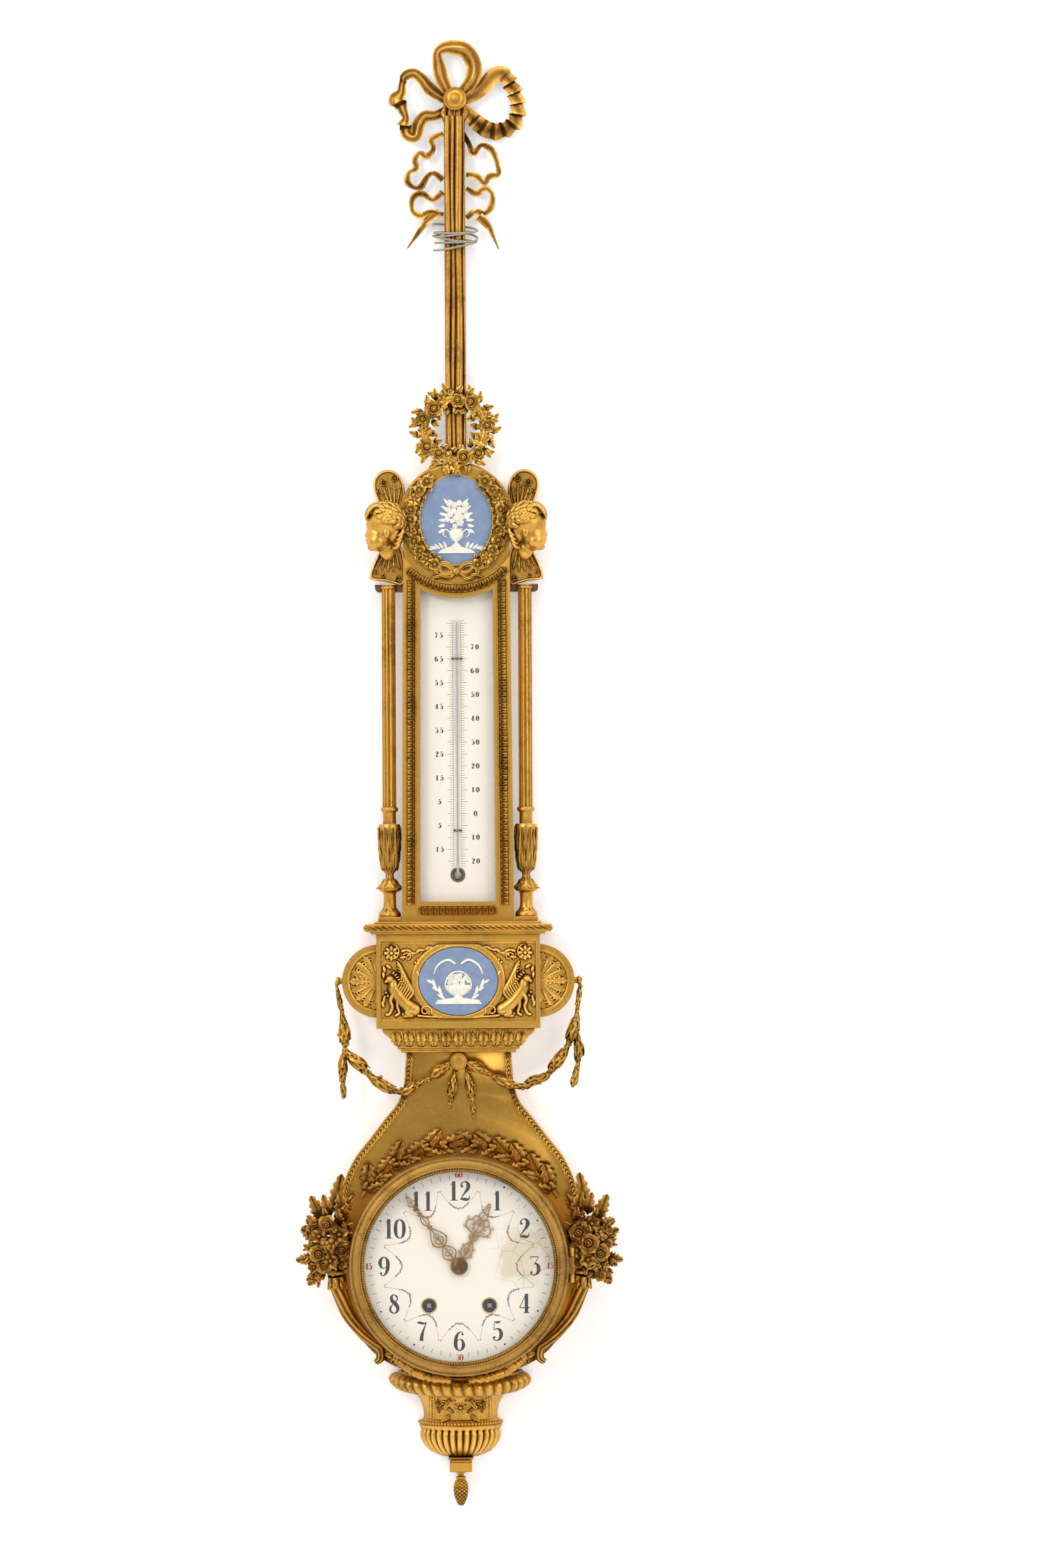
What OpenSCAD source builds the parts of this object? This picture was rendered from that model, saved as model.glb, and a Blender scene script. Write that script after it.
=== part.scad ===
// Gilt bronze wall cartel with a clock and a thermometer.
// Every outline is drawn as seen from the front, and its height stands off the wall, towards the room.
// The origin is the eye in the steel strap behind the arched head.

/* [Hanging strap and stem] */
// Radius of the eye in the strap
eye_r = 3.5; // [3:0.1:4]
// Thickness of the steel strap
strap_t = 3; // [2.5:0.1:3.5]
// Width of the steel strap
strap_w = 15; // [13:0.5:17]
// Reach of the strap above the eye
strap_up = 66; // [60:1:90]
// Reach of the strap below the eye
strap_down = 33; // [30:1:35]
// Shank radius of the case screws
screw_r = 1.4; // [1:0.1:1.6]
// Head radius of the case screws
screw_head_r = 2.7; // [2.2:0.1:3]
// Height of the screw heads
screw_head_t = 1.4; // [1:0.1:1.8]
// Length of a screw shank
screw_len = 7; // [6.5:0.1:8]
// Width of the reeded stem
stem_w = 15; // [14:0.25:16]
// Depth of the reeded stem
stem_t = 9; // [8:0.25:10]
// Height of the stem's top above the eye
stem_top = 274; // [255:1:300]

/* [Bow and ribbons] */
// Height of the bow's button above the stem's top
bow_rise = 12.2; // [11:0.1:14]
// Radius of the bow's button
bow_button_r = 8.5; // [7:0.25:9]
// Thickness of the bow's ribbon
ribbon_t = 5; // [4:0.25:6]
// Width of the wavy tails
tail_w = 3.6; // [3:0.1:4]
// Turns of twine round the stem
twine_turns = 5; // [3:1:6]
// Radius of the twine
twine_r = 0.8; // [0.6:0.05:0.9]
// Rise from turn to turn of the twine
twine_pitch = 2.7; // [2.3:0.1:3]
// Reach of the twine to each side of the stem's middle
twine_reach = 16; // [15:0.25:17]
// Height of the lowest turn of twine above the eye
twine_low = 180; // [170:1:182]
// Middle radius of the flower wreath
wreath_r = 22.5; // [21:0.5:24]
// Height of the wreath's middle above the eye
wreath_z = 46.8; // [44:0.2:50]

/* [Head and thermometer] */
// Reach of the arched head past the panel's half width
head_over = 3.1; // [2:0.1:4]
// Depth of the middle of the upper plaque below the eye
head_drop = 18.3; // [17:0.1:19]
// Thickness of the head
head_t = 14; // [13:0.25:15]
// Half width of the upper plaque
plaque_a = 26; // [24:0.2:27]
// Half height of the upper plaque
plaque_b = 32.4; // [31:0.2:33]
// Width of the panel at its top
panel_top_w = 77.4; // [76:0.2:79]
// Width of the panel at its foot
panel_foot_w = 81; // [79:0.2:81.2]
// Depth of the panel's foot below the eye
panel_foot = 308.4; // [300:0.2:320]
// Thickness of the thermometer frame
frame_t = 20; // [19:0.25:22]
// Width of the opening at its top
opening_top_w = 52.6; // [50:0.2:54]
// Width of the opening at its foot
opening_foot_w = 54.8; // [52:0.2:56]
// Height of the rail under the opening
foot_rail = 14.2; // [13:0.2:16]
// Radius of the arched lip over the opening
lip_r = 56.6; // [55:0.2:58]
// Thickness of the lip in front of the glass
lip_t = 2.2; // [2:0.1:2.6]
// Thickness of the thermometer glass
glass_t = 2; // [1.8:0.1:2.2]
// Thickness of the enamel scale plate
scale_t = 1.2; // [1:0.1:1.6]
// Outer radius of the thermometer tube
tube_r = 1.9; // [1.7:0.05:1.95]
// Depth of the tube's top below the eye
tube_top = 90; // [86:0.5:96]
// Depth of the bulb hole below the eye
bulb_drop = 275.1; // [272:0.2:278]
// Radius of the bulb hole in the scale plate
bulb_hole_r = 5.4; // [5:0.1:5.6]
// Radius of the bulb
bulb_r = 3.4; // [3:0.1:3.8]

/* [Columns] */
// Distance of the columns from the middle
column_x = 49.3; // [49.2:0.1:51]
// Radius of the fluted shafts
column_r = 5; // [4.6:0.1:5.4]
// Number of flutes
flutes = 12; // [8:1:16]
// Depth of the columns' top below the eye
column_top = 64.9; // [64:0.1:66]
// Height of the column feet
foot_h = 70.4; // [66:0.2:74]

/* [Box] */
// Width of the box
box_w = 118; // [114:0.5:122]
// Height of the box
box_h = 68.1; // [66:0.2:72]
// Depth of the box from the wall
box_t = 30; // [28:0.5:33]
// Wall thickness of the box
box_wall = 3.4; // [3:0.1:4]
// Height of the top cornice
cornice_h = 8.9; // [8.5:0.1:10]
// Overhang of the top cornice
cornice_out = 7.3; // [6.5:0.1:8]
// Height of the bottom cornice
corbel_h = 17.3; // [16:0.1:19]
// Half width of the lower plaque
medal_a = 28.5; // [27:0.25:29]
// Half height of the lower plaque
medal_b = 24.6; // [23:0.2:25.5]
// Radius of the side lobes
lobe_r = 26.3; // [25:0.2:27]

/* [Clock case] */
// Depth of the dial's middle below the eye
dial_drop = 554.2; // [548:0.2:560]
// Thickness of the clock case
case_t = 18; // [17:0.25:19]
// Wall thickness of the clock case
case_wall = 3; // [2.5:0.1:3.5]
// Height of the border moulding on the case
border_t = 2; // [1.6:0.1:2.4]
// Width of the border moulding
border_w = 5; // [4:0.25:6]
// Inner radius of the drum
drum_r = 73; // [72.6:0.1:73.4]
// Wall thickness of the drum
drum_wall = 3; // [2.5:0.1:3.3]
// Distance of the drum's front edge from the wall
drum_front = 62; // [61.4:0.1:63]
// Reach of the bezel past the drum's wall
bezel_over = 2.6; // [2:0.1:3]
// Depth of the bezel ring
bezel_t = 11.7; // [11:0.1:12.4]
// Cover of the bezel inside the drum, up to the glass that shows
sight_in = 5.1; // [4:0.1:6]
// Thickness of the bezel glass
bezel_glass_t = 1.5; // [1.2:0.1:1.8]
// Play of the dial inside the drum
dial_play = 1.5; // [1.2:0.1:2]
// Thickness of the dial
dial_t = 1.4; // [1.2:0.1:1.6]
// Radius of the winding holes in the dial
wind_hole_r = 5.5; // [5:0.1:5.8]
// Distance of the winding holes from the middle line
wind_x = 21.6; // [21.4:0.1:22]
// Depth of the winding holes below the dial's middle
wind_drop = 28.3; // [28:0.1:29]
// Radius of the hinge pin
pin_r = 0.9; // [0.8:0.05:1]
// Radius of the hinge knuckles
knuckle_r = 2.2; // [2:0.05:2.3]

/* [Hands and movement] */
// Reach of the minute hand
minute_len = 65; // [60:0.5:66]
// Reach of the hour hand
hour_len = 50.5; // [46:0.5:52]
// Thickness of the hands
hand_t = 0.6; // [0.5:0.05:0.7]
// Play of the movement plates inside the drum
plate_play = 3; // [2.5:0.1:4]
// Thickness of the movement plates
plate_t = 2; // [1.8:0.1:2.2]
// Distance of the front plate's face from the wall
plate_front = 55; // [54.5:0.1:55.5]
// Distance between the plates
plate_gap = 24; // [23.5:0.1:24.5]
// Radius of the barrels
barrel_r = 15.5; // [14:0.1:15.7]
// Height of the barrels
barrel_h = 13; // [12:0.1:13.5]
// Radius of the winding arbors
arbor_r = 2; // [1.8:0.05:2.2]
// Running clearance of the shafts
fit = 0.05; // [0.03:0.01:0.08]
// Radius of the bell
bell_r = 30; // [28:0.5:32]
// Reach of the pendulum below its suspension
pendulum_len = 95; // [92:0.5:96]
// Radius of the pendulum bob
bob_r = 11; // [9:0.5:12]

/* [Urn] */
// Radius of the urn's rim
rim_r = 52.4; // [50:0.2:54]
// Height of the urn's rim
rim_h = 14; // [13:0.2:15]
// Height of the urn below the rim
urn_h = 49.8; // [47:0.2:53]
// Width of the block under the urn
block_w = 16.2; // [15:0.2:17]
// Height of the block
block_h = 9.6; // [9:0.1:11]
// Length of the pine cone finial
finial_h = 25.5; // [24:0.1:28]
// Radius of the pine cone finial
finial_r = 5; // [4.5:0.1:5.5]

/* [Hidden] */
$fn = 64;
gap = 0.3;
seat = 0.1;
hull_fn = 14;

// Colours
gilt = [0.72, 0.52, 0.16];
dark_gilt = [0.55, 0.38, 0.14];
brass = [0.78, 0.62, 0.3];
steel = [0.45, 0.45, 0.46];
white = [0.95, 0.94, 0.9];
blue = [0.5, 0.58, 0.74];

// Levels off the wall
stem_level = strap_t;
stem_face = stem_level + stem_t;
glass_face = frame_t - lip_t;
glass_back = glass_face - glass_t;
scale_face = 11;
scale_back = scale_face - scale_t;
board_flange = 1.5;
board_level = 0.5;
board_step = board_level + board_flange;
border_face = case_t + border_t;
dial_face = drum_front + dial_t;
bezel_back = drum_front + gap;
bezel_face = bezel_back + bezel_t;
plate_back = plate_front - plate_t;
rear_plate = plate_back - plate_gap;
rear_face = rear_plate - plate_t;

// Radii that follow the panel and the drum
head_r = panel_top_w / 2 + head_over;
bezel_r = drum_r + drum_wall + bezel_over;
sight_r = drum_r - sight_in;
dial_r = drum_r - dial_play;
plate_r = drum_r - plate_play;

// Heights
bow_z = stem_top + bow_rise;
panel_z = -panel_foot;
opening_z = panel_z + foot_rail;
box_top = panel_z - cornice_h;
box_z = box_top - box_h;
case_top = box_z - corbel_h;
dial_z = -dial_drop;
lobe_z = box_top - box_h / 2;
urn_top = dial_z - bezel_r - gap;
rim_z = urn_top - rim_h;
bowl_z = rim_z - urn_h;
block_z = bowl_z - block_h;

// Places on the movement, seen from the front, measured from the dial's middle
module_wheel = 0.5;
centre_leaves = 10;
middle_teeth = 60;
barrel_leaves = 8;
great_teeth = 80;
middle_reach = module_wheel * 1.1 * (centre_leaves + middle_teeth) / 2;
great_reach = module_wheel * (barrel_leaves + great_teeth) / 2;
wind_dist = norm([wind_x, wind_drop]);
along = (pow(middle_reach, 2) - pow(great_reach, 2) + pow(wind_dist, 2)) / (2 * wind_dist);
aside = sqrt(pow(middle_reach, 2) - pow(along, 2));
wind_at = [wind_x, -wind_drop];
middle_at = [
    (along * wind_x + aside * wind_drop) / wind_dist,
    (-along * wind_drop + aside * wind_x) / wind_dist
];
module_third = 0.4;
centre_teeth = 84;
third_leaves = 7;
third_reach = module_third * (centre_teeth + third_leaves) / 2;
third_turn = 120;
third_at = third_reach * [cos(third_turn), sin(third_turn)];
module_escape = 0.32;
third_teeth = 90;
escape_leaves = 6;
escape_reach = module_escape * (third_teeth + escape_leaves) / 2;
escape_at = [0, third_at[1] + sqrt(pow(escape_reach, 2) - pow(third_at[0], 2))];
escape_r = 8;
anchor_at = [0, escape_at[1] + 11.5];
module_motion = 0.5;
cannon_leaves = 12;
minute_teeth = 36;
minute_at = [0, module_motion * (cannon_leaves + minute_teeth) / 2];
motion_leaves = 10;
hour_teeth = 40;
module_hour = 2 * minute_at[1] / (motion_leaves + hour_teeth);
minute_turn = 36.9;
hour_turn = -26.6;
cannon_r = 1.75;
pipe_wall = 1.1;
pipe_r = cannon_r + fit + pipe_wall;
square_w = 3.2;
pivot_r = 0.6;
bell_at = [20, 10];
hammer_at = [-40, -8];
hinge_x = bezel_r + 1.6;
hinge_h = drum_front - 1.5;
knuckle_h = 12;
hinge_gap = 0.3;

// Draws seen from the front: the sketch stands up and its height comes off the wall
module up() rotate([90, 0, 0]) children();
module slab(low, high) translate([0, 0, low]) linear_extrude(height = high - low) children();
module disc(r, low, high) translate([0, 0, low]) cylinder(r = r, h = high - low);
module ring(outer, inner, low, high) slab(low, high) difference() { circle(r = outer); circle(r = inner); }
module both() {
    children();
    mirror([1, 0, 0]) children();
}
module at_dial() translate([0, dial_z, 0]) children();

// The smallest skin round a set of points
module skin(points) hull() polyhedron(points, [[for (k = [0:len(points) - 1]) k]]);

// A smooth curve through hand picked points, with steps between each pair
function blend(a, b, c, d, t) =
    0.5 * (2 * b + (c - a) * t + (2 * a - 5 * b + 4 * c - d) * t * t + (3 * b - a - 3 * c + d) * t * t * t);
function curve(pts, steps) = let (last = len(pts) - 1) [
    for (i = [0:last - 1], s = [0:steps - 1])
        blend(pts[max(i - 1, 0)], pts[i], pts[i + 1], pts[min(i + 2, last)], s / steps),
    pts[last]
];
function oval(a, b, steps = 48) = [for (k = [0:steps - 1]) let (t = 360 * k / steps) [a * cos(t),
    b * sin(t)]];
function heading(pts, i) = let (d = pts[min(i + 1, len(pts) - 1)] - pts[max(i - 1, 0)]) atan2(d[1], d[0]);
function side_of(p, turn, r) = [p[0] - r * sin(turn), p[1] + r * cos(turn)];

// Flat ribbons with a raised middle. Points are x, height and width, and tiny notches are closed.
crease = 0.3;
module band(pts, share) {
    function edge(i, s) = side_of(pts[i], heading(pts, i), s * share * pts[i][2] / 2);
    for (i = [0:len(pts) - 2]) polygon([edge(i, 1), edge(i, -1), edge(i + 1, -1), edge(i + 1, 1)]);
}
module ribbons(paths, thick) {
    slab(0, 0.7 * thick) offset(delta = -crease) offset(delta = crease) for (pts = paths) band(pts, 1);
    slab(0.7 * thick, thick) offset(delta = -crease) offset(delta = crease) for (pts = paths) band(pts,
        0.55);
}

// A rounded bundle along a path. Points are x, height, level of its middle and radius.
module bundle(pts) {
    function bead(p) = [for (k = [0:5]) let (t = 60 * k) [p[0] + p[3] * cos(t), p[1] + p[3] * sin(t), p[2]],
        [p[0], p[1], p[2] + p[3]], [p[0], p[1], p[2] - p[3]]];
    for (i = [0:len(pts) - 2]) skin(concat(bead(pts[i]), bead(pts[i + 1])));
}

// A pointed leaf that lies flat, its base at the origin and its tip along x
module leaf(len, wide, thick) skin([
    [0, 0, 0], [0.45 * len, wide / 2, 0], [0.45 * len, -wide / 2, 0], [len, 0, 0.3 * thick],
    [0.1 * len, 0, 0.7 * thick], [0.5 * len, 0, thick]
]);

// A round flower with a raised heart
module flower(r, thick) skin([
    for (k = [0:7]) let (t = 45 * k) [r * cos(t), r * sin(t), 0],
    for (k = [0:7]) let (t = 45 * k) [0.85 * r * cos(t), 0.85 * r * sin(t), 0.6 * thick],
    for (k = [0:3]) let (t = 90 * k) [0.4 * r * cos(t), 0.4 * r * sin(t), thick]
]);

// A wheel with blunt teeth, one of them on the x axis
module gear(teeth, size, thick, fill) {
    r = size * teeth / 2;
    step = 360 / teeth;
    out = 0.75 * size;
    in = 1.1 * size;
    points = [for (k = [0:teeth - 1], c = [[r - in, -0.3], [r, -fill / 2], [r + out, -0.1], [r + out, 0.1],
        [r, fill / 2], [r - in, 0.3]]) let (t = step * (k + c[1])) [c[0] * cos(t), c[0] * sin(t)]];
    linear_extrude(height = thick) polygon(points);
}

// Outlines
function panel_half(z) = let (t = (z + 77) / (panel_z + 77))
    (panel_top_w + (panel_foot_w - panel_top_w) * t) / 2;
function opening_half(z) = let (t = (z + 77) / (opening_z + 77))
    (opening_top_w + (opening_foot_w - opening_top_w) * t) / 2;
shoulder_z = -head_drop - sqrt(pow(head_r, 2) - pow(panel_top_w / 2, 2));
module panel_outline(grow = 0) polygon([
    [-panel_half(shoulder_z) - grow, shoulder_z], [panel_half(shoulder_z) + grow, shoulder_z],
    [panel_half(panel_z) + grow, panel_z], [-panel_half(panel_z) - grow, panel_z]
]);
module opening_outline(top, foot, grow) polygon([
    [-opening_half(top) - grow, top], [opening_half(top) + grow, top],
    [opening_half(foot) + grow, foot], [-opening_half(foot) - grow, foot]
]);
module at_head() translate([0, -head_drop, 0]) children();
module frame_envelope() {
    at_head() disc(head_r + seat, -seat, head_t + seat);
    slab(-seat, frame_t + seat) panel_outline(seat);
}

// Points drawn round a drum of this radius move out with it
drum_drawn = 73;
function grown(p) = p * (1 + (drum_r - drum_drawn) / norm(p));
case_round = [
    [43.9, 115.3], [53.5, 103.3], [64.5, 89], [75.2, 75.2], [82.9, 59], [87.6, 39.5], [89.6, 17.5],
    [89.4, -2.5], [86.6, -21.5], [81.2, -38.5], [72.5, -53.5], [61.5, -66], [48, -74.8]
];
case_half = concat(
    [[37.8, case_top], [39, case_top - 17], [39.8, case_top - 24]],
    [for (p = case_round) grown(p) + [0, dial_z]],
    [[36, urn_top + seat]]
);
case_side = curve(case_half, 3);
function inset(pts, d) = [for (i = [0:len(pts) - 1]) let (turn = heading(pts, i)) side_of(pts[i], turn,
    -d)];
function mirrored(pts) = [for (i = [0:len(pts) - 1]) let (p = pts[len(pts) - 1 - i]) [-p[0], p[1]]];
function closed_pair(pts) = concat(pts, mirrored(pts));
module case_outline(d) polygon(closed_pair([for (p = inset(case_side, d)) [p[0], min(p[1], case_top)]]));

// Ribbon bow: button at its heart, one upright loop and two side loops
bow_upright = [
    [-4, 4, 7], [-9, 14, 10], [-11.5, 24, 9], [-12.6, 33, 6], [-8, 37.6, 9], [0, 37.8, 12.6], [8.5, 34.5,
        11],
    [13.6, 25, 11.5], [13, 15, 11], [6, 5, 8]
];
bow_right = [
    [5, -1, 6], [13.8, 3.1, 9], [21.7, 9.9, 11], [28.6, 17.6, 11], [35, 18.6, 10.5], [40.3, 11, 10],
    [43.8, 3.6, 10.2], [45.6, -6.6, 10], [43.6, -15.6, 10.5], [38.2, -21, 10.5], [31.4, -23.2, 11.5],
    [24.6, -22.4, 12], [17.2, -18, 12], [11, -12, 10], [5, -5, 7]
];
bow_left = [
    [-6, 0, 7], [-16.8, 6.5, 9], [-23.6, 14.4, 8], [-29.6, 19, 7], [-35.6, 17.2, 6.5], [-38.6, 11.4, 5],
    [-38.8, 5.5, 7], [-41.4, -0.4, 11], [-38.2, -7.4, 7], [-35.4, -13, 5], [-36.6, -19, 9.5], [-34.6, -25,
        9.5],
    [-29, -26.4, 9], [-26.2, -17.9, 9.5], [-21.4, -12.2, 8.5], [-14, -11.6, 6.5], [-5, -7, 6]
];
bow_steps = 2;
module ribbon_bow() color(dark_gilt) up() difference() {
    translate([0.5, bow_z, stem_level]) {
        ribbons([for (path = [bow_upright, bow_right, bow_left]) curve(path, bow_steps)], ribbon_t);
        disc(bow_button_r - 1.1, 0, stem_t);
        slab(0, stem_t - 1) polygon([[-7, -bow_rise], [7, -bow_rise], [5, 0], [-5, 0]]);
    }
    translate([-stem_w / 2 - gap, 0, 0]) cube([stem_w + 2 * gap, stem_top, stem_face + gap]);
}

// Buttons of the bow and the garland, and the two knobs on the side lobes
garland_button_r = 6.4;
garland_button_z = case_top - 6.6;
knob_r = 3.2;
knob_x = box_w / 2 + lobe_r - 1.4;
knob_h = 16;
module boss_knobs() color(dark_gilt) up() {
    translate([0.5, bow_z, 0]) {
        disc(bow_button_r, stem_face, stem_face + 2.6);
        disc(bow_button_r - 1.4, stem_face + 2.6, stem_face + 3.6);
    }
    translate([0, garland_button_z, 0]) {
        disc(garland_button_r - 2.6, case_t, case_t + 9);
        disc(garland_button_r, case_t + 9, case_t + 12);
        disc(garland_button_r - 1.4, case_t + 12, case_t + 13);
    }
    both() translate([knob_x, lobe_z, knob_h]) rotate([0, 90, 0]) {
        cylinder(r = knob_r - 1, h = 2);
        translate([0, 0, 2]) cylinder(r = knob_r, h = 2.6);
    }
}

// Stem with three reeds, its foot cut to the arch of the head
module stem() color(dark_gilt) up() rotate([-90, 0, 0]) difference() {
    translate([0, 0, head_r - head_drop - 6]) linear_extrude(height = stem_top - head_r + head_drop + 6)
        intersection() {
            translate([-stem_w / 2, -stem_face]) square([stem_w, stem_t]);
            union() {
                translate([-stem_w / 2, -stem_level - stem_t / 2]) square([stem_w, stem_t / 2]);
                for (k = [-1:1]) translate([k * stem_w / 3,
                    -stem_face + stem_w / 6]) circle(r = stem_w / 6);
                translate([-stem_w / 2, -stem_face + stem_w / 6]) square([stem_w, stem_t - stem_w / 6]);
            }
        }
    translate([0, seat, -head_drop]) rotate([90, 0, 0]) cylinder(r = head_r + gap, h = stem_face + 1);
    for (z = [strap_up - 8, strap_up - 28]) translate([0, -stem_level + seat, z]) rotate([90, 0, 0])
        cylinder(r = screw_r, h = screw_len - strap_t + 0.6);
}

// Wavy tails of the bow, on both sides of the stem. Their points are x and height above the twine.
tail_upper = [
    [-8.2, 82], [-16.8, 77], [-15.1, 70.6], [-20.2, 65], [-24.8, 67.8], [-28.7, 62.6], [-27.6, 56.4],
        [-32.9, 53.4],
    [-34.2, 46.8], [-29.3, 42.6], [-24.2, 43.2], [-19.7, 50.6], [-14.6, 52.8], [-8.6, 48]
];
tail_middle = [
    [-8.4, 39.2], [-16.3, 33.2], [-22.5, 38], [-29.7, 35.6], [-31, 26.2], [-24.6, 22], [-18, 25], [-8.4,
        22.4]
];
tail_end = [[-11, 24.6], [-18.4, 20.2], [-23.6, 13.6], [-28.7, 6.6], [-34.4, -1.4]];
tail_level = stem_level + 1;
function tail_path(pts, from, to) = [for (i = [0:len(pts) - 1]) let (t = i / (len(pts) - 1))
    [pts[i][0], pts[i][1], from + (to - from) * t]];
module ribbon_tails() color(dark_gilt) up() difference() {
    translate([0, twine_low, tail_level]) both() ribbons([
        curve(tail_path(tail_upper, tail_w, tail_w), 2), curve(tail_path(tail_middle, tail_w, tail_w), 2),
        curve(tail_path(tail_end, 1.7 * tail_w, 0.6), 2)
    ], ribbon_t);
    translate([-stem_w / 2 - seat, 0, 0]) cube([stem_w + 2 * seat, stem_top, stem_face + gap]);
}

// Steel strap with the wall eye
module hanger_strap() color(steel) up() difference() {
    slab(0, strap_t) {
        translate([-strap_w / 2, -strap_down + strap_w / 2]) square([strap_w,
            strap_up + strap_down - strap_w]);
        translate([0, strap_up - strap_w / 2]) circle(r = strap_w / 2);
        translate([0, -strap_down + strap_w / 2]) circle(r = strap_w / 2);
    }
    disc(eye_r, -1, strap_t + 1);
    for (z = strap_screws) translate([0, z, -1]) cylinder(r = screw_r + fit, h = strap_t + 2);
    for (z = strap_screws) translate([0, z, -1]) cylinder(r = screw_head_r + fit, h = screw_head_t + 1);
}
strap_screws = [strap_up - 8, strap_up - 28, -strap_down + 19, -strap_down + 7];

// Screws: strap, backing board, column brackets, drum and cornices
board_screw_z = [opening_z + 12, -80];
module screw(len) {
    cylinder(r = screw_head_r, h = screw_head_t);
    cylinder(r = screw_r, h = len);
}
module case_screws() color(steel) up() {
    for (z = strap_screws) translate([0, z, 0]) screw(screw_len);
    both() for (z = board_screw_z) translate([opening_half(z) + board_lip, z, board_level - screw_head_t])
        screw(screw_len);
    at_dial() for (k = [0:2]) rotate(90 + 120 * k) translate([drum_screw_r, 0, case_t + drum_foot_t]) {
        cylinder(r = drum_head_r, h = screw_head_t);
        translate([0, 0, -drum_screw_len]) cylinder(r = drum_shank_r, h = drum_screw_len);
    }
}

// Twine in one unbroken coil round the stem, kept clear of it
twine_mid = (twine_r + 0.5 + stem_face + twine_r + 0.5) / 2;
twine_deep = (stem_face + twine_r + 0.5 - twine_r - 0.5) / 2;
twine_rings = 24;
function twine_point(k) = let (t = 360 * k / twine_rings + 200, reach = twine_reach + 0.7 * sin(t / 2.3))
    [reach * cos(t), twine_low + twine_pitch * k / twine_rings + 0.2 * sin(1.7 * t),
        twine_mid - twine_deep * sin(t)];
twine_path = [for (k = [0:twine_turns * twine_rings]) twine_point(k)];
twine_gap = min([for (i = [0:twine_rings * (twine_turns - 1)], j = [-2:2])
    norm(twine_path[i] - twine_path[min(max(i + twine_rings + j, 0), len(twine_path) - 1)])]) - 2 * twine_r;
echo(twine_least_gap = twine_gap);
module tube(path, r, sides) {
    n = len(path);
    function dir(i) = let (d = path[min(i + 1, n - 1)] - path[max(i - 1, 0)]) d / norm(d);
    function rim(i) = let (d = dir(i), a = cross(d, [0, 1, 0]), u = a / norm(a), v = cross(d, u))
        [for (k = [0:sides - 1]) path[i] + r * (u * cos(360 * k / sides) + v * sin(360 * k / sides))];
    points = [for (i = [0:n - 1]) each rim(i)];
    polyhedron(points, concat([[for (k = [0:sides - 1]) k]],
        [for (i = [0:n - 2], k = [0:sides - 1], half = [0, 1]) let (a = i * sides + k,
            b = i * sides + (k + 1) % sides) half == 0 ? [a, a + sides, b] : [b, a + sides, b + sides]],
        [[for (k = [0:sides - 1]) (n - 1) * sides + sides - 1 - k]]));
}
module twine_binding() color([0.55, 0.52, 0.44]) up() tube(twine_path, twine_r, 6);

// Flower wreath in front of the stem's foot
wreath_level = stem_face + seat;
wreath_flowers = 12;
module flower_wreath() color(gilt) up() difference() {
    translate([-1, wreath_z, wreath_level]) {
        for (k = [0:wreath_flowers - 1]) let (t = 360 * k / wreath_flowers,
            r = wreath_r + (k % 2 == 0 ? 3 : -2)) {
            rotate(t) translate([r, 0, 0]) flower(5.4 + (k % 3) * 0.5, 8);
            rotate(t + 13) translate([wreath_r + 1, 0, 0.1]) rotate(20) leaf(11, 6, 4);
        }
        bundle([for (k = [0:12]) let (t = 30 * k) [wreath_r * cos(t), wreath_r * sin(t), 3, 3]]);
    }
    at_head() disc(head_r + gap, 0, head_t + gap);
}

// Thermometer frame: arched head and long panel in one casting
pocket_grow = 2.9;
board_grow = 4.6;
board_lip = 6.8;
flange_grow = 9.8;
pocket_top = -head_drop - lip_r + 10.4;
module frame_pocket(grow, low, high, slack = 0)
    slab(low, high) opening_outline(pocket_top - slack, opening_z - grow + 2 * slack, grow - slack);
module thermometer_frame() color(gilt) up() difference() {
    union() {
        at_head() disc(head_r, 0, head_t);
        difference() {
            slab(0, frame_t) panel_outline();
            at_head() disc(lip_r - 10.1, head_t, frame_t + 1);
        }
    }
    slab(-1, frame_t + 1) difference() {
        opening_outline(shoulder_z, opening_z, 0);
        at_head() circle(r = lip_r);
    }
    frame_pocket(pocket_grow, scale_face - seat, glass_face);
    frame_pocket(board_grow, board_step, scale_face);
    frame_pocket(flange_grow, -1, board_step);
    at_head() slab(head_t - 3, head_t + 1) polygon(oval(plaque_a + 0.2, plaque_b + 0.2));
    translate([0, -head_drop, 0]) slab(-1, strap_t)
        translate([-strap_w / 2 - seat, head_drop - strap_down - seat]) square([strap_w + 2 * seat, 90]);
    disc(eye_r + 1.5, 0, strap_t + 5);
    for (z = [strap_screws[2], strap_screws[3]]) translate([0, z, 0]) cylinder(r = screw_r,
        h = screw_len + 0.6);
    both() for (z = board_screw_z) translate([opening_half(z) + board_lip, z, 0])
        cylinder(r = screw_r, h = screw_len);
}

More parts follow.
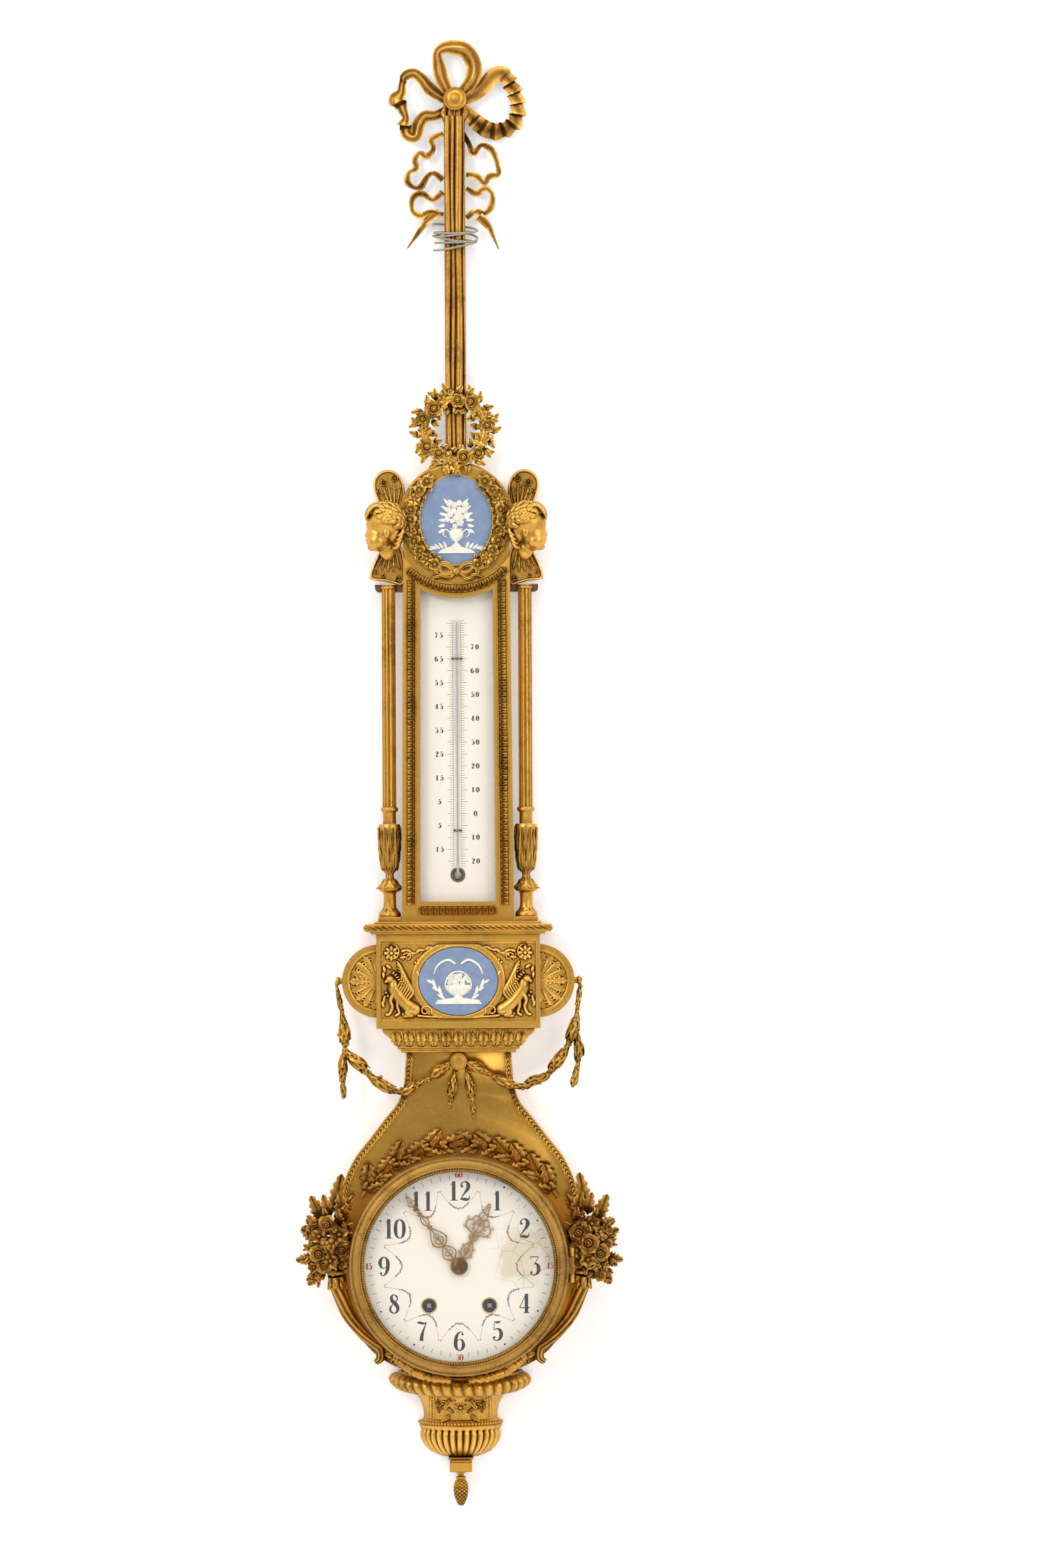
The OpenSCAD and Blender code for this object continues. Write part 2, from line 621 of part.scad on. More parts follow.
// Leaf moulding on the frame: two long strips, the arch over the glass and the strip under it
strip_w = 5.2;
strip_t = 1.6;
arch_tiles = 9;
arch_tile = 8.4;
arch_span = 86;
strip_step = 9.2;
module leaf_tile(wide, len) skin([[-wide / 2, 0, 0], [wide / 2, 0, 0], [-wide / 2, -len, 0], [wide / 2,
    -len, 0],
    [0, -0.3 * len, strip_t], [0, -0.8 * len, 0.6 * strip_t]]);
module leaf_strip(len) for (k = [0:floor(len / strip_step) - 1]) translate([0, -k * strip_step, 0])
    leaf_tile(strip_w, strip_step + seat);
module leaf_moulding() color(dark_gilt) up() {
    tilt = atan((panel_half(panel_z) - panel_half(-77)) / (-77 - panel_z));
    both() translate([(panel_half(-77) + opening_half(-77)) / 2, -62, frame_t]) rotate(tilt)
        leaf_strip(panel_foot - 62 - 12);
    at_head() for (k = [0:arch_tiles - 1]) rotate(270 + arch_span * ((k + 0.5) / arch_tiles - 0.5))
        translate([lip_r - 6.4, arch_tile / 2, frame_t]) leaf_tile(strip_w, arch_tile);
    translate([-(floor(opening_foot_w / strip_step) * strip_step) / 2, opening_z - foot_rail / 2 + 1,
        frame_t])
        rotate(90) leaf_strip(opening_foot_w);
}

// Bevelled glass in front of the scale
module thermometer_glass() color([0.8, 0.9, 0.9, 0.3]) up() frame_pocket(pocket_grow, glass_back,
    glass_face, seat);

// White enamel scale with the hole for the bulb and its brass rim seat
module scale_plate() color(white) up() difference() {
    frame_pocket(board_grow, scale_back, scale_face, seat);
    translate([0, -bulb_drop, 0]) disc(bulb_hole_r, 0, frame_t);
}

// Glass tube with a thin lower stem that turns back through the scale to its bulb
tube_mid = scale_face + tube_r;
thin_r = 1;
thin_z = -180;
bend_r = 3;
thin_mid = scale_face + thin_r + 0.4;
bulb_mid = board_step + bulb_r + 0.4;
module thermometer_tube() color([0.85, 0.88, 0.88, 0.5]) up() {
    translate([0, -tube_top, tube_mid]) rotate([90, 0, 0]) rotate_extrude() polygon([
        [0, 0], [0.5 * tube_r, 0.14 * tube_r], [0.87 * tube_r, 0.5 * tube_r], [tube_r, tube_r],
        [tube_r, -thin_z - tube_top], [0, -thin_z - tube_top]
    ]);
    translate([0, thin_z, thin_mid]) rotate([90, 0, 0]) cylinder(r = thin_r,
        h = bulb_drop + thin_z - bend_r);
    translate([0, -bulb_drop + bend_r, thin_mid - bend_r]) rotate([0, 90, 0]) rotate([0, 0, 180])
        rotate_extrude(angle = 90) translate([bend_r, 0]) circle(r = thin_r);
    translate([0, -bulb_drop, bulb_mid]) cylinder(r = thin_r, h = thin_mid - bend_r - bulb_mid);
    translate([0, -bulb_drop, bulb_mid]) sphere(r = bulb_r);
}

// Two wire ties that hold the tube
tie_r = 0.35;
tie_z = [-118.6, -242.9];
module tube_ties() color([0.2, 0.17, 0.12]) up() for (k = [0:1]) translate([0, tie_z[k], 0]) {
    r = k == 0 ? tube_r : thin_r;
    mid = k == 0 ? tube_mid : thin_mid;
    difference() {
        translate([0, 0, mid]) rotate([90, 0, 0]) difference() {
            cylinder(r = r + fit + 2 * tie_r, h = 2 * tie_r, center = true);
            cylinder(r = r + fit, h = 3, center = true);
        }
        slab(0, scale_face) square(20, center = true);
    }
    for (s = [-1, 1]) translate([s * (r + fit + 2 * tie_r + 0.3), 0, scale_face]) cylinder(r = 0.9,
        h = 2 * tie_r);
}

// Wooden board behind the scale, with the pocket for the bulb
module backing_board() color([0.4, 0.27, 0.15]) up() difference() {
    union() {
        frame_pocket(board_grow, board_level, scale_back, seat);
        frame_pocket(flange_grow, board_level, board_step, seat);
    }
    translate([0, -bulb_drop, 0]) disc(bulb_r + 0.6, board_step, frame_t);
    both() for (z = board_screw_z) translate([opening_half(z) + board_lip, z, 0])
        cylinder(r = screw_r + fit, h = frame_t);
    both() for (z = board_screw_z) translate([opening_half(z) + board_lip, z, board_level - 1])
        cylinder(r = screw_head_r + fit, h = 1);
}

// Oval plaque in the head, with a raised urn and sprays
plaque_back = head_t - 3;
module upper_plaque() color(blue) up() at_head() {
    slab(plaque_back, head_t + 1) polygon(oval(plaque_a, plaque_b));
    slab(head_t + 1, head_t + 2.6) {
        translate([0, -19]) square([26, 3], center = true);
        translate([0, -15.5]) square([8, 5], center = true);
        polygon(concat([[3, -14], [8, -9], [9, -2], [7, 2], [9, 5]], mirrored([[3, -14], [8, -9], [9, -2],
            [7, 2], [9, 5]])));
        for (s = [-1, 1]) translate([s * 5, 10]) circle(r = 3.4);
        translate([0, 13]) circle(r = 4);
    }
}

// Rose garlands round the plaque with their bow
module head_garlands() color(gilt) up() at_head() difference() {
    head_sprays(head_t);
    head_plaque_cut();
}
module head_sprays(level) {
    both() for (k = [0:9]) let (t = -62 + 12.5 * k) translate([(plaque_a + 7.4) * cos(t),
        (plaque_b + 3.6) * sin(t) - 0.6, level]) {
        flower(4.6 + (k % 2) * 0.7, 6 + (k % 3));
        rotate(t + 100) leaf(9, 5, 3.4);
        rotate(t - 70) leaf(8, 4.6, 3.4);
    }
    for (s = [-1, 1]) translate([0, -37.2, level]) {
        rotate(s > 0 ? 30 : 150) leaf(11, 6.4, 5);
        rotate(s > 0 ? -9 : 189) leaf(17, 5, 4);
    }
    translate([0, -37.2, level]) flower(3.4, 6);
}
module head_plaque_cut() slab(0, head_t + 1 + seat) polygon(oval(plaque_a + seat, plaque_b + seat));

// Cherub heads that look outwards
cherub_x = panel_top_w / 2 + 14.8;
cherub_z = -22;
cherub_h = 20;
module ball(x, z, h, r) translate([x, z, h]) sphere(r = r, $fn = hull_fn);
module cherub() difference() {
    translate([cherub_x, cherub_z, cherub_h]) {
        hull() { ball(-3, 2, 0, 11.6); ball(3, -3, 0, 10.4); }
        hull() { ball(4, -9, 0, 8); ball(9, -12, 0, 4); }
        hull() { ball(8, -3, 2, 7); ball(8, -3, -2, 7); }
        hull() { ball(13.6, -5.6, 0, 1.8); ball(12, -1, 0, 1.6); }
        hull() { ball(13.6, -10, 0, 1.7); ball(10, -9, 0, 2.4); }
        hull() { ball(-4, 6, 0, 11.4); ball(4, 7, 0, 9); }
        hull() { ball(8, 7.5, 0, 5.4); ball(14, 4, 0, 2.6); }
        hull() { ball(-9, -6, 0, 6); ball(-8, 3, 0, 8); }
        hull() { ball(-5, -10, 0, 7); ball(-7, -22, -4, 5); }
    }
    frame_envelope();
}
module cherub_left() color(gilt) up() mirror([1, 0, 0]) cherub();
module cherub_right() color(gilt) up() cherub();

// Wings behind and under the heads
wing_t = 3.6;
module wing_blade(pts, low, rise) for (i = [1:len(pts) - 2]) skin([
    for (p = [pts[0], pts[i], pts[i + 1]]) [p[0], p[1], low], for (p = [pts[0], pts[i], pts[i + 1]])
        [p[0] * 0.97 + pts[0][0] * 0.03, p[1] * 0.97 + pts[0][1] * 0.03, low + rise]
]);
upper_wing = [
    [2.3, -16], [-1.2, -2], [-0.7, 8], [2.8, 15], [8.3, 18.2], [14.8, 17.6], [19.9, 13], [21.1, 6],
    [18.3, -4], [13.3, -16]
];
lower_wing = [
    [3.3, -34], [-0.7, -44], [-0.7, -64.3], [6.3, -64.3], [13.3, -62.4], [23.7, -60.6], [21.3, -50],
    [17.3, -42], [13.3, -34]
];
module cherub_wings() color(gilt) up() both() difference() {
    union() {
        translate([panel_top_w / 2, 0, 0]) {
            wing_blade(upper_wing, 4, wing_t);
            wing_blade(lower_wing, 9, wing_t + 5);
        }
    }
    frame_envelope();
    translate([cherub_x, cherub_z, cherub_h]) {
        hull() { ball(-3, 2, 0, 12); ball(3, -3, 0, 11); }
        hull() { ball(-4, 6, 0, 12); ball(4, 7, 0, 9.6); }
        hull() { ball(8, 7.5, 0, 6); ball(14, 4, 0, 3.2); }
        hull() { ball(-9, -6, 0, 6.6); ball(-8, 3, 0, 8.6); }
        hull() { ball(-5, -10, 0, 7.6); ball(-7, -22, -4, 5.6); }
        hull() { ball(4, -9, 0, 8.6); ball(9, -12, 0, 4.6); }
    }
}

// Round shouldered brackets that the columns stand under
column_level = 11;
bracket_h = 5.4;
bracket_out = 59;
module capital_brackets() color([0.3, 0.18, 0.08]) up() both() difference() {
    slab(2, column_level) difference() {
        translate([panel_half(-column_top) + seat, -column_top - bracket_h])
            square([bracket_out - panel_half(-column_top) - seat, bracket_h]);
        translate([bracket_out - 3, -column_top - bracket_h]) difference() {
            translate([0, -1]) square([4, 4]);
            translate([0, 3]) circle(r = 3);
        }
    }
    translate([column_x, -column_top + 1, column_level]) rotate([90, 0, 0])
        cylinder(r = column_r + seat, h = bracket_h + 2);
}

// Fluted shafts
collar_h = 3;
plain_h = 9;
shaft_foot = panel_z + foot_h;
module column_shafts() color(dark_gilt) up() both() translate([column_x, 0, column_level]) rotate([-90, 0,
    0]) {
    translate([0, 0, shaft_foot + collar_h + plain_h])
        linear_extrude(height = -column_top - shaft_foot - collar_h - plain_h) difference() {
            circle(r = column_r);
            for (k = [0:flutes - 1]) rotate(360 * (k + 0.5) / flutes) translate([column_r + 0.1,
                0]) circle(r = 0.75);
        }
    translate([0, 0, shaft_foot + plain_h]) cylinder(r = column_r + 1.2, h = collar_h);
    translate([0, 0, shaft_foot]) cylinder(r = column_r - 0.3, h = plain_h);
}

// Leaf cup, neck, leaf collar, flared foot and square base of each column
base_w = 16.6;
base_h = 3.6;
module column_feet() color(dark_gilt) up() both() translate([column_x, panel_z, column_level]) rotate([-90,
    0, 0]) {
    translate([-base_w / 2, -base_w / 2, 0]) cube([base_w, base_w, base_h]);
    rotate_extrude() polygon([
        [0, base_h - 0.1], [7.8, base_h - 0.1], [7.8, 7], [5.4, 8.5], [4.4, 12], [4.6, 20], [5.2, 21.4],
            [8.3, 22.5],
        [8.3, 25.5], [6.4, 30], [2.8, 31], [2.8, 35.2], [5, 36.6], [7, 40], [8.1, 48], [8.3, 54], [7.4,
            62], [8, 67],
        [7.4, foot_h], [0, foot_h]
    ]);
}

// Box: four walls and a front with a sunk panel and the seat of the lower plaque
field_in = 3.2;
field_edge = 4;
field_t = 1.8;
field_face = box_t - field_t;
medal_back = box_t - box_wall + 0.5;
module box_case() color(gilt) up() translate([0, lobe_z, 0]) difference() {
    slab(0, box_t) square([box_w, box_h], center = true);
    slab(-1, box_t - box_wall) square([box_w - 2 * box_wall, box_h - 2 * box_wall], center = true);
    slab(field_face, box_t + 1) square([box_w - 2 * field_in, box_h - 2 * field_in - field_edge],
        center = true);
    slab(medal_back, box_t + 1) polygon(oval(medal_a + 0.2, medal_b + 0.2));
    slab(0, box_t + 1) polygon(oval(medal_a - 1.2, medal_b - 1.2));
}

// Cornices over and under the box
module box_cornices() color(dark_gilt) up() {
    slab(0, box_t + 1.3) translate([-box_w / 2 - 1.3, panel_z - 1.8]) square([box_w + 2.6, 1.8]);
    slab(0, box_t + 6) translate([-box_w / 2 - cornice_out,
        panel_z - 7.2]) square([box_w + 2 * cornice_out, 5.4]);
    slab(0, box_t + 3.5) translate([-box_w / 2 - 3.8, box_top]) square([box_w + 7.6, cornice_h - 7.2]);
    translate([0, box_z, 0]) slab(0, box_t - 3) polygon(closed_pair([
        [55, 0], [54.4, -3], [50.5, -6], [46.5, -9.5], [44, -12.4], [44, -15], [41.6, -15], [41.6,
            -corbel_h]
    ]));
}

// Side lobes with a fan of petals
lobe_low = 8;
lobe_high = 24;
module side_lobes() color(gilt) up() both() difference() {
    translate([box_w / 2 - 1.4, lobe_z, 0]) {
        disc(lobe_r, lobe_low, lobe_high - 1);
        ring(lobe_r, lobe_r - 2.6, lobe_low, lobe_high + 0.6);
        for (k = [-4:4]) rotate(20 * k) translate([5, 0, 0]) slab(lobe_high - 1, lobe_high + 0.8)
            polygon([[0, 0.6], [9, 2.3], [14, 2], [16, 0], [14, -2], [9, -2.3], [0, -0.6]]);
        disc(7, lobe_high - 1, lobe_high + 1.2);
    }
    translate([-box_w / 2, lobe_z - box_h, 0]) cube([box_w + 2 * seat, 2 * box_h, box_t]);
}

// Lower plaque with a raised wreath and basket
module lower_plaque() color(blue) up() translate([0, lobe_z, 0]) {
    slab(medal_back, box_t + 0.5) polygon(oval(medal_a, medal_b));
    slab(box_t + 0.5, box_t + 2) {
        translate([0, -14]) square([30, 3], center = true);
        polygon(closed_pair([[4, -13], [9, -8], [11, 0], [9, 3]]));
        for (k = [-2:2]) translate([3.6 * k, 5 + 1.5 * (k % 2)]) circle(r = 3);
    }
}

// Relief of winged beasts, scrolls, rosettes and laurel round the plaque
module box_relief() color(gilt) up() translate([0, lobe_z, field_face]) intersection() {
    relief_forms(box_w / 2 - field_in);
    slab(0, 8) square([box_w - 2 * field_in - 2 * seat, box_h - 2 * field_in - field_edge - 2 * seat],
        center = true);
}
module relief_forms(field_w) {
    slab(0, 2.4) difference() { polygon(oval(medal_a + 3.6, medal_b + 3)); polygon(oval(medal_a + 0.3,
        medal_b + 0.3)); }
    both() {
        translate([field_w - 8, 21, 0]) flower(5.4, 2.6);
        bundle([for (k = [0:7]) let (t = 40 * k) [field_w - 8 + 6.6 * cos(t), 21 + 6.6 * sin(t), 0.9,
            0.9]]);
        bundle([[field_w - 15, 19, 1, 1.2], [field_w - 18, 12, 1, 1.4], [field_w - 19, 4, 1, 1]]);
        bundle([[field_w - 5, 6, 1.2, 3], [field_w - 9, 4, 1.6, 3.6], [field_w - 12, -4, 1.6, 4.4],
            [field_w - 14, -14, 1.6, 4.6], [field_w - 21, -21, 1.4, 5], [field_w - 30, -24.6, 1, 2.4]]);
        bundle([[field_w - 9, -8, 1.2, 2.4], [field_w - 5, -20, 1.2, 1.8], [field_w - 3, -25.6, 1.2, 1.8]]);
        bundle([[field_w - 15, -4, 1.4, 3.4], [field_w - 20, 4, 1.4, 2.8], [field_w - 20.4, 12, 1, 1.6]]);
        for (k = [0:4]) translate([4 + 7 * k, 28.2 - 0.35 * k * k, 0]) rotate(150) leaf(6.5, 3.6, 1.8);
        for (k = [0:4]) translate([4 + 7 * k, 28.2 - 0.35 * k * k, 0]) rotate(-20) leaf(6, 3, 1.8);
    }
}

// Laurel garlands from the knobs to the button, their tails and the two drops
swag_left = [
    [-88.5, 0, 16, 2.2], [-85.6, -16, 18, 2.6], [-84, -24, 19, 4.6], [-82.8, -36, 20, 5.2], [-82.1, -47,
        21, 3.6],
    [-78, -54, 23, 5], [-70, -61, 25, 5.4], [-62.9, -69, 26, 5.2], [-50.9, -76.6, 26, 5.2], [-40, -80, 26,
        4.6],
    [-33, -76, 26, 3.4], [-21.1, -70, 26, 4.8], [-9, -61.4, 25.5, 4]
];
swag_right = [
    [88.5, 2, 16, 2.2], [86.4, -16, 18, 2.6], [85.4, -24, 19, 4.4], [83.5, -34, 20, 5], [78.6, -47, 21,
        4.6],
    [70.6, -59, 24, 5.4], [63.8, -68, 26, 5.2], [55, -71.6, 26, 4], [47, -76, 26, 5.2], [36.5, -74.6, 26,
        5],
    [26.9, -70, 26, 3.6], [16, -64, 26, 4.6], [8, -60.6, 25.5, 4]
];
swag_tails = [
    [[-82.1, -47, 21, 3.6], [-83.4, -60, 22, 4.4], [-83.6, -74, 22, 4.2], [-83, -84, 22, 1]],
    [[85, -36, 20, 3.6], [86.6, -50, 21, 4.4], [84.8, -66, 22, 4.2], [82, -77, 22, 1]],
    [[-2, -62, 24.5, 2.6], [-4, -73, 24.5, 4], [-5.6, -84, 24.5, 4], [-6.4, -92, 24, 1]],
    [[5, -62, 24.5, 2.6], [7.6, -74, 24.5, 4], [9.8, -88, 24.5, 4], [10.8, -99, 24, 1]]
];
swag_stretch = (knob_x + 4.6) / swag_right[0][0];
module laurel_garlands() color(dark_gilt) up() difference() {
    translate([0, lobe_z, 0]) for (path = concat([swag_left, swag_right], swag_tails))
        bundle(curve([for (p = path) [p[0] * swag_stretch, p[1], p[2], p[3]]], 2));
    both() translate([knob_x - 1, lobe_z, knob_h]) rotate([0, 90, 0]) cylinder(r = knob_r + seat, h = 7);
    translate([0, garland_button_z, 0]) disc(garland_button_r + seat, case_t, case_t + 14);
    slab(0, box_t + 3.6) translate([-box_w / 2 - 3.8 - seat, box_z + 0.1]) square([box_w + 7.6, box_h]);
}

// Clock case: an open backed shell with a border moulding and the hole behind the drum
module clock_case() color(gilt) up() difference() {
    union() {
        slab(0, case_t) case_outline(0);
        slab(case_t - 1, border_face) difference() { case_outline(0); case_outline(border_w); below_cut(); }
    }
    slab(-1, case_t - case_wall) intersection() {
        case_outline(case_wall);
        translate([-100, urn_top + case_wall]) square([200, case_top - case_wall - urn_top - case_wall]);
    }
    at_dial() disc(drum_r - 2.7, 0, border_face + 1);
    at_dial() for (k = [0:2]) rotate(90 + 120 * k) translate([drum_screw_r, 0, case_t - drum_screw_len])
        cylinder(r = drum_shank_r, h = drum_screw_len + 1);
}
module below_cut() translate([-45, urn_top - 1]) square([90, border_w + 4]);
drum_foot = 2.6;
drum_foot_t = 2;
drum_screw_r = drum_r + drum_wall + drum_foot / 2;
drum_head_r = 1.2;
drum_shank_r = 0.8;
drum_screw_len = drum_foot_t + 1.4;

// Oak sprays over the bezel
oak_r = drum_r + 11.5;
module oak_leaves() color(dark_gilt) up() at_dial() difference() {
    both() {
        bundle([for (k = [0:8]) let (t = 34 + 6.7 * k) [oak_r * cos(t), oak_r * sin(t), border_face + 1.7,
            1.6]]);
        for (k = [0:5]) let (t = 37 + 8.6 * k) rotate(t) translate([oak_r, 0, border_face + seat]) {
            rotate(62 + 10 * (k % 2)) leaf(19, 11, 7);
            translate([0.4, 0, 0.15]) rotate(124) leaf(14, 8, 5.2);
        }
    }
    disc(drum_r + drum_wall + gap, 0, bezel_face);
    disc(drum_r + drum_wall + drum_foot + gap, 0, case_t + drum_foot_t + screw_head_t + gap);
}

// Horns of plenty along the case's lower rim
horn_level = border_face + seat;
horn_mouth = -3.4;
horn_path = [
    [88.6, -10, 6.4], [87.6, -16, 6.2], [85.2, -24, 5.6], [79.8, -38, 4.8], [71.4, -50, 4], [63, -58, 3.6],
    [57.8, -62.6, 4], [57.6, -69, 3.4], [61, -72, 2.2]
];
horn_x = grown([horn_path[0][0], horn_path[0][1]])[0];
module cornucopias() color(dark_gilt) up() at_dial() both() difference() {
    union() {
        bundle(curve([for (p = horn_path) let (q = grown([p[0], p[1]]))
            [q[0], q[1], horn_level + p[2] + 1.9 * max(p[2] - 4, 0), p[2]]],
            3));
        translate([horn_x, horn_mouth - 2, horn_level + 11.6]) rotate([90, 0, 0]) cylinder(r = 7.4, h = 3);
    }
    disc(drum_r + drum_wall + gap, 0, bezel_face);
    slab(0, horn_level) square(400, center = true);
}

// Bouquets of leaves, flowers and fruit that come out of the horns
bouquet_leaves = [
    [90, 34, 100, 34, 13], [83, 26, 80, 26, 12], [97, 26, 60, 26, 12], [101, 14, 35, 18, 11], [104, 2, -10,
        16, 10],
    [80, 16, 140, 16, 10], [102, -8, -50, 14, 10], [84, 34, 120, 16, 9]
];
bouquet_flowers = [
    [86, 20, 7.6, 16], [95, 27, 7, 14], [93, 12, 8.4, 20], [101, 18, 6.6, 14], [84, 8, 7, 17], [101, 6,
        7.4, 17],
    [92, 1, 6.8, 18], [106, 12, 4.6, 11], [97, -3, 6.2, 15], [84.6, -1, 5, 14], [106, 24, 4.4, 10], [104.6,
        -4, 4.8, 12],
    [101, -11, 4.6, 12]
];
module bouquets() color(dark_gilt) up() at_dial() both() difference() {
    translate([0, 2, horn_level]) {
        for (p = bouquet_leaves) translate([each grown([p[0], p[1]]),
            1 + p[0] / 90]) rotate(p[2]) leaf(p[3], p[4], 9);
        for (p = bouquet_flowers) translate([each grown([p[0], p[1]]),
            p[0] / 120]) rotate(3 * p[0]) flower(p[2],
            p[3] + 10);
    }
    disc(drum_r + drum_wall + gap, 0, bezel_face);
    horn_cut();
}
module horn_cut() translate([horn_x, horn_mouth + seat, horn_level + 11.6]) rotate([90, 0, 0])
    cylinder(r = 9.4, h = 24);

// Urn under the clock, turned about a line just behind the wall and cut flat there
urn_axis = 6;
module half_turned() intersection() {
    translate([0, 0, -urn_axis]) rotate([-90, 0, 0]) rotate_extrude() children();
    slab(0, 60) translate([-60, block_z - 10]) square([120, 120]);
}
module urn_rim() color(dark_gilt) up() half_turned() polygon([
    [0, rim_z], [40, rim_z], [rim_r - 5, rim_z + 1.6], [rim_r - 1.4, rim_z + 4], [rim_r, rim_z + 7.4],
    [rim_r - 2, rim_z + 11], [rim_r - 8, urn_top], [0, urn_top]
]);
module urn_bowl() color(dark_gilt) up() {
    half_turned() polygon([
        [0, rim_z], [39, rim_z], [33.6, rim_z - 3], [29.4, rim_z - 8], [27.2, rim_z - 15], [27,
            rim_z - 21], [29, rim_z - 23],
        [30, rim_z - 26], [28.8, rim_z - 29.4], [29.8, rim_z - 33], [28, rim_z - 39], [22, rim_z - 45.4],
        [14, rim_z - 49], [10, bowl_z], [0, bowl_z]
    ]);
    slab(0, block_w) translate([-block_w / 2, block_z]) square([block_w, block_h + 0.5]);
}

// Pine cone finial
module finial() color(dark_gilt) up() translate([0, block_z, block_w / 2]) rotate([90, 0,
    0]) rotate_extrude() polygon([
    [0, 0], [3.6, 0], [2, 2.4], [2.2, 3.2], [3.6, 4], [3.4, 5.2], [finial_r - 0.6, 8], [finial_r, 12],
    [finial_r - 0.7, 17], [finial_r - 2.4, 22], [0, finial_h]
]);

// Crossed branches and the strap between the bezel and the urn
module urn_branches() color(dark_gilt) up() difference() {
    union() {
        both() bundle(curve([for (p = [[49.6, 13.6, 25, 1.8], [44, 9.6, 26, 2.6], [36, 6, 27, 2.6], [24, 3,
            30, 2.2],
            [8, 2.4, 33, 1.6]]) [p[0], urn_top + p[1], p[2], p[3]]], 3));
        both() for (p = [[43, 9, 26, 70], [30, 4, 29, 30]]) translate([p[0], urn_top + p[1], p[2]])
            rotate(p[3]) leaf(10, 5, 4);
        slab(case_t + seat, 40) translate([-8, urn_top]) square([16, 2.2]);
    }
    slab(0, 80) translate([-100, urn_top - 40]) square([200, 40]);
    at_dial() disc(drum_r + drum_wall + drum_foot + seat, 0, drum_front);
    slab(0, case_t + border_t + seat) translate([-100, urn_top - 10]) square([200, 90]);
}

// Drum with a foot on the case, an inner ledge for movement and dial, and the fixed hinge knuckles
ledge_r = drum_r - 6;
module drum() color(gilt) up() at_dial() difference() {
    union() {
        ring(drum_r + drum_wall, drum_r, case_t, drum_front);
        ring(drum_r + drum_wall + drum_foot, drum_r, case_t, case_t + drum_foot_t);
        ring(drum_r + 1, ledge_r, plate_front, drum_front);
        for (s = [-1, 1]) translate([0, s * (knuckle_h / 2 + hinge_gap + 3), 0]) {
            translate([hinge_x, 0, hinge_h]) rotate([90, 0, 0]) cylinder(r = knuckle_r, h = 6,
                center = true);
            translate([drum_r + 1, -3, hinge_h - knuckle_r]) cube([hinge_x - drum_r - 1, 6, 1.9]);
        }
    }
    for (s = [-1, 1]) translate([hinge_x, s * (knuckle_h / 2 + hinge_gap + 3), hinge_h]) rotate([90, 0, 0])
        cylinder(r = pin_r, h = 8, center = true);
    for (k = [0:2]) rotate(90 + 120 * k) translate([drum_screw_r, 0, case_t - 1])
        cylinder(r = drum_shank_r, h = drum_foot_t + 2);
}

// Bezel ring with its hinge knuckle, and the domed glass in its rebate
glass_r = sight_r + 3;
bezel_in = drum_r - 0.6;
glass_seat = bezel_face - 3;
module bezel_ring() color(dark_gilt) up() at_dial() difference() {
    union() {
        rotate_extrude() polygon([
            [bezel_in, bezel_back], [bezel_r, bezel_back], [bezel_r, bezel_face - 4], [bezel_r - 1.2,
                bezel_face - 1.6],
            [bezel_r - 3, bezel_face - 0.8], [bezel_r - 8, bezel_face], [sight_r + 1.4, bezel_face - 0.6],
            [sight_r, bezel_face - 1.8], [sight_r, glass_seat], [bezel_in, glass_seat]
        ]);
        translate([hinge_x, 0, hinge_h]) rotate([90, 0, 0]) cylinder(r = knuckle_r, h = knuckle_h,
            center = true);
        translate([drum_r + 1.4, -knuckle_h / 2, bezel_back]) cube([hinge_x - drum_r - 0.4, knuckle_h, 3]);
    }
    translate([hinge_x, 0, hinge_h]) rotate([90, 0, 0]) cylinder(r = pin_r + fit, h = knuckle_h + 2,
        center = true);
}
module bezel_glass() color([0.85, 0.92, 0.92, 0.25]) up() at_dial() disc(glass_r,
    glass_seat - bezel_glass_t, glass_seat);
module hinge_pin() color(steel) up() at_dial() translate([hinge_x, 0, hinge_h]) rotate([90, 0, 0])
    cylinder(r = pin_r, h = knuckle_h + 2 * hinge_gap + 12, center = true);

// Enamel dial with the hand hole and two winding holes
module dial() color(white) up() at_dial() difference() {
    disc(dial_r, drum_front, dial_face);
    disc(pipe_r + 0.5, 0, bezel_face);
    for (s = [-1, 1]) translate([s * wind_x, -wind_drop, 0]) disc(wind_hole_r, 0, bezel_face);
}

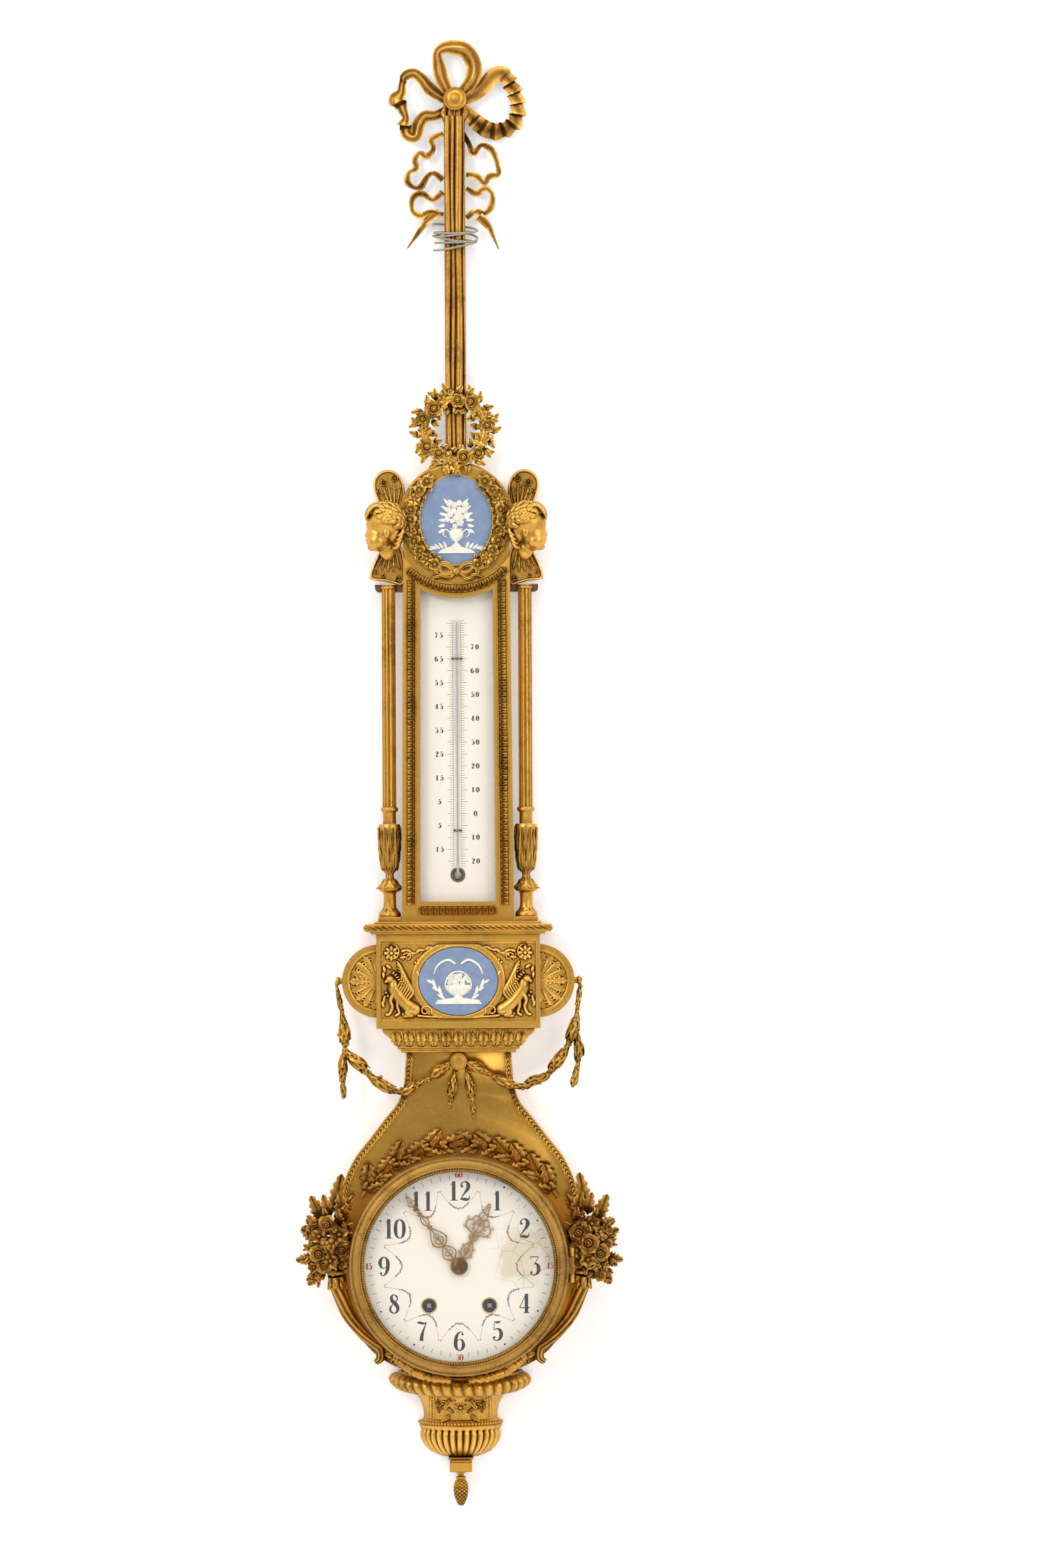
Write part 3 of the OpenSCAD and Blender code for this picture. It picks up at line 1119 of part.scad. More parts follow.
// Hands, pierced, shown at rest
hour_level = dial_face + 1;
minute_level = hour_level + hand_t + 1;
module pierced(pts, hole) difference() { polygon(closed_pair(pts)); polygon(closed_pair(hole)); }
module minute_hand() color(brass) up() at_dial() rotate(minute_turn) slab(minute_level,
    minute_level + hand_t) difference() {
    union() {
        circle(r = 4);
        pierced([[2.6, 3], [4, 8], [2, 13], [3.4, 18], [4.6, 25], [2.6, 32], [1.2, 37], [2.6, 43], [1, 49],
            [1.8, 55],
            [0.9, 58], [1.2, 61], [0, minute_len]], [[1.2, 5], [2.4, 8], [0.6, 12]]);
    }
    circle(r = cannon_r);
    polygon(closed_pair([[1, 18], [2.6, 25], [0.6, 33]]));
    polygon(closed_pair([[0.5, 39], [1.4, 43], [0.4, 47]]));
}
module hour_hand() color(brass) up() at_dial() rotate(hour_turn) slab(hour_level,
    hour_level + hand_t) difference() {
    union() {
        circle(r = 4.6);
        pierced([[2.4, 3], [4.4, 9], [2, 14], [4, 19], [2, 24], [4.4, 28], [9.4, 32], [10, 37], [7, 40.5],
            [4.4, 39.6],
            [2, 43], [0, hour_len]], [[1.2, 5], [2.8, 9], [0.6, 13]]);
    }
    circle(r = pipe_r);
    for (s = [-1, 1]) translate([s * 5.4, 34.6]) circle(r = 2.6);
    polygon(closed_pair([[0.6, 36], [1.2, 40], [0.3, 44]]));
    polygon(closed_pair([[0.6, 17], [2.4, 19.4], [0.5, 22]]));
}
module hour_wheel() color(brass) up() at_dial() difference() {
    union() {
        translate([0, 0, plate_front + 2.8]) rotate(270) gear(hour_teeth, module_hour, 1.2, 0.4);
        disc(pipe_r, plate_front + 2.8, hour_level + hand_t);
    }
    disc(cannon_r + fit, plate_front, bezel_face);
}
module hand_nut() color(brass) up() at_dial() difference() {
    translate([0, 0, minute_level + hand_t]) union() {
        cylinder(r = 5.6, h = 0.7);
        translate([0, 0, 0.7]) cylinder(r = 3, h = 0.6);
    }
    disc(cannon_r, minute_level, minute_level + hand_t + 0.7);
}

// Movement frame: two plates, four pillars, the studs of the motion work and the bell, and the pivot holes
pillar_at = 50;
pillar_turns = [55, 125, 193, 270, 347];
module movement_frame() color(brass) up() at_dial() difference() {
    union() {
        disc(plate_r, plate_back, plate_front);
        disc(plate_r - 10, rear_face, rear_plate);
        for (t = pillar_turns) rotate(t) translate([pillar_at, 0, 0]) disc(3, rear_plate - seat,
            plate_back + seat);
        translate([minute_at[0], minute_at[1], 0]) disc(pivot_r, plate_front - seat, plate_front + 6);
        translate([bell_at[0], bell_at[1], 0]) disc(2, bell_back + 1, rear_face + seat);
    }
    for (s = [-1, 1]) translate([s * wind_x, -wind_drop, 0]) disc(arbor_r + fit, 0, bezel_face);
    disc(cannon_r + fit, 0, bezel_face);
    for (p = [middle_at, third_at, escape_at, anchor_at]) translate([p[0], p[1], 0])
        disc(pivot_r + fit, 0, bezel_face);
    translate([hammer_at[0], hammer_at[1], 0]) disc(pivot_r + fit, 0, rear_plate);
}

// Barrels with their great wheels, and the winding arbors that pass through them
great_level = rear_plate + 3;
barrel_level = great_level + 2.2;
module barrel(turn) difference() {
    union() {
        disc(barrel_r, barrel_level, barrel_level + barrel_h);
        translate([0, 0, great_level]) rotate(turn) gear(great_teeth, module_wheel,
            barrel_level - great_level, 0.42);
    }
    disc(arbor_r + fit, 0, bezel_face);
}
function turn_to(a, b) = atan2(b[1] - a[1], b[0] - a[0]);
module going_barrel() color(brass) up() at_dial() translate([wind_x, -wind_drop,
    0]) barrel(turn_to(wind_at, middle_at));
module strike_barrel() color(brass) up() at_dial() translate([-wind_x, -wind_drop, 0]) barrel(0);
module wind_arbor() difference() {
    union() {
        disc(arbor_r, rear_face - 0.5, plate_front + 2.4);
        slab(plate_front + 2.3, drum_front + 0.6) square(square_w, center = true);
        disc(arbor_r + 1.4, great_level - 1.6, great_level - 0.2);
    }
}
module going_arbor() color(steel) up() at_dial() translate([wind_x, -wind_drop, 0]) wind_arbor();
module strike_arbor() color(steel) up() at_dial() translate([-wind_x, -wind_drop, 0]) wind_arbor();

// Going train
middle_level = plate_back - 3.4;
centre_level = plate_back - 8;
third_level = plate_back - 12;
escape_level = plate_back - 17;
module arbor(low, high) disc(1.1, low, high);
module pivots() disc(pivot_r, rear_face, plate_front);
module centre_wheel() color(brass) up() at_dial() {
    disc(cannon_r, rear_face, minute_level + hand_t + 0.6);
    translate([0, 0, middle_level - 0.8]) rotate(180 + 18 + turn_to(middle_at, [0, 0]))
        gear(centre_leaves, module_wheel * 1.1, 3, 0.36);
    translate([0, 0, centre_level]) rotate(third_turn) gear(centre_teeth, module_third, 1.4, 0.42);
    translate([0, 0, plate_front + 0.4]) rotate(90 + 15) gear(cannon_leaves, module_motion, 1.8, 0.36);
}
module intermediate_wheel() color(brass) up() at_dial() translate([middle_at[0], middle_at[1], 0]) {
    pivots();
    arbor(rear_plate + 0.4, plate_back - 0.4);
    translate([0, 0, middle_level]) rotate(turn_to(middle_at, [0, 0])) gear(middle_teeth,
        module_wheel * 1.1, 1.4, 0.42);
    translate([0, 0, great_level - 0.4]) rotate(180 + 22.5 + turn_to(wind_at, middle_at))
        gear(barrel_leaves, module_wheel, 3, 0.36);
}
module third_wheel() color(brass) up() at_dial() translate([third_at[0], third_at[1], 0]) {
    pivots();
    disc(0.85, rear_plate + 0.4, plate_back - 0.4);
    translate([0, 0, centre_level - 0.6]) rotate(180 + third_turn + 180 / third_leaves)
        gear(third_leaves, module_third, 2.8, 0.36);
    translate([0, 0, third_level]) rotate(turn_to(third_at, escape_at)) gear(third_teeth, module_escape,
        1.2, 0.42);
}
module escape_wheel() color(brass) up() at_dial() translate([0, escape_at[1], 0]) difference() {
    union() {
        pivots();
        translate([0, 0, third_level - 0.6]) rotate(180 + 30 + turn_to(third_at, escape_at))
            gear(escape_leaves, module_escape, 2.6, 0.34);
        disc(0.6, escape_level, third_level + 1.8);
        slab(escape_level, escape_level + 1.2) polygon([for (k = [0:29], c = [[6.6, 0], [escape_r, 0.1],
            [escape_r, 0.25],
            [6.6, 0.8]]) let (t = 12 * (k + c[1])) [c[0] * cos(t), c[0] * sin(t)]]);
    }
}
module minute_wheel() color(brass) up() at_dial() translate([minute_at[0], minute_at[1], 0]) difference() {
    union() {
        translate([0, 0, plate_front + 0.6]) rotate(270) gear(minute_teeth, module_motion, 1.2, 0.42);
        translate([0, 0, plate_front + 1.7]) rotate(90 + 180 + 18) gear(motion_leaves, module_hour, 2.8,
            0.36);
    }
    disc(pivot_r + fit, plate_front, bezel_face);
}

// Anchor with its crutch, and the pendulum, which swing together about one line
module anchor() color(steel) up() at_dial() translate([0, anchor_at[1], 0]) {
    disc(pivot_r, rear_face - 2.6, plate_front);
    disc(1.3, rear_plate + 0.4, plate_back - 0.4);
    for (s = [-1, 1]) slab(escape_level, escape_level + 1.4)
        polygon([[s * 0.4, 1.6], [s * 9.6, -4], [s * 9.4, -7.4], [s * 8.2, -7.4], [s * 7.6, -4.4],
            [s * 0.4, -0.6]]);
    slab(rear_face - 2.6, rear_face - 1.4) translate([-1, -24]) square([2, 24]);
}
pendulum_level = rear_face - 5;
module pendulum() color(brass) up() at_dial() translate([0, anchor_at[1], 0]) {
    slab(pendulum_level - 0.3, pendulum_level + 0.3) translate([-2, -8]) square([4, 10]);
    translate([0, -7, pendulum_level]) rotate([90, 0, 0]) cylinder(r = 0.8, h = pendulum_len - bob_r - 6);
    translate([0, -pendulum_len, pendulum_level]) rotate_extrude() polygon([[0, -2], [bob_r - 3, -1.4],
        [bob_r, 0],
        [bob_r - 3, 1.4], [0, 2]]);
    slab(pendulum_level, rear_face - 2.6) translate([-0.7, -23]) square([1.4, 1.4]);
}

// Bell on its stud, and the hammer
bell_back = 3;
bell_h = 11;
module bell() color(brass) up() at_dial() translate([bell_at[0], bell_at[1], 0]) difference() {
    rotate_extrude() polygon([[0, bell_back], [bell_r - 8, bell_back], [bell_r - 2.6, bell_back + 3.4],
        [bell_r, bell_back + bell_h], [bell_r - 1.2, bell_back + bell_h], [bell_r - 4, bell_back + 4.6],
        [bell_r - 8.8, bell_back + 1.4], [0, bell_back + 1.4]]);
    disc(2, bell_back - 1, bell_back + bell_h);
}
module hammer() color(steel) up() at_dial() translate([hammer_at[0], hammer_at[1], 0]) {
    disc(pivot_r, rear_face - 14, rear_plate);
    disc(1.4, rear_face - 14, rear_face - 0.5);
    slab(rear_face - 14, rear_face - 12.6) rotate(62) translate([0, -0.9]) square([30, 1.8]);
    rotate(62) translate([30, 0, 0]) disc(3, rear_face - 16, rear_face - 11);
}

ribbon_bow();
boss_knobs();
stem();
ribbon_tails();
hanger_strap();
case_screws();
twine_binding();
flower_wreath();
thermometer_frame();
leaf_moulding();
thermometer_glass();
scale_plate();
thermometer_tube();
tube_ties();
backing_board();
upper_plaque();
head_garlands();
cherub_left();
cherub_right();
cherub_wings();
capital_brackets();
column_shafts();
column_feet();
box_case();
box_cornices();
side_lobes();
lower_plaque();
box_relief();
laurel_garlands();
clock_case();
oak_leaves();
cornucopias();
bouquets();
urn_rim();
urn_bowl();
finial();
urn_branches();
drum();
bezel_ring();
bezel_glass();
hinge_pin();
dial();
minute_hand();
hour_hand();
hour_wheel();
hand_nut();
movement_frame();
going_barrel();
strike_barrel();
going_arbor();
strike_arbor();
centre_wheel();
minute_wheel();
intermediate_wheel();
third_wheel();
escape_wheel();
anchor();
pendulum();
bell();
hammer();
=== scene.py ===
"""Looks of a gilt wall cartel with a clock and a thermometer, laid out as an add-on and run as a script."""

import math

import bmesh
import bpy
import numpy as np
from bpy.props import FloatProperty, FloatVectorProperty, IntProperty, PointerProperty
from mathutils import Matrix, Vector

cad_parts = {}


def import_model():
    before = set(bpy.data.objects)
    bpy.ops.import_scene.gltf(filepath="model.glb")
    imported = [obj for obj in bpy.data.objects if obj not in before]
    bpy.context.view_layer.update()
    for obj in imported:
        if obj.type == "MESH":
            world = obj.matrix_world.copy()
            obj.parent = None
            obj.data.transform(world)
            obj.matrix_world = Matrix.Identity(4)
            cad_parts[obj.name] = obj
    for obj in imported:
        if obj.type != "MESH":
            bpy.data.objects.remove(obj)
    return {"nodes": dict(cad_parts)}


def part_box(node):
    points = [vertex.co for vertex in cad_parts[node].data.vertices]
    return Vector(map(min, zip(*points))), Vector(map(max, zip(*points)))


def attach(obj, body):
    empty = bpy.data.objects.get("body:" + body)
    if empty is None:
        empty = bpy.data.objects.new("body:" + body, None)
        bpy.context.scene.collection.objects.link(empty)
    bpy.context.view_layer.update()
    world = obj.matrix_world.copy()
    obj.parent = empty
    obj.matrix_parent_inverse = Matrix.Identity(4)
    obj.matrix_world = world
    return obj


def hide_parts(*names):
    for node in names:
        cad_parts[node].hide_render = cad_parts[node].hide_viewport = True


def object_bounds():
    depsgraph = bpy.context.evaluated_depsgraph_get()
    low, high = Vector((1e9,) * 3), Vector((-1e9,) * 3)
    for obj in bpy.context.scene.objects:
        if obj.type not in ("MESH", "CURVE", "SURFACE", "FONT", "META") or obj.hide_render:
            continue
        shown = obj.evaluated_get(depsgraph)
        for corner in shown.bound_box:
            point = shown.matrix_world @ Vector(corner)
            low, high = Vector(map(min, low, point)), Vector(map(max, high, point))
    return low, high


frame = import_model()
CAD_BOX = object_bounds()

bl_info = {
    "name": "Gilt wall cartel",
    "version": (1, 0, 0),
    "blender": (4, 5, 0),
    "location": "3D View > Sidebar > Cartel",
    "description": "Builds the carved, cast and printed pieces of a wall cartel over its plain frame",
    "category": "Object",
}


# Drawing frame: x to the right, z up and h off the wall, all in millimetres


def span(node):
    """Lowest and highest x, z and h of a frame node."""
    lo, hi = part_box(node)
    return (lo[0] * 1e3, lo[2] * 1e3, -hi[1] * 1e3), (hi[0] * 1e3, hi[2] * 1e3, -lo[1] * 1e3)


DIAL_LO, DIAL_HI = span("dial")
DIAL_Z = (DIAL_LO[1] + DIAL_HI[1]) / 2
DIAL_FACE = DIAL_HI[2]
BOX_LO, BOX_HI = span("box_case")
BOX_Z = (BOX_LO[1] + BOX_HI[1]) / 2
BOX_HALF = BOX_HI[0]
BOX_FACE = BOX_HI[2]
FRAME_LO, FRAME_HI = span("thermometer_frame")
FRAME_FACE = FRAME_HI[2]
FRAME_FOOT = FRAME_LO[1]
# Middle and face of the round head of the thermometer frame
HEAD_Z = -18.3
HEAD_FACE = 14.0
CASE_HI = span("clock_case")[1]
CASE_TOP = CASE_HI[1]
CASE_FACE = CASE_HI[2]
URN_TOP = span("urn_rim")[1][1]
RIM_Z = span("urn_rim")[0][1]
BLOCK_Z = span("urn_bowl")[0][1]
SCALE_FACE = span("scale_plate")[1][2]
BEZEL_FACE = span("bezel_ring")[1][2]


# The direction that leaves and beads stand in, in the scene's own axes
OFF_THE_WALL = (0, -1, 0)


# Forms


def catmull(points, steps):
    """A smooth path through given points."""
    p = np.asarray(points, float)
    e = np.vstack([p[:1], p, p[-1:]])
    t = np.linspace(0, 1, steps, endpoint=False)[:, None]
    rows = []
    for i in range(len(p) - 1):
        a, b, c, d = e[i : i + 4]
        rows.append(0.5 * (2 * b + (c - a) * t + (2 * a - 5 * b + 4 * c - d) * t**2
                           + (3 * b - a - 3 * c + d) * t**3))
    return np.vstack(rows + [p[-1:]])


def evenly(path, count):
    """The same path with points at even distances."""
    run = np.concatenate([[0], np.cumsum(np.linalg.norm(np.diff(path[:, :3], axis=0), axis=1))])
    at = np.linspace(0, run[-1], count)
    return np.stack([np.interp(at, run, path[:, k]) for k in range(path.shape[1])], 1)


def circle(n):
    """Points of a circle of radius 1."""
    t = 2 * math.pi * np.arange(n) / n
    return np.stack([np.cos(t), np.sin(t)], 1)


class Form:
    """A closed form: points, faces of four and three sides, and how deep each point lies in a hollow, which
    is its painted shade (below zero, a painted highlight).
    """

    def __init__(self, points, quads=(), tris=(), deep=0.0, turn=True):
        self.p = np.asarray(points, float)
        self.q = np.asarray(quads, int).reshape(-1, 4)
        self.t = np.asarray(tris, int).reshape(-1, 3)
        self.d = np.array(np.broadcast_to(deep, len(self.p)), float)
        if turn and self.volume() < 0:
            self.q, self.t = self.q[:, ::-1], self.t[:, ::-1]

    def volume(self):
        """Six times the volume inside, below zero where the faces look inwards."""
        c = self.p - self.p.mean(0)
        faces = np.vstack([self.q[:, [0, 1, 2]], self.q[:, [0, 2, 3]], self.t])
        a, b, d = c[faces[:, 0]], c[faces[:, 1]], c[faces[:, 2]]
        return float(np.einsum("ij,ij->i", a, np.cross(b, d)).sum())

    def put(self, at=(0, 0, 0), turn=0, tilt=0, roll=0, size=1.0):
        """A copy scaled, rolled about its length, lifted at its tip, turned on the wall and moved."""
        a, b, c = (math.radians(k) for k in (turn, tilt, roll))
        on = np.array([[math.cos(a), -math.sin(a), 0], [math.sin(a), math.cos(a), 0], [0, 0, 1]])
        up = np.array([[math.cos(b), 0, -math.sin(b)], [0, 1, 0], [math.sin(b), 0, math.cos(b)]])
        by = np.array([[1, 0, 0], [0, math.cos(c), -math.sin(c)], [0, math.sin(c), math.cos(c)]])
        m = on @ up @ by
        return Form((self.p * size) @ m.T + np.asarray(at, float), self.q, self.t, self.d, turn=False)

    def mirrored(self):
        """A copy on the other side of the middle."""
        return Form(self.p * [-1, 1, 1], self.q[:, ::-1], self.t[:, ::-1], self.d, turn=False)

    def bent(self, change):
        """A copy with its points moved by a function of x, z and h."""
        x, z, h = change(*self.p.T)
        return Form(np.stack([x, z, h], 1), self.q, self.t, self.d)


def join(forms):
    """One form of several."""
    p, q, t, d, n = [], [], [], [], 0
    for f in forms:
        p.append(f.p)
        q.append(f.q + n)
        t.append(f.t + n)
        d.append(f.d)
        n += len(f.p)
    return Form(np.vstack(p), np.vstack(q), np.vstack(t), np.concatenate(d), turn=False)


def both(forms):
    """The forms with their mirror images."""
    return list(forms) + [f.mirrored() for f in forms]


def loft(rings, deep=0.0):
    """Skin over closed rings, with a fan at each end."""
    rings = np.asarray(rings, float)
    m, n = rings.shape[:2]
    i, j = np.arange(m - 1)[:, None] * n, np.arange(n)[None, :]
    k = (j + 1) % n
    quads = np.stack([i + j, i + k, i + n + k, i + n + j], -1).reshape(-1, 4)
    first, last = m * n, m * n + 1
    j, k = np.arange(n), (np.arange(n) + 1) % n
    tris = np.vstack([np.stack([np.full(n, first), k, j], 1),
                      np.stack([np.full(n, last), j + n * (m - 1), k + n * (m - 1)], 1)])
    points = np.vstack([rings.reshape(-1, 3), rings[0].mean(0), rings[-1].mean(0)])
    d = np.broadcast_to(deep, (m, n))
    return Form(points, quads, tris, np.concatenate([d.ravel(), [d[0].mean(), d[-1].mean()]]))


def sweep(path, section, size=1.0, up=(0, 0, 1), deep=0.0):
    """A section, drawn across and out, carried along a path."""
    p = np.asarray(path, float)[:, :3]
    d = np.gradient(p, axis=0)
    d /= np.linalg.norm(d, axis=1)[:, None] + 1e-12
    side = np.cross(d, np.broadcast_to(np.asarray(up, float), p.shape))
    side /= np.linalg.norm(side, axis=1)[:, None] + 1e-12
    out = np.cross(side, d)
    s = np.broadcast_to(np.asarray(section, float), (len(p),) + np.shape(section)[-2:])
    s = s * np.asarray(size, float).reshape(-1, 1, 1)
    return loft(p[:, None] + s[..., :1] * side[:, None] + s[..., 1:] * out[:, None], deep)


def tube(path, radii, sides=8, up=(0, 0, 1)):
    """A round bar along a path, of one radius or of one for each point."""
    return sweep(path, circle(sides), np.broadcast_to(np.asarray(radii, float), len(path)), up)


def turned(profile, sides=48, axis="h", wave=None):
    """A solid turned about h or z. profile is radius and level, and wave changes the radius by angle and
    gives each point's painted shade.
    """
    t = 2 * math.pi * np.arange(sides) / sides
    pr = np.asarray(profile, float)
    r = np.broadcast_to(pr[:, :1], (len(pr), sides)).copy()
    deep = np.zeros_like(r)
    if wave:
        r, deep = wave(r, np.arange(len(pr))[:, None], t[None, :])
    level = np.broadcast_to(pr[:, 1:2], r.shape)
    x, y = r * np.cos(t), r * np.sin(t)
    return loft(np.stack([x, y, level], -1) if axis == "h" else np.stack([x, level, -y], -1), deep)


def closed_grid(rings):
    """Skin over rings that follow each other round and meet the first one again."""
    m, n = rings.shape[:2]
    i, j = np.meshgrid(np.arange(m), np.arange(n), indexing="ij")
    after, beside = (i + 1) % m, (j + 1) % n
    quads = np.stack([i * n + j, i * n + beside, after * n + beside, after * n + j], -1)
    return Form(rings.reshape(-1, 3), quads.reshape(-1, 4))


def ball(r=1.0, sides=8, rows=5):
    """A ball with a small flat at each end."""
    t = np.linspace(0.12, math.pi - 0.12, rows)
    return turned(np.stack([r * np.sin(t), -r * np.cos(t)], 1), sides)


def blade(length, width, rise=0.25, tip=0.1, cup=0.15, lobes=0, bite=0.3, shape=(0.8, 0.85), thick=0.5,
          nu=9, nv=5, veins=0.0):
    """A leaf or petal with its base at the origin and its tip along x."""
    u = np.linspace(0, 1, nu)[:, None]
    v = np.linspace(-1, 1, nv)[None, :]
    half = width / 2 * np.sin(math.pi * (0.04 + 0.93 * u ** shape[0])) ** shape[1]
    if lobes:
        half = half * (1 - bite * (0.5 + 0.5 * np.cos(2 * math.pi * lobes * u)))
    x = length * (u + (0.09 * np.abs(v) ** 1.5 * (1 - u) if lobes else 0))
    y = v * half + 0 * x
    crown = rise * length * np.sin(math.pi * u) * 0.6 + tip * length * u**2
    h = crown - cup * width * (v**2) * np.sin(math.pi * np.clip(u * 0.9 + 0.05, 0, 1))
    h = h - 0.07 * width * np.exp(-((v / 0.16) ** 2)) * (veins > 0)
    if veins:
        ripple = np.cos(2 * math.pi * (max(lobes, 4) * u - 1.1 * np.abs(v)))
        h = h + veins * 0.05 * width * ripple * np.abs(v)
    x, y = x + 0 * h, y + 0 * h
    top = np.stack([x, y, h], -1)
    under = top - [0, 0, thick]
    rings = np.concatenate([top, under[:, ::-1]], 1)
    # Painted shade along the midrib and towards the base, painted highlight on the edges; the underside takes
    # painted shade all over.
    d = 0.75 * np.exp(-((v / 0.25) ** 2)) * (veins > 0) + 0.5 * (1 - u) ** 3 - 0.35 * (np.abs(v) > 0.9)
    d = d + 0 * h
    return loft(rings, np.concatenate([d, 0 * d + 0.9], 1))


def rose(seed=0):
    """A full rose of radius 1."""
    pick = np.random.default_rng(seed)
    out = []
    for count, size, tilt, base in ((5, 1.0, 14, 0.05), (5, 0.82, 40, 0.18), (4, 0.6, 62, 0.3),
                                    (3, 0.42, 76, 0.4)):
        petal = blade(size, 1.05 * size, rise=0.16, tip=-0.22 if tilt < 30 else 0.02, cup=-0.2,
                      shape=(1.5, 0.55), thick=0.09, nu=6, nv=5)
        for k in range(count):
            a = 360 * k / count + tilt * 1.7 + pick.uniform(-8, 8)
            out.append(petal.put((0, 0, base), a, tilt + pick.uniform(-4, 4)))
    out.append(ball(0.17, 6, 4).put((0, 0, 0.72)))
    out.append(ball(0.5, 8, 5).put((0, 0, 0.22)))
    return join(out)


def blossom(petals=6, seed=0):
    """An open flower of radius 1."""
    pick = np.random.default_rng(seed)
    petal = blade(1.0, 0.82, rise=0.2, tip=0.12, cup=-0.18, shape=(1.35, 0.6), thick=0.1, nu=6, nv=5,
                  veins=0.6)
    out = [petal.put((0, 0, 0.1), 360 * k / petals + pick.uniform(-6, 6), 8 + pick.uniform(-5, 8))
           for k in range(petals)]
    out.append(ball(0.26, 8, 5).put((0, 0, 0.3)))
    out.append(ball(0.45, 8, 4).put((0, 0, 0.0)))
    return join(out)


def bunch(count, spread, r, seed=0):
    """A heap of berries."""
    pick = np.random.default_rng(seed)
    out = []
    for k in range(count):
        a, q = k * 2.4, math.sqrt((k + 0.5) / count)
        out.append(ball(r * pick.uniform(0.85, 1.1), 7, 4).put(
            (spread * q * math.cos(a), 1.25 * spread * q * math.sin(a), spread * 0.7 * (1 - q * q))))
    return join(out)


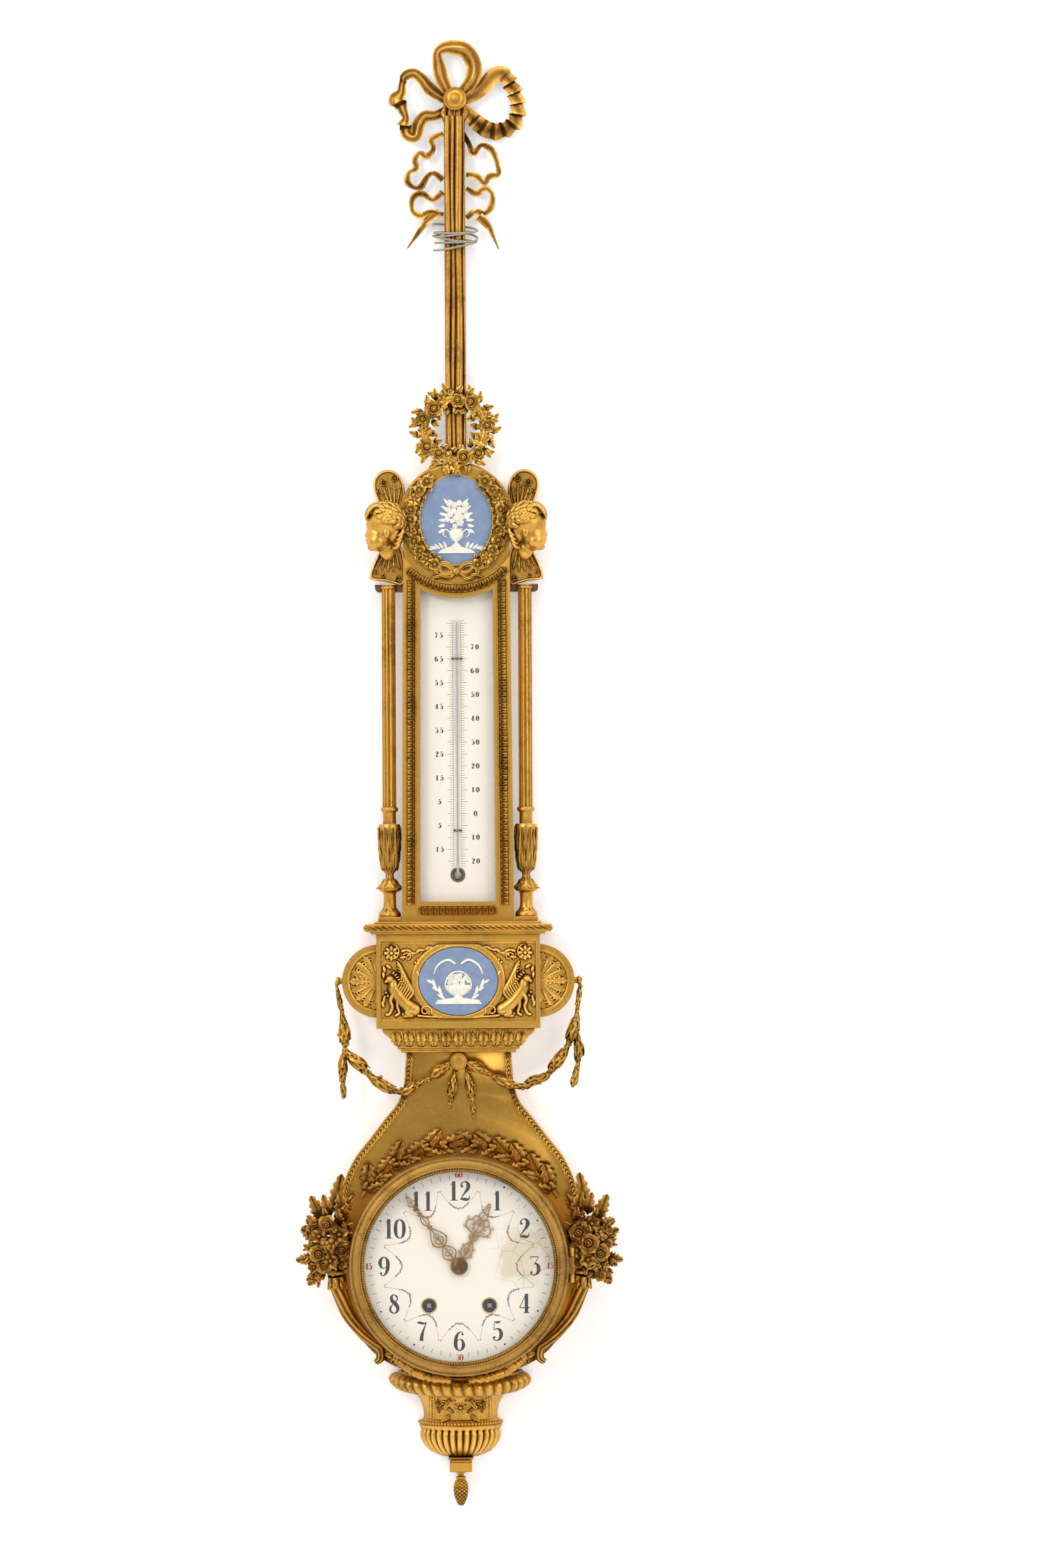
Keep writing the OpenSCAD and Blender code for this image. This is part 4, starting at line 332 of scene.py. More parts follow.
class Relief:
    """Heights over a rectangle, raised by rounded strokes and mounds."""

    def __init__(self, x0, x1, z0, z1, step=0.35):
        self.x, self.z = np.arange(x0, x1 + step / 2, step), np.arange(z0, z1 + step / 2, step)
        self.h = np.zeros((len(self.z), len(self.x)))
        self.step = step

    def _window(self, x0, x1, z0, z1):
        """The rows and columns that a rectangle covers, with their x and z."""
        i = slice(max(0, int((x0 - self.x[0]) / self.step)), max(0, int((x1 - self.x[0]) / self.step) + 2))
        j = slice(max(0, int((z0 - self.z[0]) / self.step)), max(0, int((z1 - self.z[0]) / self.step) + 2))
        return j, i, self.x[i][None, :], self.z[j][:, None]

    def stroke(self, points, steps=6):
        """A rounded ridge along a path of x, z, half width and height."""
        c = catmull(points, steps) if len(points) > 2 else np.asarray(points, float)
        for a, b in zip(c[:-1], c[1:]):
            r = max(a[2], b[2])
            j, i, x, z = self._window(min(a[0], b[0]) - r, max(a[0], b[0]) + r, min(a[1], b[1]) - r,
                                      max(a[1], b[1]) + r)
            if x.size == 0 or z.size == 0:
                continue
            d = b[:2] - a[:2]
            t = np.clip(((x - a[0]) * d[0] + (z - a[1]) * d[1]) / max(d @ d, 1e-9), 0, 1)
            far = (x - a[0] - t * d[0]) ** 2 + (z - a[1] - t * d[1]) ** 2
            w, tall = a[2] + (b[2] - a[2]) * t, a[3] + (b[3] - a[3]) * t
            self.h[j, i] = np.maximum(self.h[j, i], tall * np.sqrt(np.clip(1 - far / w**2, 0, 1)))

    def mound(self, x0, z0, rx, rz, tall, turn=0):
        """A rounded oval hill."""
        r = max(rx, rz)
        j, i, x, z = self._window(x0 - r, x0 + r, z0 - r, z0 + r)
        if x.size == 0 or z.size == 0:
            return
        a = math.radians(turn)
        u = (x - x0) * math.cos(a) + (z - z0) * math.sin(a)
        v = -(x - x0) * math.sin(a) + (z - z0) * math.cos(a)
        hill = tall * np.sqrt(np.clip(1 - (u / rx) ** 2 - (v / rz) ** 2, 0, 1))
        self.h[j, i] = np.maximum(self.h[j, i], hill)

    def frond(self, x, z, length, wide, tall, turn):
        """A small leaf with a rib."""
        a = math.radians(turn)
        c, s = math.cos(a), math.sin(a)
        mid = [(x + length * k * c, z + length * k * s) for k in (0, 0.35, 0.7, 1)]
        self.stroke([(*mid[0], 0.25 * wide, 0.5 * tall), (*mid[1], wide, tall), (*mid[2], 0.8 * wide, tall),
                     (*mid[3], 0.15 * wide, 0.4 * tall)], 4)

    def curl(self, x, z, r, start, turns, wide, tall):
        """A scroll that winds inwards."""
        n = int(9 * abs(turns)) + 3
        path = []
        for k in range(n):
            t = k / (n - 1)
            a, q = math.radians(start) + 2 * math.pi * turns * t, r * (1 - 0.78 * t)
            path.append((x + q * math.cos(a), z + q * math.sin(a), wide * (1 - 0.35 * t), tall))
        self.stroke(path, 3)

    def hollow(self):
        """How deep each place lies against what is near it, used as painted shade in the hollows and, below
        zero, a painted highlight on what stands up.
        """
        soft = self.h.copy()
        for _ in range(7):
            e = np.pad(soft, 1, mode="edge")
            soft = (e[1:-1, 1:-1] * 2 + e[:-2, 1:-1] + e[2:, 1:-1] + e[1:-1, :-2] + e[1:-1, 2:]) / 6
        return np.clip((soft - self.h) * 2.2, -0.6, 1)

    def read(self, x, z, field):
        """Values of a field between its grid points."""
        u = np.clip((x - self.x[0]) / self.step, 0, len(self.x) - 1.001)
        v = np.clip((z - self.z[0]) / self.step, 0, len(self.z) - 1.001)
        i, j = u.astype(int), v.astype(int)
        u, v = u - i, v - j
        here = field[j, i] * (1 - u) + field[j, i + 1] * u
        above = field[j + 1, i] * (1 - u) + field[j + 1, i + 1] * u
        return here * (1 - v) + above * v

    def slab(self, low, high):
        """The whole rectangle as a closed slab."""
        m, n = self.h.shape
        x, z = np.meshgrid(self.x, self.z)
        top = np.stack([x, z, high + self.h], -1).reshape(-1, 3)
        i, j = np.arange(m - 1)[:, None] * n, np.arange(n - 1)[None, :]
        quads = np.stack([i + j, i + j + 1, i + n + j + 1, i + n + j], -1).reshape(-1, 4)
        rim = np.concatenate([np.arange(n), np.arange(1, m) * n + n - 1, (m - 1) * n
                              + np.arange(n - 2, -1, -1), np.arange(m - 2, 0, -1) * n])
        k = len(rim)
        below = top[rim] * [1, 1, 0] + [0, 0, low]
        base, a = m * n, np.arange(k)
        b = (a + 1) % k
        side = np.stack([base + a, base + b, rim[b], rim[a]], 1)
        mid = np.array([[x.mean(), z.mean(), low]])
        tris = np.stack([np.full(k, base + k), base + b, base + a], 1)
        deep = np.concatenate([self.hollow().ravel(), np.zeros(k + 1)])
        return Form(np.vstack([top, below, mid]), np.vstack([quads, side]), tris, deep)

    def plate(self, centre, outline, rows, low, base, edge=0.0):
        """The part inside an outline, seen from its centre, as a closed plate that stands on a base level."""
        c, o = np.asarray(centre, float), np.asarray(outline, float)
        s = np.linspace(0.02, 1, rows)[:, None, None]
        xz = c + s * (o - c)
        x, z = xz[..., 0], xz[..., 1]
        fall = edge * np.clip((s[..., 0] - 0.93) / 0.07, 0, 1) ** 2
        h = base + self.read(x, z, self.h) - fall
        deep = self.read(x, z, self.hollow())
        rings = np.stack([x, z, h], -1)
        floor = rings[-1].copy()
        floor[:, 2] = low
        under = floor.copy()
        under[:, :2] = c + 0.02 * (floor[:, :2] - c)
        zero = np.zeros((1, len(o)))
        return loft(np.concatenate([rings, floor[None], under[None]]), np.concatenate([deep, zero, zero]))


# Meshes


def world(points):
    """Points of the drawing frame in metres, in the scene's own axes."""
    p = np.asarray(points, float)
    return np.stack([p[:, 0], -p[:, 2], p[:, 1]], 1) / 1000


def mesh_of(name, form):
    """A mesh of a form, which keeps how deep each point lies in a hollow as the painted shade of its gilding.
    """
    mesh = bpy.data.meshes.new(name)
    mesh.from_pydata(world(form.p).tolist(), [], form.q.tolist() + form.t.tolist())
    mesh.attributes.new("hollow", "FLOAT", "POINT").data.foreach_set("value", form.d.astype(np.float32))
    mesh.update()
    return mesh


def finished(name, mesh, material, angle=50):
    """An object of the scene with its material, shaded smooth up to an angle."""
    obj = bpy.data.objects.new(name, mesh)
    bpy.context.scene.collection.objects.link(obj)
    mesh.materials.clear()
    mesh.materials.append(finish(material))
    mesh.shade_smooth()
    mesh.set_sharp_from_angle(angle=math.radians(angle))
    return obj


def piece(name, forms, material, body="root", instead=(), angle=50):
    """A finished piece that rides a body, and stands for frame nodes if any are named."""
    form = join(forms) if isinstance(forms, (list, tuple)) else forms
    obj = finished(name, mesh_of(name, form), material, angle)
    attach(obj, body)
    if instead:
        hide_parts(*instead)
    return obj


def eased(node, material, width=0.5, body="root", name=None, segments=2):
    """The frame's own node with its edges eased, as a piece that stands for it."""
    source = frame["nodes"][node]
    work = bmesh.new()
    work.from_mesh(source.data)
    bmesh.ops.remove_doubles(work, verts=work.verts, dist=2e-6)
    bmesh.ops.dissolve_limit(work, angle_limit=math.radians(1), verts=work.verts, edges=work.edges)
    mesh = bpy.data.meshes.new(name or node + "_dressed")
    work.to_mesh(mesh)
    work.free()
    obj = finished(name or node + "_dressed", mesh, material, 40)
    bevel = obj.modifiers.new("Eased edges", "BEVEL")
    bevel.width = width / 1000
    bevel.segments = segments
    bevel.limit_method = "ANGLE"
    bevel.angle_limit = math.radians(38)
    bevel.use_clamp_overlap = True
    bevel.harden_normals = True
    bake(obj)
    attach(obj, body)
    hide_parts(node)
    return obj


def bake(obj):
    """Puts the result of an object's modifiers into its mesh."""
    graph = bpy.context.evaluated_depsgraph_get()
    graph.update()
    mesh = bpy.data.meshes.new_from_object(obj.evaluated_get(graph), preserve_all_data_layers=True,
                                           depsgraph=graph)
    obj.modifiers.clear()
    obj.data = mesh
    return mesh


# Geometry trees


def node(tree, kind, links=(), **settings):
    """A node with its settings, and its inputs linked or set."""
    made = tree.nodes.new(kind)
    for key, value in settings.items():
        setattr(made, key, value)
    for key, value in dict(links).items():
        if isinstance(value, bpy.types.NodeSocket):
            tree.links.new(value, made.inputs[key])
        else:
            made.inputs[key].default_value = value
    return made


def growing_tree(name, inputs):
    """A geometry tree with named inputs. Gives the tree, its input node and its output node."""
    tree = bpy.data.node_groups.new(name, "GeometryNodeTree")
    tree.interface.new_socket("Geometry", in_out="INPUT", socket_type="NodeSocketGeometry")
    for label, kind, value in inputs:
        socket = tree.interface.new_socket(label, in_out="INPUT", socket_type=kind)
        if value is not None:
            socket.default_value = value
    tree.interface.new_socket("Geometry", in_out="OUTPUT", socket_type="NodeSocketGeometry")
    return tree, tree.nodes.new("NodeGroupInput"), tree.nodes.new("NodeGroupOutput")


def close_tree(tree, source, out, geometry, smooth=True):
    """Realizes, shades and paints what a tree has made."""
    real = node(tree, "GeometryNodeRealizeInstances", {0: geometry})
    shade = node(tree, "GeometryNodeSetShadeSmooth", {"Geometry": real.outputs[0], "Shade Smooth": smooth})
    paint = node(tree, "GeometryNodeSetMaterial",
                 {"Geometry": shade.outputs[0], "Material": source.outputs["Material"]})
    tree.links.new(paint.outputs[0], out.inputs[0])
    return tree


def moulding_tree():
    """Sets one tile after another along a path, upright on the surface."""
    tree, source, out = growing_tree("Moulding", [
        ("Tile", "NodeSocketObject", None), ("Count", "NodeSocketInt", 40),
        ("Out", "NodeSocketVector", (0, -1, 0)),
        ("Size", "NodeSocketFloat", 1.0), ("Material", "NodeSocketMaterial", None)])
    line = node(tree, "GeometryNodeMeshToCurve", {"Mesh": source.outputs["Geometry"]})
    spaced = node(tree, "GeometryNodeResampleCurve",
                  {"Curve": line.outputs[0], "Count": source.outputs["Count"]})
    tile = node(tree, "GeometryNodeObjectInfo", {"Object": source.outputs["Tile"]})
    stand = node(tree, "FunctionNodeAlignRotationToVector", {"Vector": source.outputs["Out"]}, axis="Z")
    run = node(tree, "GeometryNodeInputTangent")
    along = node(tree, "FunctionNodeAlignRotationToVector",
                 {"Rotation": stand.outputs[0], "Vector": run.outputs[0]}, axis="X", pivot_axis="Z")
    laid = node(tree, "GeometryNodeInstanceOnPoints", {
        "Points": spaced.outputs[0], "Instance": tile.outputs["Geometry"], "Rotation": along.outputs[0],
        "Scale": source.outputs["Size"]})
    return close_tree(tree, source, out, laid.outputs[0])


def rope_tree():
    """Sets leaves round a path in a spiral, larger where the path's girth is larger."""
    tree, source, out = growing_tree("Leaf rope", [
        ("Leaf", "NodeSocketObject", None), ("Count", "NodeSocketInt", 100),
        ("Turn", "NodeSocketFloat", 2.39996),
        ("Seed", "NodeSocketInt", 3), ("Material", "NodeSocketMaterial", None)])
    line = node(tree, "GeometryNodeMeshToCurve", {"Mesh": source.outputs["Geometry"]})
    spaced = node(tree, "GeometryNodeResampleCurve",
                  {"Curve": line.outputs[0], "Count": source.outputs["Count"]})
    leaf = node(tree, "GeometryNodeObjectInfo", {"Object": source.outputs["Leaf"]})
    run = node(tree, "GeometryNodeInputTangent")
    along = node(tree, "FunctionNodeAlignRotationToVector", {"Vector": run.outputs[0]}, axis="X")
    index = node(tree, "GeometryNodeInputIndex")
    angle = node(tree, "ShaderNodeMath", {0: index.outputs[0], 1: source.outputs["Turn"]},
                 operation="MULTIPLY")
    about = node(tree, "FunctionNodeAxisAngleToRotation", {"Axis": (1, 0, 0), "Angle": angle.outputs[0]})
    spun = node(tree, "FunctionNodeRotateRotation",
                {"Rotation": along.outputs[0], "Rotate By": about.outputs[0]}, rotation_space="LOCAL")
    girth = node(tree, "GeometryNodeInputNamedAttribute", {"Name": "girth"}, data_type="FLOAT")
    vary = node(tree, "FunctionNodeRandomValue", {"Min": 0.82, "Max": 1.12, "Seed": source.outputs["Seed"]},
                data_type="FLOAT")
    size = node(tree, "ShaderNodeMath", {0: girth.outputs[0], 1: vary.outputs[1]}, operation="MULTIPLY")
    laid = node(tree, "GeometryNodeInstanceOnPoints", {
        "Points": spaced.outputs[0], "Instance": leaf.outputs["Geometry"], "Rotation": spun.outputs[0],
        "Scale": size.outputs[0]})
    return close_tree(tree, source, out, laid.outputs[0])


def lobed_bar_tree():
    """A bar along a path whose section has round lobes or flutes, and which may be twisted."""
    tree, source, out = growing_tree("Lobed bar", [
        ("Radius", "NodeSocketFloat", 0.005), ("Lobes", "NodeSocketInt", 12),
        ("Depth", "NodeSocketFloat", 0.15),
        ("Twist", "NodeSocketFloat", 0.0), ("Rim points", "NodeSocketInt", 96),
        ("Material", "NodeSocketMaterial", None)])
    rim = node(tree, "GeometryNodeCurvePrimitiveCircle",
            {"Resolution": source.outputs["Rim points"], "Radius": source.outputs["Radius"]}, mode="RADIUS")
    place = node(tree, "GeometryNodeInputPosition")
    parts = node(tree, "ShaderNodeSeparateXYZ", {0: place.outputs[0]})
    angle = node(tree, "ShaderNodeMath", {0: parts.outputs[1], 1: parts.outputs[0]}, operation="ARCTAN2")
    many = node(tree, "ShaderNodeMath", {0: angle.outputs[0], 1: source.outputs["Lobes"]},
                operation="MULTIPLY")
    wave = node(tree, "ShaderNodeMath", {0: many.outputs[0]}, operation="COSINE")
    cut = node(tree, "ShaderNodeMath", {0: wave.outputs[0], 1: 0.0}, operation="MAXIMUM")
    soft = node(tree, "ShaderNodeMath", {0: cut.outputs[0], 1: 0.6}, operation="POWER")
    deep = node(tree, "ShaderNodeMath", {0: soft.outputs[0], 1: source.outputs["Depth"]},
                operation="MULTIPLY")
    share = node(tree, "ShaderNodeMath", {0: 1.0, 1: deep.outputs[0]}, operation="SUBTRACT")
    moved = node(tree, "ShaderNodeVectorMath", {0: place.outputs[0], "Scale": share.outputs[0]},
                 operation="SCALE")
    section = node(tree, "GeometryNodeSetPosition",
                   {"Geometry": rim.outputs[0], "Position": moved.outputs[0]})
    line = node(tree, "GeometryNodeMeshToCurve", {"Mesh": source.outputs["Geometry"]})
    run = node(tree, "GeometryNodeSplineParameter")
    twist = node(tree, "ShaderNodeMath", {0: run.outputs["Length"], 1: source.outputs["Twist"]},
                 operation="MULTIPLY")
    tilted = node(tree, "GeometryNodeSetCurveTilt", {"Curve": line.outputs[0], "Tilt": twist.outputs[0]})
    bar = node(tree, "GeometryNodeCurveToMesh",
               {"Curve": tilted.outputs[0], "Profile Curve": section.outputs[0], "Fill Caps": True})
    return close_tree(tree, source, out, bar.outputs[0], True)


TREES = {}


def grown(name, paths, kind, values, material, body="root", instead=(), closed=False, angle=55):
    """Runs a geometry tree over paths of x, z, h and girth, and makes its result a plain piece."""
    if kind not in TREES:
        TREES[kind] = {"moulding": moulding_tree, "rope": rope_tree, "bar": lobed_bar_tree}[kind]()
    tree = TREES[kind]
    points, edges, girth = [], [], []
    for path in paths:
        path, base = np.asarray(path, float), len(points)
        points += world(path[:, :3]).tolist()
        girth += (path[:, 3] if path.shape[1] > 3 else np.ones(len(path))).tolist()
        edges += [(base + k, base + k + 1) for k in range(len(path) - 1)]
        if closed:
            edges.append((base + len(path) - 1, base))
    line = bpy.data.meshes.new(name)
    line.from_pydata(points, edges, [])
    line.attributes.new("girth", "FLOAT", "POINT").data.foreach_set("value", girth)
    obj = bpy.data.objects.new(name, line)
    bpy.context.scene.collection.objects.link(obj)
    grow = obj.modifiers.new("Grow", "NODES")
    grow.node_group = tree
    tiles = [value for value in values.values() if isinstance(value, bpy.types.Object)]
    for item in tree.interface.items_tree:
        if item.item_type == "SOCKET" and item.in_out == "INPUT" and item.name in values:
            grow[item.identifier] = values[item.name]
        elif item.item_type == "SOCKET" and item.in_out == "INPUT" and item.name == "Material":
            grow[item.identifier] = finish(material)
    mesh = bake(obj)
    mesh.set_sharp_from_angle(angle=math.radians(angle))
    for tile in tiles:
        if not tile.name.startswith("kept"):
            bpy.data.objects.remove(tile)
    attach(obj, body)
    if instead:
        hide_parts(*instead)
    return obj


def tile_of(name, form):
    """A small object for a tree to repeat. Its x runs along the path and its h off the surface."""
    mesh = bpy.data.meshes.new(name)
    mesh.from_pydata((form.p / 1000).tolist(), [], form.q.tolist() + form.t.tolist())
    # Each point's painted shade goes into the hollow attribute.
    mesh.attributes.new("hollow", "FLOAT", "POINT").data.foreach_set("value", form.d.astype(np.float32))
    mesh.update()
    obj = bpy.data.objects.new(name, mesh)
    bpy.context.scene.collection.objects.link(obj)
    return obj


# Finishes


def effect(name, inputs, outputs):
    """A shared shader effect. Gives its tree, its input node and its output node."""
    tree = bpy.data.node_groups.new(name, "ShaderNodeTree")
    for label, kind, value in inputs:
        tree.interface.new_socket(label, in_out="INPUT", socket_type=kind).default_value = value
    for label, kind in outputs:
        tree.interface.new_socket(label, in_out="OUTPUT", socket_type=kind)
    return tree, tree.nodes.new("NodeGroupInput"), tree.nodes.new("NodeGroupOutput")


COLOUR, VALUE, VECTOR = "NodeSocketColor", "NodeSocketFloat", "NodeSocketVector"
EFFECTS = {}


def calc(tree, operation, *values, clamp=False):
    """The result of a sum in a tree."""
    return node(tree, "ShaderNodeMath", dict(enumerate(values)), operation=operation,
                use_clamp=clamp).outputs[0]


def noise(tree, place, scale, detail=3.0, rough=0.55):
    """A cloudy value over a place."""
    return node(tree, "ShaderNodeTexNoise", {"Vector": place, "Scale": scale, "Detail": detail,
                                             "Roughness": rough}).outputs[0]


def mixed(tree, share, a, b):
    """A colour between two."""
    return node(tree, "ShaderNodeMix", {0: share, 6: a, 7: b}, data_type="RGBA").outputs[2]


def ramped(tree, value, low, high, to_low=0.0, to_high=1.0):
    """A value between two limits, brought to other limits with a soft start and end."""
    return node(tree, "ShaderNodeMapRange", {0: value, 1: low, 2: high, 3: to_low, 4: to_high},
                interpolation_type="SMOOTHSTEP").outputs[0]


def bumped(tree, height, strength, distance):
    """Normals that follow a height."""
    return node(tree, "ShaderNodeBump", {"Strength": strength, "Distance": distance,
                                         "Height": height}).outputs[0]


def gilding_effect():
    """Old gilding: a painted highlight on the ridges with rubbed bright patches, painted shade with the
    patina in the hollows, mottled brown between.
    """
    tree, source, out = effect("Aged gilding", [
        ("Tone", COLOUR, (0.5, 0.3, 0.08, 1)), ("Bright tone", COLOUR, (0.9, 0.65, 0.3, 1)),
        ("Dark tone", COLOUR, (0.1, 0.05, 0.01, 1)),
        ("Brown", VALUE, 0.4), ("Polish", VALUE, 0.35), ("Grain", VALUE, 0.25)],
                               [("Colour", COLOUR), ("Roughness", VALUE), ("Normal", VECTOR)])
    place = node(tree, "ShaderNodeTexCoord").outputs["Object"]
    broad, fine, grain = noise(tree, place, 34, 3, 0.6), noise(tree, place, 380, 3, 0.65), noise(tree,
            place, 1700, 2)
    hollow = node(tree, "ShaderNodeAttribute", attribute_name="hollow").outputs["Fac"]
    # Painted shade: an occlusion node finds where nearby parts close round each point.
    open_sky = node(tree, "ShaderNodeAmbientOcclusion", {"Distance": 0.006}, samples=8).outputs["AO"]
    occlusion_shade = calc(tree, "SUBTRACT", 1.0, open_sky, clamp=True)
    patchy = calc(tree, "MULTIPLY", ramped(tree,
            calc(tree, "ADD", calc(tree, "MULTIPLY", broad, 0.6), calc(tree, "MULTIPLY", fine, 0.4)), 0.46,
            0.66), source.outputs["Brown"])
    # Painted shade in the hollows, from the hollow attribute and the occlusion, joins the brown patches and
    # darkens the gilt towards the dark tone.
    cut = calc(tree, "MULTIPLY", calc(tree, "MAXIMUM", hollow, 0.0), 0.85)
    deep = calc(tree, "ADD", calc(tree, "ADD", cut, calc(tree, "MULTIPLY", occlusion_shade, 0.88)), patchy, clamp=True)
    # Painted highlight: where the hollow attribute is below zero, on ridges and leaf edges, the gilt lightens
    # towards the bright tone, with random rubbed patches.
    ridge = calc(tree, "MULTIPLY", calc(tree, "MAXIMUM", calc(tree, "MULTIPLY", hollow, -1.0), 0.0), 1.3)
    ridge_highlight_and_rub = calc(tree, "ADD", ridge, ramped(tree, fine, 0.5, 0.78, 0.0, 0.45), clamp=True)
    tone = mixed(tree, ridge_highlight_and_rub, source.outputs["Tone"], source.outputs["Bright tone"])
    tree.links.new(mixed(tree, deep, tone, source.outputs["Dark tone"]), out.inputs["Colour"])
    rough = calc(tree, "ADD", source.outputs["Polish"],
                 calc(tree, "ADD", calc(tree, "MULTIPLY", deep, 0.3), calc(tree, "MULTIPLY", broad, 0.12)),
                 clamp=True)
    tree.links.new(rough, out.inputs["Roughness"])
    height = calc(tree, "ADD", fine, calc(tree, "MULTIPLY", grain, 0.5))
    tree.links.new(bumped(tree, height, source.outputs["Grain"], 0.0004), out.inputs["Normal"])
    return tree


def enamel_effect():
    """Old enamel: hair cracks in one part and a faint stain."""
    tree, source, out = effect("Old enamel", [
        ("Tone", COLOUR, (0.85, 0.84, 0.78, 1)), ("Stain", COLOUR, (0.6, 0.5, 0.3, 1)),
        ("Stain place", VECTOR, (0, 0, 0)),
        ("Stain reach", VALUE, 0.03), ("Cracks", VALUE, 0.5)], [("Colour", COLOUR), ("Normal", VECTOR)])
    place = node(tree, "ShaderNodeTexCoord").outputs["Object"]
    broad, fine = noise(tree, place, 60, 3, 0.6), noise(tree, place, 300, 3, 0.6)
    away = node(tree, "ShaderNodeVectorMath", {0: place, 1: source.outputs["Stain place"]},
                operation="DISTANCE").outputs["Value"]
    near = calc(tree, "SUBTRACT", 1.0, ramped(tree,
            calc(tree, "DIVIDE", away, source.outputs["Stain reach"]), 0.3, 1.0), clamp=True)
    cell = node(tree, "ShaderNodeTexVoronoi", {"Vector": place, "Scale": 46.0, "Randomness": 1.0},
                feature="DISTANCE_TO_EDGE").outputs["Distance"]
    line = calc(tree, "MULTIPLY", calc(tree, "SUBTRACT", 1.0, ramped(tree, cell, 0.004, 0.02), clamp=True),
                calc(tree, "MULTIPLY", near, source.outputs["Cracks"]))
    soil = calc(tree, "MULTIPLY", ramped(tree, calc(tree, "MULTIPLY", broad, calc(tree, "ADD", near, 0.35)),
                                         0.3, 0.75), 0.55)
    tint = mixed(tree, calc(tree, "ADD", soil, line, clamp=True), source.outputs["Tone"],
                 source.outputs["Stain"])
    tree.links.new(tint, out.inputs["Colour"])
    tree.links.new(bumped(tree, fine, 0.04, 0.0003), out.inputs["Normal"])
    return tree


def patchy_effect():
    """A matt ground with lighter and darker patches and a fine grain, drawn out along one direction."""
    tree, source, out = effect("Patchy ground", [
        ("Tone", COLOUR, (0.2, 0.25, 0.45, 1)), ("Other tone", COLOUR, (0.35, 0.4, 0.6, 1)),
        ("Stretch", VECTOR, (1, 1, 1)),
        ("Scale", VALUE, 90.0), ("Grain", VALUE, 0.1)], [("Colour", COLOUR), ("Normal", VECTOR)])
    place = node(tree, "ShaderNodeTexCoord").outputs["Object"]
    drawn = node(tree, "ShaderNodeVectorMath", {0: place, 1: source.outputs["Stretch"]},
                 operation="MULTIPLY").outputs[0]
    broad = noise(tree, drawn, source.outputs["Scale"], 4, 0.6)
    fine = noise(tree, drawn, calc(tree, "MULTIPLY", source.outputs["Scale"], 14.0), 2)
    share = ramped(tree, calc(tree, "ADD", calc(tree, "MULTIPLY", broad, 0.75),
                              calc(tree, "MULTIPLY", fine, 0.25)), 0.4, 0.66)
    tree.links.new(mixed(tree, share, source.outputs["Tone"], source.outputs["Other tone"]),
                   out.inputs["Colour"])
    tree.links.new(bumped(tree, fine, source.outputs["Grain"], 0.0003), out.inputs["Normal"])
    return tree


def with_effect(tree, name, make, **values):
    """A shared effect placed in a material's tree with its inputs set."""
    if name not in EFFECTS:
        EFFECTS[name] = make()
    made = node(tree, "ShaderNodeGroup", (), node_tree=EFFECTS[name])
    for key, value in values.items():
        made.inputs[key.replace("_", " ").capitalize()].default_value = value
    return made.outputs


def surface(name, colour=None, metal=0.0, rough=0.5, **constants):
    """A new material with its surface node set by constants."""
    material = bpy.data.materials.new(name)
    material.use_nodes = True
    tree = material.node_tree
    shader = next(n for n in tree.nodes if n.type == "BSDF_PRINCIPLED")
    if colour is not None:
        shader.inputs["Base Color"].default_value = (*colour, 1)
        material.diffuse_color = (*colour, 1)
    shader.inputs["Metallic"].default_value = metal
    shader.inputs["Roughness"].default_value = rough
    for key, value in constants.items():
        shader.inputs[key.replace("_", " ").title().replace("Ior", "IOR")].default_value = value
    return material, tree, shader


def linear(*rgb):
    """Light values of a colour given as it looks, from 0 to 255."""
    return tuple(((c / 255 + 0.055) / 1.055) ** 2.4 if c > 10 else c / 255 / 12.92 for c in rgb)


def gilded(name, tone, bright, dark, brown, polish, grain):
    """A metal with the aged gilding's effect."""
    material, tree, shader = surface(name, tone, 1.0)
    made = with_effect(tree, "gilding", gilding_effect, tone=(*tone, 1), bright_tone=(*bright, 1),
                       dark_tone=(*dark, 1), brown=brown, polish=polish, grain=grain)
    for key, socket in (("Colour", "Base Color"), ("Roughness", "Roughness"), ("Normal", "Normal")):
        tree.links.new(made[key], shader.inputs[socket])
    return material


def enamelled(name, tone, stain, place, reach, cracks):
    """A glossy enamel with the old enamel's effect."""
    material, tree, shader = surface(name, tone, 0.0, 0.22, coat_weight=0.4, coat_roughness=0.08)
    made = with_effect(tree, "enamel", enamel_effect, tone=(*tone, 1), stain=(*stain, 1), stain_place=place,
                       stain_reach=reach, cracks=cracks)
    tree.links.new(made["Colour"], shader.inputs["Base Color"])
    tree.links.new(made["Normal"], shader.inputs["Normal"])
    return material


def patched(name, tone, other, stretch, scale, grain, rough):
    """A matt material with the patchy ground's effect."""
    material, tree, shader = surface(name, tone, 0.0, rough)
    made = with_effect(tree, "patchy", patchy_effect, tone=(*tone, 1), other_tone=(*other, 1),
                       stretch=stretch, scale=scale, grain=grain)
    tree.links.new(made["Colour"], shader.inputs["Base Color"])
    tree.links.new(made["Normal"], shader.inputs["Normal"])
    return material


def clear(name, tint, alpha, rough):
    """A thin clear glass."""
    material = surface(name, tint, 0.0, rough, alpha=alpha)[0]
    material.use_transparent_shadow = True
    return material


